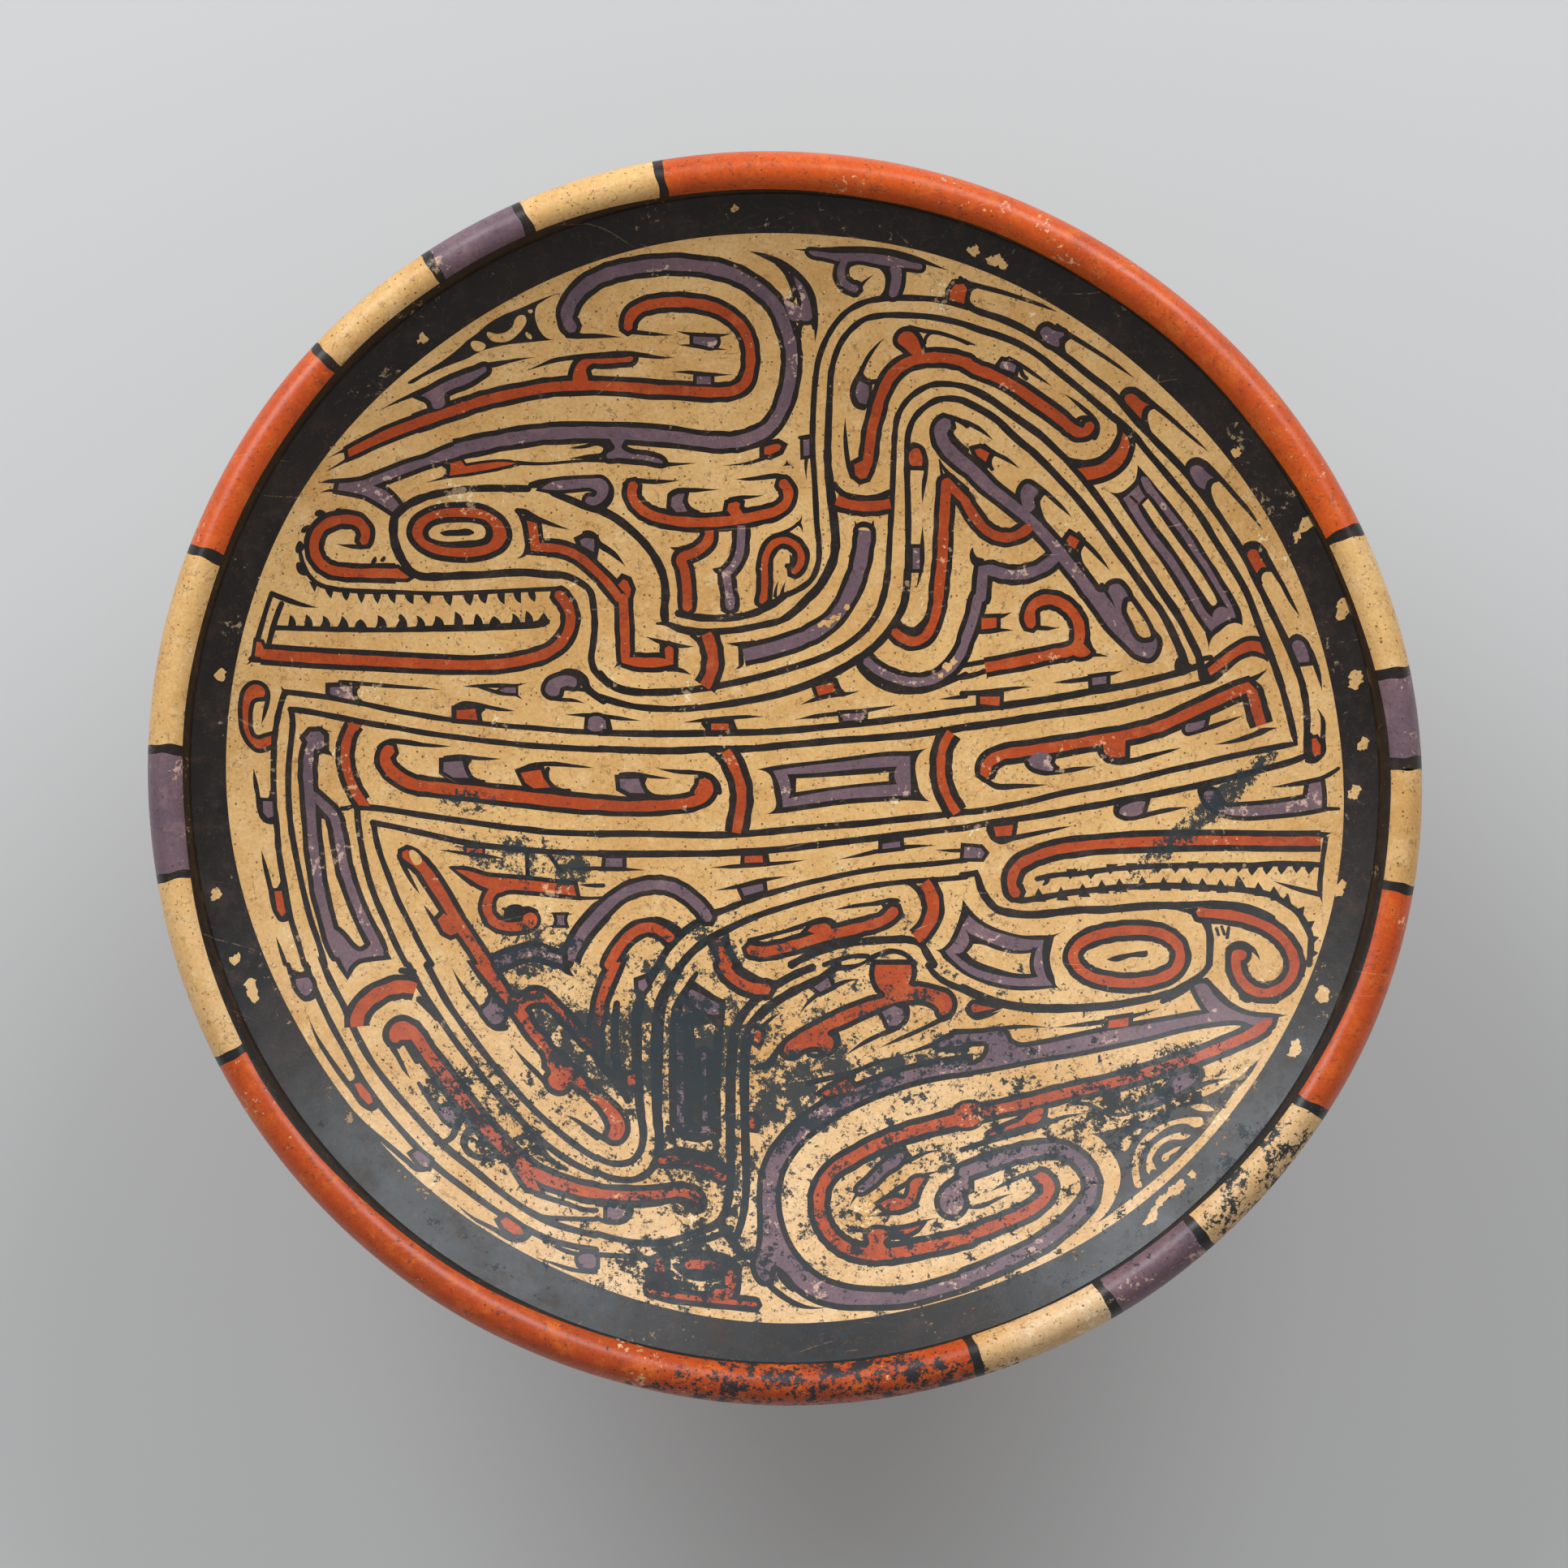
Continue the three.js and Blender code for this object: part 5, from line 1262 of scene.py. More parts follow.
# the long red twig
band(red, 2.3, """-7.4,-39.5 -4.6,-39.9 -1.9,-39.5 3.6,-38.1 9.1,-36.4 14.6,-35.1 20.1,-33.7 24,-32.3
    26,-30.5""")
line("-7.9,-37.3 -4.6,-36.5 0.3,-35.2 4.7,-34.1", 1.2, 1.2, 1, 0.8)
line("-6,-37.4 -5,-38.4", 0.8)
block(red, "5.8,-35 7,-33.8 9.8,-33.2 11,-33.8 11.8,-35.2 9,-36.2", 1.1)
line("-0.2,-34.9 5.3,-33.5 9.7,-32.3 11.3,-32.6 12.6,-33.9", 0, 1, 1.1, 1.2)
line("11.9,-30.1 17.3,-29.1 22.8,-28.4 24.7,-27.9 27,-28", 0, 0.9, 1, 1.2, 1.2)
line("23.6,-28.8 24,-30.4 22.3,-31.3 17.3,-32.4 12.4,-33.8", 1.1)
# the red blob under the third diagonal
line("20.1,-41.8 22.8,-40.4 26.1,-39.8 28.9,-40.7 30.8,-43", 1.3)

# right of the middle: upper end of the purple arch and the small red block beside it
band(purple, 2.2, "43,33.5 44.6,38 45.7,43")
patch(red, "46.6,38.2! 50.1,38.3! 50.1,36! 46.6,35.6!", 1)
line("46,37.6 47.5,38.5 50.3,38.5 53.7,39.6", 1, 1.1, 1.2, 0)
line("45,35 48,35.1 51,35.4 54.2,35.3", 1, 1.2, 1, 0)
# the red curl with the long foot
band(red, 2.4, """58.1,36.8 57.8,38.6 58.3,40.6 60,42 62.3,42.4 64.6,41.8 66.8,40.3 68.3,38.5 69.2,36.5
    69.4,34.5 69.3,32.8 68.6,31.3 67,30.3 64,29.8 60,29 55,28 51,27.3 47.5,26.7 |""")
patch(red, "68.9,32.6 71.2,31 72,30.1! 68,29.6", 1.1)
line("59.3,36 61.5,35.7 64.6,35.8", 1.3, 1, 0)
line("70,29.4 73,29.4 76.3,28.9", 1.3, 1, 0)
line("41.5,24.4 44.5,24.9 47.3,25.8", 1.3)
line("41.5,27 44,27.5 47,28", 1.2)
line("71,33.4 71.6,31.9 73,29.8", 1.4, 1.2, 0.4)
# red block with a whisker, over the long line
line("42,20.7 47,20.9 52,21.5 55,21.9 58.7,22.1", 1.2, 1.2, 1.2, 0.8, 0)
patch(red, "46.3,19.9! 50.9,19.9! 50.8,17.7! 46.3,18.2!", 1)
# the body's upper two lines
line("""43,16.8 48,17.3 55.2,18.2 65,19.6 74,21.2 78,21.8 82.3,22.6 87.3,23.7 92,24.9 94.2,25.6
    96.1,26.2""", 1.7, 1.8, 1.8, 1.8, 1.8, 1.5)
line("""43,12.8 53,14.1 60,15.2 69.4,16.4 75,17.1 80.4,18.2 85.9,19.5 91.4,20.8 96.9,22.3 99.4,22.9
    101.4,24.2 103.3,25.8 105.2,27.4 107.2,28.4 109,28.6 110.8,28.1
    112.3,27""", 1.9, 1.9, 1.9, 1.9, 1.6, 1.3, 1.2, 0.3)
patch(purple, "72.3,24! 75.6,24.4! 75.6,22.7! 72.4,22.3!", 1)
line("63,23 68,23.4 71,23.8 75.5,24.8 77,25 79.7,25.7", 0, 1, 1.2, 1.4, 1, 0)
# the end of the purple loop and its right side
patch(purple, """70.2,44! 72.4,45.2! 74.6,43.8 76,44.4 76.2,45.1 77.2,45.7 78.3,45.7 79.3,44.8 80.5,42.8!
    79.5,42.4 79.1,41.2 79,39.1 79.8,37.3 80.6,35.8 81.3,34.1 82.3,32.8 83.6,32 85.3,32 86.3,32.3
    86.8,33.1! 87.1,32.5 87.1,30.8 86.6,29.5 85.6,28.5 84,28.7 82.3,29.5 80.6,31.2 79,32.8 77.3,34.5
    75.3,36.8 74,38.8 72,41.6""", 1.3)
over("74.4,45.6 75.6,43.6 76.6,42 77.5,40.4", 1.2, 1, 0.7, 0)
line("79.8,44.9 81.3,42.6 83,40.2 84.4,38.1 85.7,35.8 86.4,33.8", 1.2)
# purple leaf at the right edge
patch(purple, "117.7,31 118.7,31.8 119.8,31.4 120.9,29.5 121.4,26.8! 119.2,26.6! 118.2,28.8", 1)
line("117.2,31.2 118.2,32.6 119.9,32 121.5,29.3 123.2,24.9 124.3,20", 1.2, 1.3, 1.3, 1.2, 0)
# the two outer lines, down the right side and back along the body
line("""115.1,22 115.9,19.2 117.1,14.6 118,10.6 118.5,8! 113.3,7.1 107.8,6 102.3,4.9 96.9,3.6 91.4,2.5
    85.9,1.2 80.4,-0.1 74.9,-1.2 69.4,-2.1 63.9,-3.2 58.5,-4.6 53,-5.7 45.3,-7 43,-7.2""", 1.5)
line("""119.6,22.7 120.4,19.4 121,14.5 121,10 121,5.3! 118.8,4.3 113.3,2.7 107.8,1.3 102.3,-0.1 96.9,-1.3
    91.4,-2.4 85.9,-3.5 80.4,-4.4 74.9,-5.5 69.4,-6.4 63.9,-7.4 58.5,-8.3 53,-9.1 47.5,-9.9 42,-11""", 1.6)
line("123.1,16.2 124.4,13.6 124.5,9.4 124.3,5.4 122.6,3.9 121,4", 0, 1.1, 1.2, 1.2, 1)
block(red, "122.1,9 123,9.2 124,7.5 124,5.4 122.9,5 122.2,6", 0.8)
line("121.6,9.8 121.4,6 121.8,4.5", 1.5)
# the red leaf between the lines
patch(red, """98.7,25.7! 100.5,27.2 102.2,28.5 103.9,29.8 105.5,30.8 107.2,31.7 108.8,31.9 110.5,31.5!
    111,30.2 111.6,28.6! 110.2,29.3 108.8,29.6 107.2,29.2 105.5,28.5 103.9,27.3 102.2,26 100.5,24.9
    99.4,24!""", 1.2)
line("97,27.9 99.4,28.3", 1.3)
# the long red zigzag along the body, with its red foot
band(red, 2.4, """| 110.9,12.4 109.9,15.6 108.9,19.4 107.9,21.3! 105,20.2 99.6,17.8 94.1,15.3 88.6,12.8
    83.1,11.2 77.7,10.1 72.2,9.3 66.7,8.4 61.2,7.6 55.7,6.9 50.8,6 48.2,4.2 47.6,2.2""", 1.5)
patch(red, "75,9.5 80,10! 79.9,5.7! 77,5.5 75.6,6.1 75,7.5", 1.2)
line("112.3,25.5 110.2,23.8 107,22.3", 0, 1.2, 1.4)
line("114.7,11.7 112,11.3 109.5,10.3 105.5,9 100.2,8.1", 0, 1.5, 1.3, 0.9, 0)
line("47,1.2 49.1,-0.7 55.5,-1.1 62.3,-0.8", 1.3, 1.5, 1.1, 0)
line("74.1,8.2 74.4,6.2 75.8,4.8 78,4.3 81.5,4.6 85.9,5.7 92.9,7.5", 1.2, 1.3, 1.3, 1.3, 1.2, 0.9, 0)
patch(purple, "57.6,5 58.2,5.9 62,6.5 63,5.5 62.6,4.2 63.4,3 60,2.8 58.2,3.6", 1)
line("57,5.4 57.8,3.3 60,2.2 64,2.1 68.3,2.7 73.5,3.4", 1.2, 1.3, 1.3, 1.2, 1, 0)
line("64.3,6.8 63,5.2 64.4,3", 1.2)
patch(purple, "93.8,12.6 96,13.3 98.3,13.9! 97.8,12.2! 95.5,11.3 93.9,11.2", 0.9)
line("98.8,14.8 98.3,12", 1.2)
line("95.6,10.8 99,12 102.3,13.1 107,14.8", 0.8, 1.3, 1, 0)
# blocks under the body
patch(red, "49.4,-10.7! 54,-10.2! 53.6,-12.7! 50,-12.9!", 1.1)
line("""48.3,-10.6 49.1,-13 50.5,-14 54.6,-13.2 58.5,-12.4 63.9,-11.3
    67.8,-10.5""", 1.2, 1.2, 1.3, 1.2, 1, 0.8, 0)
block(purple, "42.6,-15.3 46.4,-15.6 47.4,-16.8 46.6,-18 42.4,-17.9", 0.9)
patch(purple, "78.9,-6.5 80.4,-5.6 84.6,-5! 83.9,-7.6! 79.5,-8.1 78.6,-7.6", 1)
line("77.8,-6.2 78,-7.8 79.5,-8.7 83.1,-8.4 88.6,-7.2 94.7,-6.3", 1.2, 1.3, 1.3, 1.2, 1, 0)
# purple trough at the right
patch(purple, """98,-3.1 100.1,-2.8 101.5,-5 102.9,-6.4 105.1,-6.4 110.6,-6.1 116,-5.5 121,-4.7!
    121.5,-1.4! 124,-0.9! 124.3,-3.6 124.3,-6.9! 119.9,-7.7 113.3,-8.3 106.7,-8.6 101.8,-7.7 99,-5.8
    98,-4.2""", 1.1)
line("97,-2 97.7,-4.7 99.6,-6.9", 1.2)
line("112.8,-2 118.8,-1.3 124.3,-0.1 128,2.1", 0, 1.2, 1.3, 0.8)
line("124.3,-7.2 128,-7.2", 1.1, 0.8)
# the second crocodile's upper jaw
band(red, 2.2, """| 124,-14.6 113.3,-14.5 102.3,-14.2 91.4,-14.2 80.4,-14.5 69.4,-15.3 63.9,-16.1
    58.5,-17.9 55.2,-19.8 53.8,-22.3 53.8,-25 54.5,-26.2""", 1.5)
line("126.5,-12.7 124,-13.2", 0, 1.5)
line("125.1,-14 124.6,-17.3 124,-21.7 123.7,-25.6 124.3,-29.1", 1.2, 1.1, 1.2, 1.3, 0)
line("113.3,-23.7 118.8,-25.6 123.7,-26.9", 0, 1.2, 1.3)
line("""59.5,-22.9 63.9,-22 69.4,-21.7 74.9,-20.9 80.4,-20.4 85.9,-20.1 91.4,-20 96.9,-20 102.3,-20.1
    107.8,-20.1 113.3,-19.7 118.8,-19.8 123.7,-20.1""", 1.3)
black("59,-23 60.5,-22.4 62.5,-22.6 61.8,-24.2 60.8,-24.4 61.2,-23.4")
line("""53.5,-27.5 55.7,-27.9 60,-27.4 66.7,-26.2 72.2,-25.6 77.7,-25 83.1,-24.8 88.6,-24.6 94.1,-24.8
    99.6,-25.2 105.1,-25.6 107.8,-25.9 110.6,-26.4 113.3,-27.2 116,-28.9 118.8,-31.1 120.4,-33.8
    121.5,-36.6 121.5,-39.3 121,-43""", 1.5)
for x, y in [(67.2, -23.1), (71.9, -23.1), (76.4, -22), (80.9, -21.8), (87.3, -21.8), (91.3, -21.8),
             (94.9, -21.5), (99.3, -21.8), (102.9, -21.8), (105.6, -21.8), (108.6, -22.5), (111.9, -22.3),
             (115.2, -22.3), (118.5, -22), (121.3, -22.3)]:
    tooth(x, y, 2.5)
for x, y in [(59.8, -25), (65, -24.7), (70, -23.9), (74.4, -23.1), (78.5, -22.8), (83.7, -22.3),
             (88.6, -22.5), (93.3, -22.5), (97.4, -22.8), (101.5, -23.1), (105.6, -22.3), (110, -23.9),
             (113.6, -25)]:
    tooth(x, y, -3.3)
black("112.4,-26.6! 113.5,-24.9! 114.8,-27.8!")
black("115.2,-28.2! 116.7,-26.6! 117.6,-29.9!")
black("118,-30.4! 120.3,-29.6! 119.8,-32.8!")
black("120.2,-33.2! 122.5,-33! 121.3,-35.6!")
black("121.4,-36.2! 123.4,-36.8! 121.8,-38.6!")
black("121.6,-39.4! 123.2,-40.4! 121.4,-41.8!")
# neck line that becomes the brow of the eye
line("""42,-22.1 45.3,-21.5! 45.8,-22.8 46.4,-25 48,-27.8 50.2,-30 53,-30.8 58.5,-31.3 63.9,-30.8
    69.4,-30.2 74.9,-30.2 80.4,-29.7 85.9,-29.3 91.4,-29.4 94,-30 96,-31 98,-33 99,-36 99,-39.5
    98.8,-43""", 1.7, 1.9, 1.9, 1.9, 1.9, 1.6)
line("90,-29.1 97,-28.8 102.3,-28.8 107.8,-29.7 113.3,-32.2", 1.2)
band(red, 2.2, """97,-30.9 99,-31.1 102.5,-31.4 106,-32 109.5,-33.2 113,-35 115.6,-37.4 117.2,-40
    117.9,-43""", 1.4)
line("100.5,-34.6 101,-36.2", 0.7)
line("101.7,-34.2 102.3,-36", 0.7)
line("103.3,-34.4 102.9,-36.8", 0.8)
# the hollow purple frame on the second crocodile's cheek
black("""42.2,-27.6! 43,-28.8 45,-31.2 46.6,-32.6 50,-34.4 53,-35.4 56,-36.1 59,-36.1 63.4,-35.9
    65.8,-35.1! 64.4,-35.8 63.4,-36.5! 62.9,-38.5 62.4,-41 62.6,-43.5 63.4,-46 63.8,-47.8 66,-48.7!
    63.6,-48.4 60,-48.8 55,-49 50,-48.3 46,-47 42,-45 39,-42.6 37.4,-41.2 37,-40.4 35.6,-39.5! 37,-39.3
    38.6,-38 40,-35.5 41.2,-32.5 41.9,-30""")
patch(purple, """43.6,-31.4! 46,-33.4 48.5,-34.8 52,-35.9 56,-36.9 59,-37.2 61,-37.2! 60.6,-40 60.8,-43
    61.4,-45.6 63,-47.8! 57,-48 53,-47.8 48,-46.7 44,-45.2 41,-43 38,-39.8! 39.6,-38.4 40.8,-36.8
    42,-34""", 0.3)
over_shape("""42.4,-34.4! 43.5,-35.4 46,-36.6 49,-38 53,-39.3 57,-39.6 59.7,-38.7! 58.8,-41 58.8,-44
    59.6,-45.8! 57,-46.2 53,-45.9 49,-45.1 45,-43.8 42.4,-42.2 40,-40.2! 42,-40 42.8,-39 43.6,-37.6
    43.4,-36""")
cream("""44.6,-38.1! 46.8,-38.3 50,-39.5 54,-40.4 58,-40.2! 57.6,-42.5 57.9,-45.1! 54,-44.9 50,-43.8
    47,-42.8 44.6,-41.6 43.1,-40.1! 44,-39.2""")

# lower right: the second crocodile's eye
band(red, 2.2, """92.3,-41.1 91.2,-44 88,-46 84,-47 79.9,-47.3 75.5,-46.8 71.5,-45.6 68.8,-43.5 67.7,-41
    68.8,-38.6 71.5,-36.8 75.5,-35.6 80.5,-35 85,-35.1 89,-36.2 91.6,-38.4 92.3,-41.1""", 1.4)
black("75.4,-41.8! 77.5,-40.9 80.5,-40.3 84.8,-39.7! 84.9,-40.6 81,-41.3 77.5,-42.3")
# the snout's red curl
band(red, 2.1, "117.9,-43 117,-46 114.5,-48.6 111,-49.6 107.8,-48.6 105.6,-46 104.8,-43 105,-40.6", 1.5)
patch(red, "103.9,-42! 104.3,-40.2 106,-39.6 107.2,-40.4 106.2,-42!", 1.2)
line("103,-39.6 105.4,-38.2 108.3,-39.3 110.2,-42.2", 1.2, 1.4, 1.2, 0)
line("119.7,-45.5 118.6,-45.9", 1, 0.4)
black("112.2,-50.6 112.6,-52 114.3,-51.6 113.8,-50.4")
black("105.4,-49.7 106.9,-51.9 108.4,-51.3 107.4,-50.3")
# the thick line under the head
line("""42,-48.4 46,-50.3 51,-52 57,-53 63,-53.2 70,-53 77,-52.4 82,-51.5 87,-50.4 91,-49 94.5,-47
    97.4,-45 98.8,-43""", 2, 2.1, 2.1, 1.9, 1.6, 1.5)
line("88,-51.6 92,-49.7 95,-47.6", 1.2)
# red drop and the purple trough at the left
patch(red, "44.6,-54.2! 44.3,-52.4 46.5,-52.6 49.6,-53.2!", 1.1)
line("43,-53.2 44.2,-55 48,-54.8 51,-53.6", 1, 1.2, 1, 0)
# the purple fork and the long purple band
patch(purple, """95.3,-48! 97.5,-47.4 100,-50.4 103,-53 107,-54.7 113,-55.2! 110,-57 105,-55.9 99,-56.4
    92,-57.7 85,-59.6 76,-61.6 68,-63.3 60,-64.6 51,-66.4 40,-68.3! 40,-65.8! 47.5,-64.2 48,-61.6 44,-60.9
    40,-61! 40,-59.4! 46,-59 51.8,-59.2 52.6,-60.8 54.5,-62 60,-61.6 66,-60.4 76,-58.3 84,-56.9 92,-55.5
    98.8,-54.2! 97,-51.6""", 1.2)
line("94.6,-47.6 96.2,-51 98.8,-54", 1.3)
line("98,-46.6 100.5,-49.5 103.5,-52.3 107.5,-54.3 112,-54.9 116.3,-54.6", 1.3, 1.4, 1.3, 1.2, 1.1, 0)
line("40,-58.5 48,-58.3 54,-57.5 62.5,-57.7", 1.2, 1.2, 1, 0)
line("63,-57.6 70,-56.9 75,-56.2 81,-55 87.3,-53.2", 0, 1, 1.3, 1.2, 0)
patch(red, "75.6,-57.8! 75.8,-56! 80.3,-55.3! 80.2,-57.3!", 1.1)
# the long red tongue
band(red, 2.2, """110.5,-57.6 107,-59.5 101,-62.2 95,-64.6 88,-66.8 80,-69.4 72,-71.4 65,-72.9 58,-74.8
    50,-76.6 42,-78.3""", 1.4)
block(red, "106.5,-58.6 110.5,-55.9 112.8,-55.8 112.4,-56.9 108.5,-60.1", 1.2)
patch(red, "60.4,-76.2! 59.7,-79 56,-80.2 50,-82 48.2,-82.6 51,-81 55.5,-79 57.4,-77.2", 1.2)
line("70.5,-77.4 65,-78.4 60,-80.3 54,-82.2 48,-83.9 41.5,-86", 0, 1, 1.3, 1.3, 1.4, 1.2)
line("69,-73.4 64.5,-74.6 61.3,-75.7 60.2,-77.2 61,-78.7 63.5,-79.2", 1.2)
patch(red, "40,-77.3! 46,-76.2 46,-79 40,-80!", 0.9)
# the purple leaf under the tongue and the blotch beside it
patch(purple, """81.4,-76! 84,-74.7 87,-73.1 89.2,-72 90,-70.6 90.8,-69.2 93,-68.2 95.2,-67.8 95.8,-68.6
    94.8,-70.2 92.4,-71.9 89,-73.4 85,-75.2""", 1.3)
line("78,-78 80.6,-76.9 83,-75.2 86,-73.4 88.6,-71", 0, 1.2, 1.3, 1.2)
line("94.2,-66 96.4,-67 97,-68.8", 1.8, 1.4, 1)
line("90.6,-73.6 94,-72 97,-70.6 100,-69.8 103.6,-69.2", 1.2, 1.3, 1.2, 0.8, 0)
black("74.6,-71.9 76.2,-71.6 77.8,-71.8 78.2,-73.4 77.2,-74.6 76,-74.9 75.8,-73.4")
line("66,-75.6 70,-75.2 75,-77.4 80,-77.6", 0.8, 1, 1.3, 0.6)
# the fan at the edge: one black shape with cream arcs in it
black("""69.8,-82.1! 73,-81.9 76,-81.1 80,-80.2 84,-78.7 88,-76.9 92,-75.1 96,-73.8 99.5,-72.3 102.5,-70.4
    105,-68.9 107.2,-66.9 109.6,-64.8! 107.6,-68.2 105.6,-70.6 103.6,-72.8 101.8,-75.2 100,-77.6 98,-80.2
    95.8,-82.8 93,-85.6 90,-88.6 86.8,-91.4 83,-94.5 79.6,-97.2 76,-99.9 74,-101.4 71.9,-102.5!
    73.8,-100.9 75.4,-98.8 76.7,-96.2 77.6,-93.6 77.8,-91 77,-88.2 75.4,-85.8 73.9,-83.6 72,-82.4""")
cream("""80.4,-90 80.8,-87.2 82,-84.6 84,-82.2 86,-80.7 88.4,-79.5 91.4,-78.6 94,-78.2 96.6,-78.6
    96.6,-79.8 95,-80.5 93,-79.7 90,-80 88,-80.9 86,-82.4 84,-84.2 82.4,-87 81.9,-90 82.3,-92.6 82.5,-94.2
    81.4,-94.3 80.6,-92.4""")
cream("77.9,-84.3 79,-83.1 81,-81.8 82.9,-81 82,-82.3 80.5,-83.8 79.5,-85.6 78.6,-86.1 77.9,-85.2")
cream("""83.7,-89.6 84,-87.2 85,-85.2 86.6,-83.7 88.8,-82.5 91.4,-81.7! 93.9,-82.3! 92.4,-83.2 89.8,-83.3
    88,-84 86.8,-85 85.6,-86.6 85,-88 85.5,-89.2 86,-90.3! 84.9,-90.2 84.4,-91.3! 83.8,-90.6""")
cream("87.4,-87 88.8,-86.1 90,-85.3 91.7,-84.8! 90.6,-86 89,-87 88.5,-88.1 87.4,-88.2")
cream("94,-75.8! 96,-75.1 98,-75.5 99.4,-76.6! 97.6,-76.8 95.4,-76.5")
over_shape("102.6,-71.9 103.6,-71.4 102.2,-73.4 101.4,-73.2")
# the purple loop and the red loop in it
band(purple, 2.5, """42,-91.2 48,-88.9 54,-86.9 60,-85.8 65,-86 69,-88.6 71.2,-92.5 70.8,-96.5 68,-100.3
    64,-103.9 59,-107.5 53,-110.6 47,-113.3 42,-115.2""", 1.4)
band(red, 2.4, "59.7,-92.2 61.4,-93.8 61.2,-95.8 58.6,-98.6 54,-101.2 48,-103.6 42,-106", 1.4)
block(red, "57.8,-91.9 60,-91.4 61.6,-92.6 60.4,-94", 1)
line("47.8,-95.6 52,-93.4 56.5,-91.5 59.6,-90.7", 0, 1, 1.2, 1.2)
line("57.4,-92.6 58.8,-95 57,-97.2 53,-98.9", 1.1)
line("53,-95.9 50,-97 47,-98.4 44,-99 42,-98.6", 0, 0.9, 1.2, 1.2)

# below the middle: the two lines of the second crocodile's neck going down
line("""-28.9,-43 -31.2,-46.5 -33,-50 -34,-54 -34.2,-60 -34,-66 -33.6,-72 -33,-78 -32.4,-83 -33.2,-86.5
    -35.2,-88.6 -38,-89.2 -43,-87.6""", 1.9, 2.4, 2.6, 2.4, 2, 1.6, 1.5)
line("""-23.8,-43 -26.4,-47.4 -28.2,-51 -29,-55 -29.4,-62 -29.3,-70 -29.2,-78 -28.7,-84 -29.4,-88.6
    -31.4,-91.4 -34,-92.7 -38,-92.8 -43,-91""", 2.2, 3, 3, 2.6, 2.2, 1.7, 1.4)
line("-20.2,-45 -22.4,-48.5 -24.6,-53 -25.2,-58 -25.3,-66 -25.3,-74 -25.2,-80", 1.2, 2.4, 2.6, 2.6, 2.4)
# the pair that bends from the right down the middle
line("""7,-43.6 3,-45.2 0,-46.8 -4,-49.4 -7.5,-52.3 -10,-55.6 -11.4,-60 -12,-66 -12.2,-74 -12.2,-82
    -12.1,-90 -12.4,-96 -13.4,-100.5 -15.4,-103 -18.6,-104.3""", 1.9, 2.1, 2.6, 2.4, 2, 2)
line("""13,-43 8.8,-46.2 4,-48.4 0,-50.6 -4,-53.4 -6.8,-56.6 -8.4,-61 -8.9,-67 -8.9,-75 -8.7,-83 -8.5,-91
    -8.6,-97 -9.4,-102 -10.8,-106""", 1.9, 2.2, 2.4, 2.2, 1.9, 1.8)
line("20.5,-41.5 16.6,-43.4 13,-43.6", 0.6, 1.6)
patch(purple, "7.3,-48.2! 10.6,-46! 11.4,-48! 8.8,-49.3!", 1.1)
line("4,-54.6 5.6,-52.2 8.2,-49.9 11.5,-48.3 15,-46.8 18.2,-46.3", 0, 1, 1.3, 1.1, 0)
# purple trough left of the middle and the red crescent above it
band(red, 2.4, "-13.7,-43 -12.6,-45 -10.4,-46.9 -7.4,-48.3 -4,-48.7", 1.5)
line("-11,-43 -8.4,-44.8 -5,-46.6 -2,-47.2", 1.4)
patch(purple, """-21.6,-48.9 -20,-49.4 -17,-51.1 -14.8,-52.2! -14.9,-54.6! -17.6,-54.4 -20.4,-52.8
    -21.8,-51""", 1.4)
line("-20.9,-47.4 -17.5,-49.8 -14.9,-51.4 -12.6,-50.6", 1.2, 1.4, 1.3, 0)
line("-14.9,-51.4 -14.8,-57 -15.3,-63 -15.5,-70 -15.3,-78 -14.9,-83", 1.4, 2.4, 2.2, 2, 1.6)
# the purple ladder in the stained middle
band(purple, 1.6, "-24.1,-58 -23.9,-64 -23.9,-72 -23.8,-79.6", 1.6)
band(purple, 1.2, "-18.4,-64 -18.4,-72 -18,-78.8", 1.8)
band(purple, 1.4, "-23.4,-80.6 -20.5,-81.4 -17.4,-81.2", 1.3)
line("-21.2,-57 -21.2,-66 -21.2,-76 -20.8,-80", 0.8, 1.8, 1.6, 1.2)
line("-20,-56.4 -16.4,-56.2 -15,-57.4", 2.6, 2, 1)
line("-24.6,-57.2 -21,-55.4 -17.5,-55.6", 1.8, 2.8, 2.2)
block(purple, "-33.8,-46.8 -32.2,-46.2 -31.6,-48 -32.6,-49.2 -33.7,-48.6", 1.1)
# the small red block on the left
block(red, "-36.2,-69 -34.6,-68.6 -33.9,-70.2 -34.8,-71.4 -36,-70.8", 1.4)
line("-38.8,-52 -39.2,-60 -38.8,-66 -37,-71", 1.6, 2, 2.2, 2.4)
line("-43,-66 -40,-68.6 -37.8,-71.4 -36,-74.6", 1.6, 2.4, 2.4, 1.6)
# feet of the neck: brackets, red bands and the long bar
line("-28.2,-87.4 -24.5,-86 -20,-86.8 -16,-88.2 -13.2,-90", 1.5)
band(red, 1.7, "-28.2,-88.4 -24.5,-88.4 -20.5,-89 -16.6,-90.8 -13.8,-92.4", 1.2)
patch(red, "-8,-78.2! -6,-79 -6.4,-81.2! -7.6,-81!", 1)
line("-23.4,-82.8 -19.6,-83.6 -16.2,-83.2 -15.6,-85.8 -17.6,-87", 1.4, 1.6, 1.8, 1.2)
line("-26.6,-81 -25.4,-84.2", 1.6)
band(red, 2, "-43,-95.9 -36,-96.5 -29,-96.3 -22.6,-95.9 -20.2,-97 -20,-98.6", 1.5)
black("-21.8,-97 -19.2,-95.4 -17.6,-97 -17.8,-99.4 -20.2,-100.2 -21.8,-98.8")
block(red, "-21.2,-97.2 -19.6,-96.8 -18.8,-98.2 -20,-99.3 -21,-98.6", 0.6)
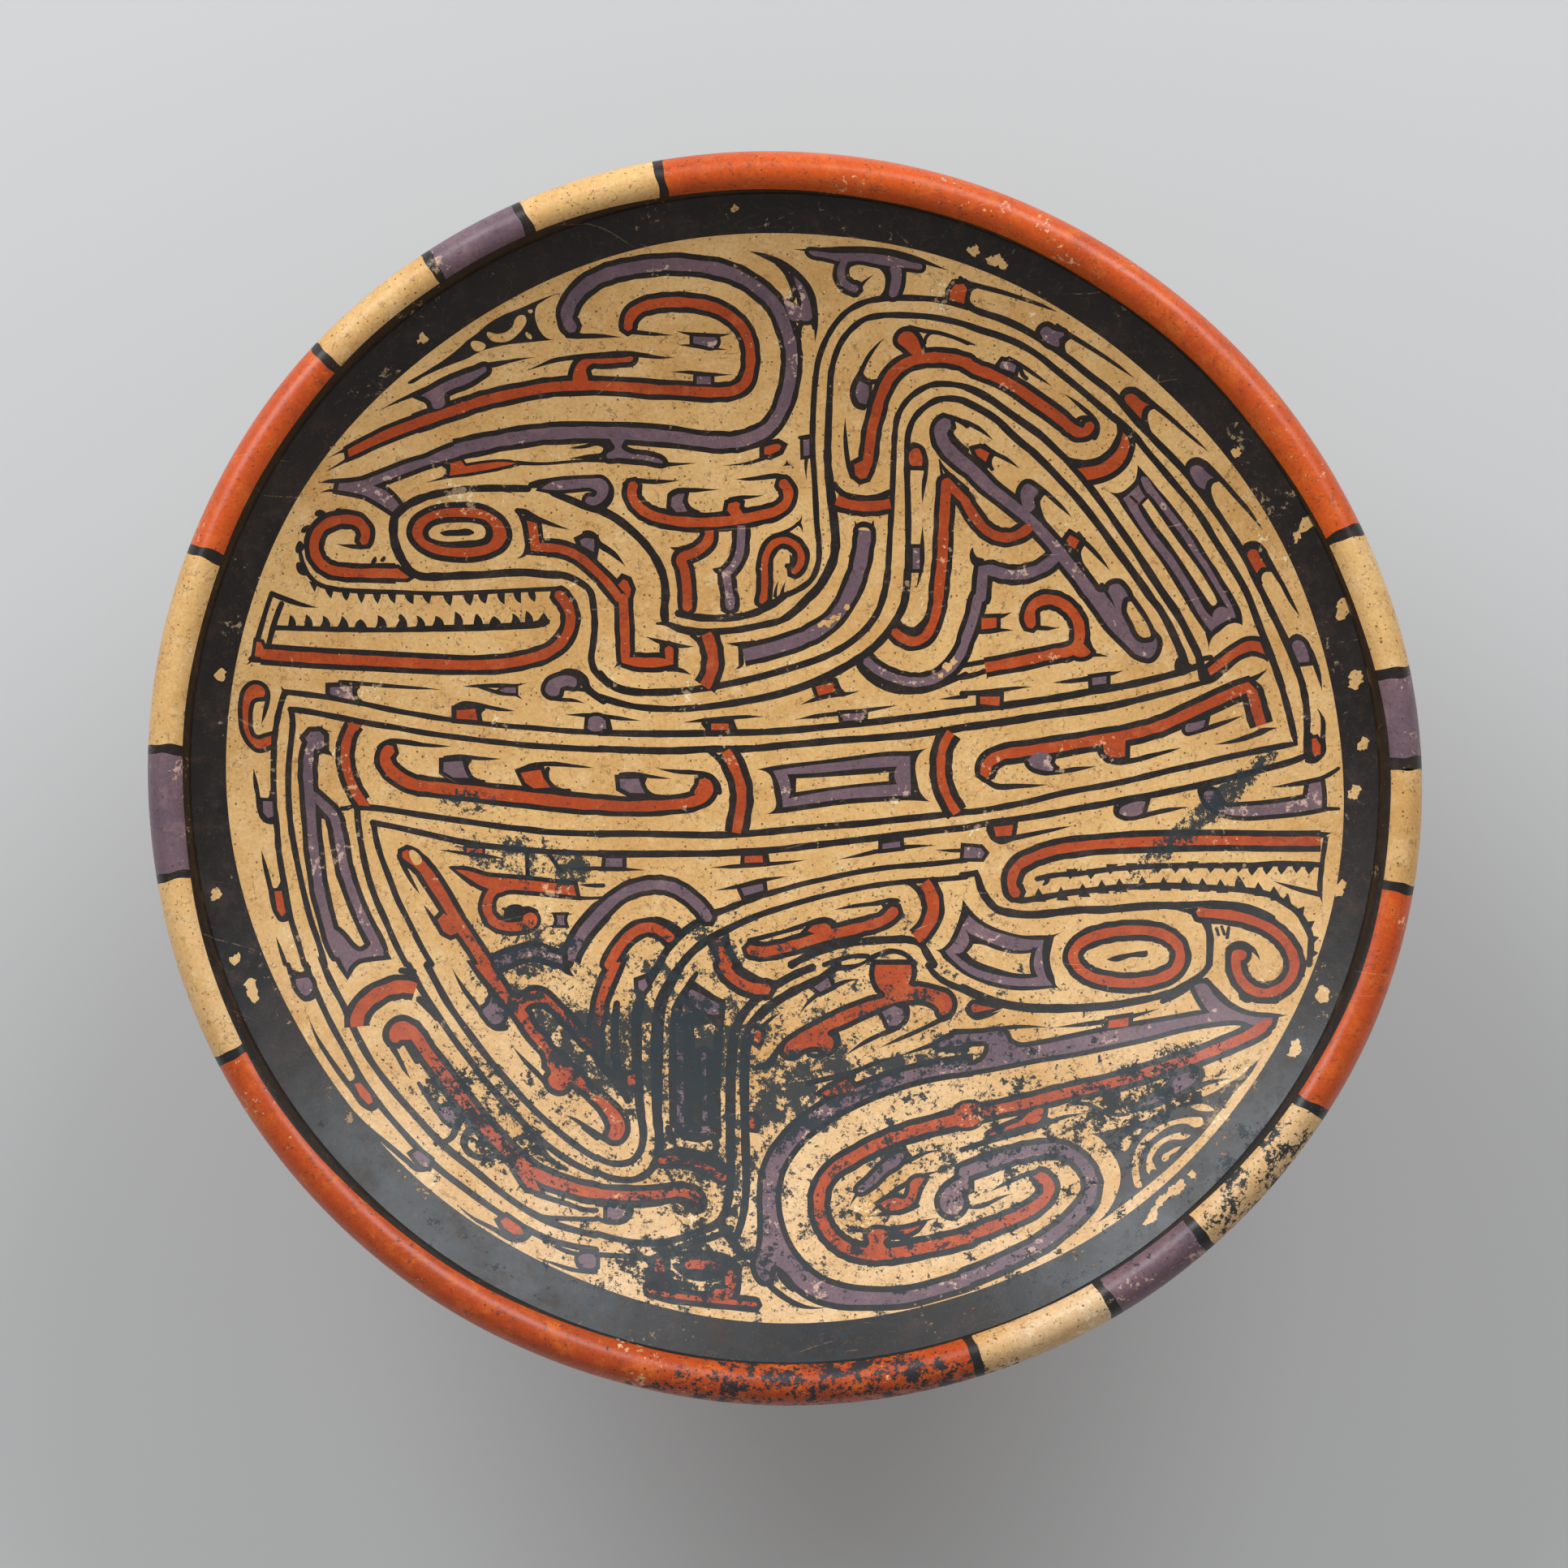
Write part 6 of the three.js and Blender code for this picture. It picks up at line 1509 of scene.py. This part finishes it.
line("-43,-98.3 -36,-98.8 -29,-98.4 -24,-97.8 -22,-99.6 -22.6,-101", 1.2)
patch(purple, "-40.5,-99.4! -37.2,-99 -36.4,-100.4 -37.6,-101.6 -40.5,-101.4!", 1)
line("-43,-101.4 -39,-102.6 -35.8,-101.8 -35,-99.8 -35.4,-98.8", 1.1)
line("-43,-105 -37,-106.6 -31,-107.4 -26,-106.8 -20.5,-105.2 -16,-103.4", 1.3, 1.5, 1.6, 1.6, 1.8)
line("-43,-109.8 -36,-110.2 -29,-110.6 -25.6,-109.2 -21,-107.2 -16,-106 -12,-104", 1.2, 1.3, 1.5, 1.5, 1.8)
line("-14,-103.5 -11.4,-107 -9.6,-109.6 -6.8,-110.4", 2.4, 2.4, 2, 1.6)
# the small red arch at the very bottom
band(red, 2.1, "-28.3,-111.6 -28.2,-114.6 -26.6,-117.4", 1.5)
band(red, 2, "-21.6,-112.2 -18.2,-112.2 -14.6,-113", 1.4)
band(red, 2.5, "-12.4,-113.6 -11.9,-116 -12.8,-118.6 -15,-119", 1.3)
band(red, 1.1, "-30.6,-117.8 -27,-118.8 -21.4,-119.6 -16.4,-120.2 -10,-120.8 -6.4,-121.2", 1.3)
line("-25.2,-109.8 -21.6,-109.6 -16.6,-109.8 -12.8,-110.8 -10,-113.4", 1.2, 1.5, 1.6, 1.6)
line("-24.6,-112.4 -22.6,-114 -19,-115.2 -15.6,-114.8", 1.4, 1.6, 1.6, 1)
# the big purple loop of the lower right
patch(purple, """43,-67.8! 36,-68.8 28.6,-70.6 23,-72.6 17,-75.2 12.4,-77.6 8,-80.6 4.6,-83.4 2,-86.4
    -0.2,-90 -1.4,-94 -1.6,-99 -0.6,-104 1.4,-108.6 4.4,-112.4 8.4,-115.6 14,-117.6 21,-118.4 29,-118
    37,-116 43,-114.1! 43,-116.7! 36,-118.8 28,-120.8 20,-121.2 13,-121 7.6,-119.6 3.4,-117 0.6,-113.8
    -2.2,-112.4 -3.6,-115.8 -6.2,-112 -5.2,-109.6 -4.6,-106 -4.6,-101 -4.7,-96 -4.2,-91.4 -2.8,-87.6
    0,-83.6 3,-80.4 6.6,-77.6 10.6,-75 15,-72.7 21,-70.3 28,-68 36,-66.2 43,-65.2!""", 1.4)
line("-5.2,-113 -3.6,-116.2 -0.2,-119.2 4,-121.4 10,-121.8", 1.2, 1.4, 1.2, 0)
line("-2,-112.2 -0.6,-115 2.4,-118", 0, 1, 1)
# the red loop inside it, with its comb of purple and red
band(red, 2.5, """43,-78.4 35,-80.4 28,-82.4 22,-84.8 16,-88 11.4,-91 9,-94.6 8.4,-98.6 9.2,-102.6
    11.4,-106 15,-108.6 20,-109.8 26,-109.6 32,-108.4 38,-107.2 43,-105.8""", 1.5)
patch(red, """19.6,-105.8! 20.2,-104.8 26,-104.6 32,-103.2! 28,-105.4 24.4,-105.8 23.2,-107 24,-109
    19,-109 20,-107.4""", 1.1)
line("35.6,-101.6 33,-102.2 28,-103.6 22,-104.2 17.4,-104.4 14.6,-103.2", 0, 1.1, 1.2, 1.2, 0.5)
line("36,-105 30,-107 25,-108.2", 0, 1, 1.2)
line("16,-104.2 19,-105 19.4,-106.8 17.8,-107.6 15.6,-107", 1, 1.3, 1.2, 0.8)
patch(purple, "17.6,-95.6 20,-92.6 23,-89.6 26,-87.2 28,-87 27.2,-89 24,-91.2 20.6,-94.4", 1.1)
line("15.4,-99.2 17.2,-96.2 20,-93.4 24.4,-90.4 29,-88.6 33,-86.8 37,-86", 0, 1.3, 1.2, 1.3, 1, 0)
line("28.4,-84.4 28.4,-86.2 29.6,-87.4", 0.8, 1.4, 1)
patch(red, """22.6,-98.4! 26,-97 28.4,-97.2 29.4,-95.2 29.6,-93.6 32.8,-92.6! 31.4,-95.2 30.4,-97.8
    28.4,-99.2 24,-99.6""", 1.1)
line("19.4,-101.4 22,-99 25,-96.2 29,-93.6 33,-91.8 36.4,-90.8", 0, 1.2, 1.3, 1.3, 0)
line("19.4,-101.4 24,-100.6 28,-100.2 31.4,-98.8", 0, 1.2, 1.1, 0.8)
# the purple loop's left end
patch(purple, """43,-91.6! 40.4,-93 37.4,-95.4 36.4,-98 37.4,-100.2 39.4,-100.8 41.8,-98.6 41.6,-96
    43,-94.8!""", 1.4)
# the third red twig with its purple leaf
patch(red, """21.8,-43! 21.6,-46 22.6,-48.4 24,-49.8 20,-51.6 14,-53.9 8,-57 3,-59.8 0.8,-61.6 0.4,-63.6
    1.6,-64.2 5,-62.6 8.4,-62.2 10,-63.2 11.8,-62 11.6,-60.2 10.6,-59.4 15,-56.6 20,-54.2 25,-52.2
    30,-51.2 34,-51.6 36.4,-53.2 37,-54.6 38.6,-54.2 39.6,-51.8 38.6,-50 36,-49 31.6,-48! 29.8,-47.8
    30.2,-45 30,-43!""", 1.3)
line("6,-64 9,-64.2 12,-62.8 13,-60.8 12.4,-58.8", 1.2)
block(purple, "23.2,-54 26,-52.6 28,-53.4 28.4,-55.4 26.8,-57.2 24.8,-57.2 24,-55.4", 1.1)
line("21,-54 23.6,-55.4 24,-57.4", 0.8, 1.2, 1)
line("14.4,-64.4 18,-61.8 22.6,-59.4 27,-57.6 29,-55.6 29,-53", 0, 1, 1.2, 1.2, 1.2)
line("22.6,-62.4 28,-60 33,-57.8 37.4,-55.6", 0, 1, 1.1, 1.2)
line("39.6,-50.4 40,-53.6 38.4,-55.4 36.4,-56", 1.2)
line("34,-43 35.6,-45.2 38.4,-47.2 42,-48.6", 1.4, 1.8)
# the purple leaf's tail at the right edge and red tips at the left of the long purple band
patch(purple, "36.2,-61.8 38,-60.6 43,-60! 43,-61.4! 39,-62", 1.1)
line("27,-64.4 31,-63 35,-61.6 38,-59.8 43,-58.9", 0, 1, 1.2, 1.2)
line("35.4,-62 39,-63 43,-62.8", 1.2)
block(red, "9,-73 12,-71.2 14.8,-69.8 16.2,-71 17,-72.4 14,-73 10.4,-73.6", 1.2)
line("6,-70.6 11,-69.4 16,-68.2 22,-65.8 27,-64.2", 1.4, 1.4, 1.3, 1.1, 0)
line("16.6,-68.8 16.4,-70.8 17.8,-71.8 22,-70.6", 1.2)
line("0.4,-60.8 -1.6,-63.6 -3,-66 -5.8,-66.8", 1.2, 1.6, 2, 1.4)
band(red, 1.6, "-5.8,-59 -6,-60.6", 1.1)
line("-5,-57.8 -3,-55.8 -0.4,-54.2", 1, 0.9, 0)

# lower left: purple drop at the outer line, top left
patch(purple, "-112.2,-46.4! -109.6,-46! -108.6,-49 -109.8,-50.2 -111.2,-49.2", 1.1)
line("-114,-43 -112.8,-46.6 -111.6,-49.6 -109.9,-51 -108.2,-50.4", 1.2)
line("-112.6,-44.6 -110.9,-45.2 -109.4,-43.6", 1)
# the long lines that sweep along the lower edge
line("""-110.1,-43 -108.6,-47 -106.6,-51.6 -104,-57 -101,-62.4 -98.2,-67.4 -95.4,-71.8 -92,-76.4 -88,-81
    -83.6,-85.8 -79,-90.2 -74,-94 -69.4,-97.4 -64.4,-100.8 -59,-103.8 -53.6,-106.4 -48.4,-107.8
    -43,-108.8""", 1.5)
line("""-106.6,-41.5 -104.6,-46.6 -101.6,-52.2 -98.8,-58.4 -95.6,-64.4 -92.2,-69.2 -88.6,-73.6 -84.8,-77.8
    -80.6,-82.4 -76,-86.6 -71.4,-90.2 -66.6,-94.2 -62.4,-97.4 -58,-100.2 -52.6,-102.8 -47.4,-104.4
    -43,-105.4""", 1.6)
line("""-86.9,-43 -84.6,-47.6 -82.2,-51.6 -79.4,-55.8 -76.4,-60.2 -73,-64.6 -69.4,-69.4 -65.6,-73.8
    -61.6,-78.2 -57.6,-82.2 -53.4,-85.8 -48.6,-89 -43,-91.6""", 1.6)
line("""-82.7,-43 -80.6,-47 -77.8,-52 -74.6,-56.6 -71.2,-61.2 -67.4,-66 -63.4,-70.6 -59.4,-75 -55.2,-79
    -51.2,-82.4 -47,-85.6 -43,-88""", 1.6)
# three tapered lines with a drop each
line("""-109.2,-55.2 -107.2,-60 -104.6,-64.2 -101.8,-68.2 -98.8,-72.2 -96.6,-75.2 -94.4,-76.2
    -93.4,-75.4""", 0, 1, 1.2, 1.2, 1.2)
line("-99.9,-70.4 -98.4,-69.8 -98.6,-67.6", 1.1)
block(red, "-98.7,-70.6 -97.4,-70.2 -95,-73 -94.4,-74.8 -95.4,-75.2 -97.2,-73.4", 1)
line("-98.4,-76.8 -94.8,-81 -90.6,-84.6 -86.6,-88 -83.6,-90.2 -81.2,-89.8", 0, 1, 1.2, 1.2, 1.1)
block(purple, "-85.2,-86.6 -84,-85.8 -81.2,-88 -81.6,-89.6 -83.2,-89.2", 1)
line("-75,-98 -71,-101.4 -66.4,-103.8 -62,-106.2 -59.6,-106.2 -58,-104.6", 0, 1, 1.2, 1.2)
block(red, "-65,-102 -63.6,-101.2 -60.4,-103.4 -59.6,-105 -61.6,-105.2 -64,-103.6", 1.1)
line("-57,-110.2 -53,-111.6 -48,-113.2 -43,-113.6", 0, 1, 1.2)
patch(purple, "-47,-110.6 -43,-110.6! -43,-112.4! -46,-112.4", 1)
line("-43,-109.8 -48.4,-109.4 -52,-108", 1.2, 1.1, 0.9)
# the red arch between the lines
band(red, 2.9, "| -98.3,-57.4 -98.2,-55 -96.8,-52.4 -94,-50 -91,-48.6 -87.8,-48.1 -85.2,-48.6 |", 1.5)
line("-88.6,-44.4 -85.6,-44.6", 1.4)
line("-84.4,-51 -82.2,-53.2 -80.4,-55.6", 1.6, 1.5, 1)
# the red hook that runs along the body to the lower red bar
band(red, 2.5, """-89.6,-60 -89.6,-58.4 -88,-57.4 -86.2,-58.2 -84.4,-60.4 -82,-64 -79.2,-67.6 -76.4,-71.4
    -73,-75.6 -70,-79.4 -66.6,-83 -63,-86.6 -59.4,-89.8 -55.4,-92.2 -50,-94.2 -46,-95.4 -43,-95.9""", 1.5)
patch(red, "-90,-58.4 -88.2,-56.8 -85.8,-57.4 -84.6,-60! -88.4,-60.4 -90,-60.2", 1.4)
line("-91.4,-58.6 -90.6,-61.4 -88.8,-64.6 -87.6,-67 -85.9,-69.6", 1.4, 1.4, 1.2, 1, 0)
line("-87.4,-60.8 -86.4,-62.6 -84.6,-65.4", 1.4)
line("-84.2,-70.4 -81.6,-74 -78.6,-77.4 -75.4,-79.8", 0.8, 1.6, 2.6, 2.4)
block(purple, "-79.6,-76.4 -77.4,-75.6 -75.4,-78 -76,-80 -78,-78.8", 1)
line("-75.6,-80 -77,-83.4 -78.6,-84", 1.8, 1.6, 1.4)
line("-71.4,-80.4 -73.4,-85 -70.6,-87.4 -66.6,-87.2", 2, 1.8, 1.6, 1.4)
block(red, "-61.4,-91 -58.6,-90.6 -57,-93.4 -56,-95.4 -58.8,-94.6", 1.3)
line("-57,-96 -50,-98.2 -45.6,-99.6 -43,-99.8", 1.2)
line("-60.4,-98.4 -56,-101 -50,-101.6 -43,-101.8", 1, 1.2, 1.2)
# the drop and the whisker by the red fork
line("-77,-43.6 -74.4,-48.4 -71.4,-52.4 -68.6,-56.2 -66.4,-57.8 -64.4,-57.6", 0, 1, 1.3, 1.4, 1.4)
line("-69.6,-53.2 -68.2,-51.6 -68.2,-49 -70,-45 -71.4,-43", 1.2)
patch(purple, """-69.8,-53.8 -68.6,-52.4 -67.8,-50.4! -66.8,-52 -65,-53.5! -64.9,-55 -66,-56.6 -67.4,-56.8
    -68.8,-55.4""", 1.1)
patch(red, """-71.8,-43! -71,-44 -69.4,-46 -67.7,-48 -66.1,-50 -64.6,-52 -63.2,-53.5 -62,-55 -60.8,-56.7
    -59.6,-58.6 -58.2,-60.4 -56.7,-62 -55.6,-63.2 -55,-64.6 -54.8,-66.4! -53.9,-68.2 -54.5,-69.4
    -54.2,-70.8 -52.8,-72! -51.2,-72.1 -50.1,-71! -49.7,-70.2 -48.6,-70.6 -47.1,-71.6 -45.5,-72.9
    -43.9,-74.5 -42.3,-76.1 -40.9,-78.3 -40.1,-80.2 -40.1,-81.5 -40.6,-82.6! -39.8,-83.6 -38.2,-83.6
    -36.9,-82.1 -36.8,-79.9 -38.2,-77.3 -40.1,-75.4 -42,-73.8 -44.3,-72.9 -45.9,-70.6 -47.8,-67.8
    -49.7,-66.6 -51.2,-64.6 -52.8,-63.6 -54.6,-62 -55.4,-60.1 -56.7,-58.8 -58.6,-56.6 -59.2,-55
    -60.2,-53.4! -59.2,-52.3 -57.6,-51.8 -56,-51.8 -54.4,-52.8 -52.8,-53.9 -51.2,-56 -49.6,-57.2 -48,-59.1
    -46.8,-60.8 -45.5,-62 -43.6,-63.3 -42.5,-64.4! -42.6,-62.3 -42.8,-60.4 -42.8,-57.9 -42.3,-56
    -41.8,-53.7 -41.7,-51.8 -41,-49.9 -40.1,-47.6 -39.3,-45.7 -38.5,-43.8 -37.9,-42.4! -40.5,-42.4!
    -40.7,-43.8 -41.7,-45.8 -42.3,-47.6 -43.1,-49.9 -43.6,-51.8 -43.8,-53.7 -44.4,-56 -44.6,-57.9
    -44.7,-60! -45.8,-60 -47.1,-58.5 -48.4,-56.9 -49.7,-55.2 -51.3,-53.7 -52.8,-52.3 -54.1,-50.9
    -56.1,-49.4 -58.3,-49.1 -59.9,-49.9 -61.5,-51.2! -62.4,-50.9 -63.9,-49.9 -64.8,-48.3 -66.2,-46.1
    -67.5,-44.2 -68.2,-43!""", 1.4)
line("-41,-83.6 -43.4,-82.2 -45.8,-80.6 -48.2,-79 -50.6,-77.8", 1.5, 1.4, 1.2, 1, 0)
line("-62.8,-62 -60,-65.4 -57,-68.4 -55,-70.6", 0, 1, 1.3, 1.3)
line("-62,-83.4 -58.6,-83 -54,-88 -50,-90.4", 1, 1.4, 1.4, 1)
line("-46.4,-80.8 -43,-83.2", 1, 1.4)

# The band and what is chipped from it
# The black band reaches from the field's edge to the lip. Here and there it is chipped through to
# the cream ground.
turn = np.radians(np.arange(0, 360, 1.5))
waver = 0.35 * np.sin(4 * turn + 1) + 0.2 * np.sin(9 * turn)
along = (field_long + waver) * np.cos(turn)
across = (field_wide + waver) * np.sin(turn)
field_edge = np.stack([field_middle[0] + along * np.cos(long_axis) - across * np.sin(long_axis),
                       field_middle[1] + along * np.sin(long_axis) + across * np.cos(long_axis)], -1)


def ragged(outline):
    """A chip's outline broken into 0.5 mm steps and moved by up to 0.5 mm, by waves of 1 to 3 mm."""
    ring = np.vstack([outline, outline[:1]])
    run = np.concatenate([[0], np.cumsum(np.hypot(*np.diff(ring, axis=0).T))])
    stops = np.linspace(0, run[-1], max(10, int(run[-1] / 0.5)), endpoint=False)
    x, y = np.interp(stops, run, ring[:, 0]), np.interp(stops, run, ring[:, 1])
    return np.stack([x + 0.25 * np.sin(2.3 * y + 1) + 0.22 * np.sin(5.7 * y - 3 * x),
                     y + 0.25 * np.sin(2.7 * x) + 0.22 * np.sin(6.1 * x + 2.2 * y)], -1)


# Chips in the band, and small losses in the painting right above the middle, in mm seen from above
chip_shapes = [
    "118,54 119.4,56 121.2,57.2 122.4,59.6 121.4,61 119.8,59.4 118.6,57.4 117.6,55.6",
    "104,74 105.4,74.2 105.2,76 103.8,75.8",
    "47,119.4 49,118 51.6,117.6 51.2,119.2 49,120.4",
    "42.6,121.6 44.6,120.4 45.6,121.4 44,122.6",
    "-84.2,100.4 -82.6,100.2 -82,101.8 -83.4,102.2",
    "-12,130.6 -11,130.2 -10.4,131.4 -11.6,131.8",
    "123.4,-48 124.6,-48.2 124.8,-51.6 123.4,-52",
    "118.2,-60 118.8,-61 117,-64.4 116.2,-64 116.8,-61.6",
    "94.2,-90.4 95,-91.4 94,-92.2 93.2,-91.2",
    "91.6,-92.6 92.4,-93.4 89.8,-95.8 87.6,-97.2 86,-99.8 84.4,-102.6 83,-102.4 84.4,-99.8 86,-97 88.6,-94.8",
    "-123.2,-46.8 -121.6,-46.2 -120.8,-49 -120.4,-51.4 -121.8,-51.6 -123,-49.4",
    "-126.6,-41 -125.2,-40.6 -124.6,-42.6 -126,-43.2",
    "-130,22 -128.6,22.4 -128.8,25 -130,24.6",
    "-131,-26 -129.8,-25.6 -129.4,-28 -130.6,-28.4",
    "128.6,36 129.6,37 129,41 127.8,40.4",
    "131.4,20 132.4,20.6 132.2,24.6 130.8,24.2",
    "133,6 134,6.4 133.8,9 132.6,8.6",
    "131,-2 132,-1.6 131.8,-5 130.8,-5.2",
    "127.6,-24 128.6,-23.6 128.4,-27 127.2,-27.2",
    "8.4,36.4 9.4,37.8 10.6,37.9 11.4,39 12.6,38.8 13.6,39.8 13.2,38.4 12,37.4 11,36.4 9.8,36.6",
    "14.2,40.6 15,41.6 15.6,41.2 14.8,40.2",
    "37.4,26.8 38.2,27.9 39.4,28 40,29 41,28.8 40.6,27.6 39.6,26.8 39.4,25.8 38.4,26.2",
    "36.2,24.8 37,25.6 37.6,25 36.9,24.4",
]
chips = [ragged(brushed(text, closed=True)) for text in chip_shapes]

# The slips meet edge to edge, as cut from one net of triangles. Its corners are the strokes' outlines
# and a pattern of points 6 mm apart, close enough for the bowl's curve, out to the brim under the lip.
round_angle = np.radians(np.arange(0, 360, 1.0))
brim = (wall_top_inside[0] + 0.2 * mm) / mm
flat = by_hand(np.array(brim * mm), np.array(0.0), round_angle)[:, :2] / mm
spacing, net_reach, clear_of_brim = 6.0, 138, 3.5
columns = np.arange(-net_reach, net_reach + 0.1, spacing)
rows = np.arange(-net_reach, net_reach + 0.1, spacing * 0.866)
net = np.stack(np.meshgrid(columns, rows), -1)
net[1::2, :, 0] += spacing / 2
net = net.reshape(-1, 2)
net = net[np.hypot(*net.T) < brim - clear_of_brim]

outlines = [outline for level in coats.values() for colour, outline in level] + [field_edge, *chips, flat]
sizes = np.array([len(outline) for outline in outlines])
starts = np.concatenate([[0], np.cumsum(sizes)[:-1]])
ahead = np.arange(sizes.sum()) + 1
ahead[starts + sizes - 1] = starts
edges = np.stack([np.arange(sizes.sum()), ahead], -1)
corners, _, triangles, _, _, _ = delaunay_2d_cdt(
    np.vstack(outlines + [net]).tolist(), edges.tolist(), [], 0, 1e-4, False)
corners = np.array([tuple(corner) for corner in corners])
triangles = np.array(triangles)
middles = corners[triangles].mean(1)


def within(outline, spots):
    """Which spots an outline winds round: crossings upwards to their right less crossings downwards."""
    x, y = spots[:, 0, None], spots[:, 1, None]
    ax, ay = outline.T
    bx, by = np.roll(outline, -1, 0).T
    left = (bx - ax) * (y - ay) - (by - ay) * (x - ax)
    up = (ay <= y) & (by > y) & (left > 0)
    fall = (ay > y) & (by <= y) & (left < 0)
    return up.sum(1) != fall.sum(1)


# Which slip each triangle has: cream inside the brim, over it the coats from the lowest to the
# highest, then the black band outside the field, and cream again where the band is chipped
names = ["bare", "cream", "black", "red", "purple"]
coat_of = np.zeros(len(triangles), int)
inside_brim = within(flat, middles)
coat_of[inside_brim] = names.index("cream")
for level in coats.values():
    for colour, outline in level:
        low, high = outline.min(0), outline.max(0)
        close = np.nonzero(((middles > low) & (middles < high)).all(1))[0]
        coat_of[close[within(outline, middles[close])]] = names.index(colour)
coat_of[inside_brim & ~within(field_edge, middles)] = names.index("black")
for chip in chips:
    coat_of[inside_brim & within(chip, middles)] = names.index("cream")


def dish(spots):
    """Points on the bowl's inside face over spots in mm, seen from above: the spot is taken back to the
    true round pot, given the inside height at its radius there, and shaped by hand again."""
    x, y = spots.T * mm
    along = (x * np.cos(long_axis) + y * np.sin(long_axis)) / (1 + out_of_round)
    across = (-x * np.sin(long_axis) + y * np.cos(long_axis)) / (1 - out_of_round)
    angle = np.arctan2(across, along) + long_axis
    radius = np.hypot(along, across)
    radius = radius - push_out(radius, angle)
    return by_hand(radius, inside_height(radius), angle)


# Where the corners lie on the bowl, and which way its face looks there
slip_depth = 0.3 * mm
tops = dish(corners)
nudge = 0.05
slopes = [(dish(corners + step)[:, 2] - dish(corners - step)[:, 2]) / (2 * nudge * mm)
          for step in ((nudge, 0), (0, nudge))]
facing = np.stack([-slopes[0], -slopes[1], np.ones(len(corners))], -1)
facing /= np.linalg.norm(facing, axis=1)[:, None]


def slip_coat(name, colour, material):
    """The triangles of one colour as a closed skin: a top face in the bowl's own curve, the same face
    slip_depth below it, and sides round its edges. The top's normals are the bowl's."""
    mine = triangles[coat_of == names.index(colour)]
    used, mine = np.unique(mine, return_inverse=True)
    mine = mine.reshape(-1, 3)
    count = len(used)
    sides = np.concatenate([mine[:, [0, 1]], mine[:, [1, 2]], mine[:, [2, 0]]])
    keys, back_keys = sides[:, 0] * count + sides[:, 1], sides[:, 1] * count + sides[:, 0]
    rim = sides[~np.isin(keys, back_keys)]
    a, b = rim.T
    faces = np.vstack([mine, mine[:, ::-1] + count, np.stack([a, a + count, b + count], -1),
                       np.stack([a, b + count, b], -1)])
    points = np.vstack([tops[used], tops[used] - facing[used] * slip_depth])
    mesh = bpy.data.meshes.new(name)
    mesh.from_pydata(points, [], faces)
    mesh.shade_smooth()
    flat_way = np.cross(points[faces[:, 1]] - points[faces[:, 0]], points[faces[:, 2]] - points[faces[:, 0]])
    flat_way /= np.linalg.norm(flat_way, axis=1)[:, None].clip(1e-12)
    corner_ways = np.repeat(flat_way[:, None], 3, 1)
    corner_ways[:len(mine)] = facing[used][mine]
    mesh.normals_split_custom_set(corner_ways.reshape(-1, 3).tolist())
    piece = bpy.data.objects.new(name, mesh)
    bpy.context.collection.objects.link(piece)
    piece.data.materials.append(material)
    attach(piece, "root")


# Its near-side tone is painted light: a painted sheen of the lamps on the red fills towards the near side
red_slip = burnished_slip("red_slip", "#ba4815", "#a03c12", "#c8602c", "#e0a272", 0.38,
                          wear=0.5, specks=0.35, near_side_lighting_tone="#b64b27")
slip_coat("cream_ground", "cream", cream_slip)
slip_coat("black_lines_and_band", "black", black_slip)
slip_coat("red_fills", "red", red_slip)
slip_coat("purple_fills", "purple", purple_slip)

# The studio
# A plain pale floor, two broad soft lamps of slightly cool light beyond the far side of the bowl,
# one to the right and one to the left, which both shine along the near wall, and an even pale surround.
floor_size = 6.0
floor_mesh = bpy.data.meshes.new("studio_floor")
half = floor_size / 2
floor_corners = [(-half, -half, 0), (half, -half, 0), (half, half, 0), (-half, half, 0)]
floor_mesh.from_pydata(floor_corners, [], [(0, 1, 2, 3)])
floor = bpy.data.objects.new("studio_floor", floor_mesh)
bpy.context.collection.objects.link(floor)
paper = bpy.data.materials.new("pale_paper")
paper.use_nodes = True
paper.node_tree.nodes["Principled BSDF"].inputs["Base Color"].default_value = linear("#c9c9c8")
paper.node_tree.nodes["Principled BSDF"].inputs["Roughness"].default_value = 0.9
floor.data.materials.append(paper)


def lamp(name, place, size, power):
    """A square area lamp that faces the bowl."""
    data = bpy.data.lights.new(name, "AREA")
    data.size = size
    data.energy = power
    data.color = (0.93, 0.97, 1.0)
    light = bpy.data.objects.new(name, data)
    bpy.context.collection.objects.link(light)
    place = np.array(place)
    light.location = place
    from_bowl = place - [0, 0, pot_height]
    flat_reach = np.hypot(from_bowl[0], from_bowl[1])
    light.rotation_euler = (np.arctan2(flat_reach, from_bowl[2]), 0, np.arctan2(from_bowl[0], -from_bowl[1]))


lamp("right_softbox", (0.85, 1.35, 1.35), 1.1, 24)
lamp("left_softbox", (-1.1, 1.25, 1.35), 1.1, 31)
world = bpy.data.worlds.new("pale_surround")
world.use_nodes = True
world.node_tree.nodes["Background"].inputs["Color"].default_value = linear("#f2f2f2")
world.node_tree.nodes["Background"].inputs["Strength"].default_value = 0.37
bpy.context.scene.world = world
bpy.context.scene.view_settings.view_transform = "Standard"
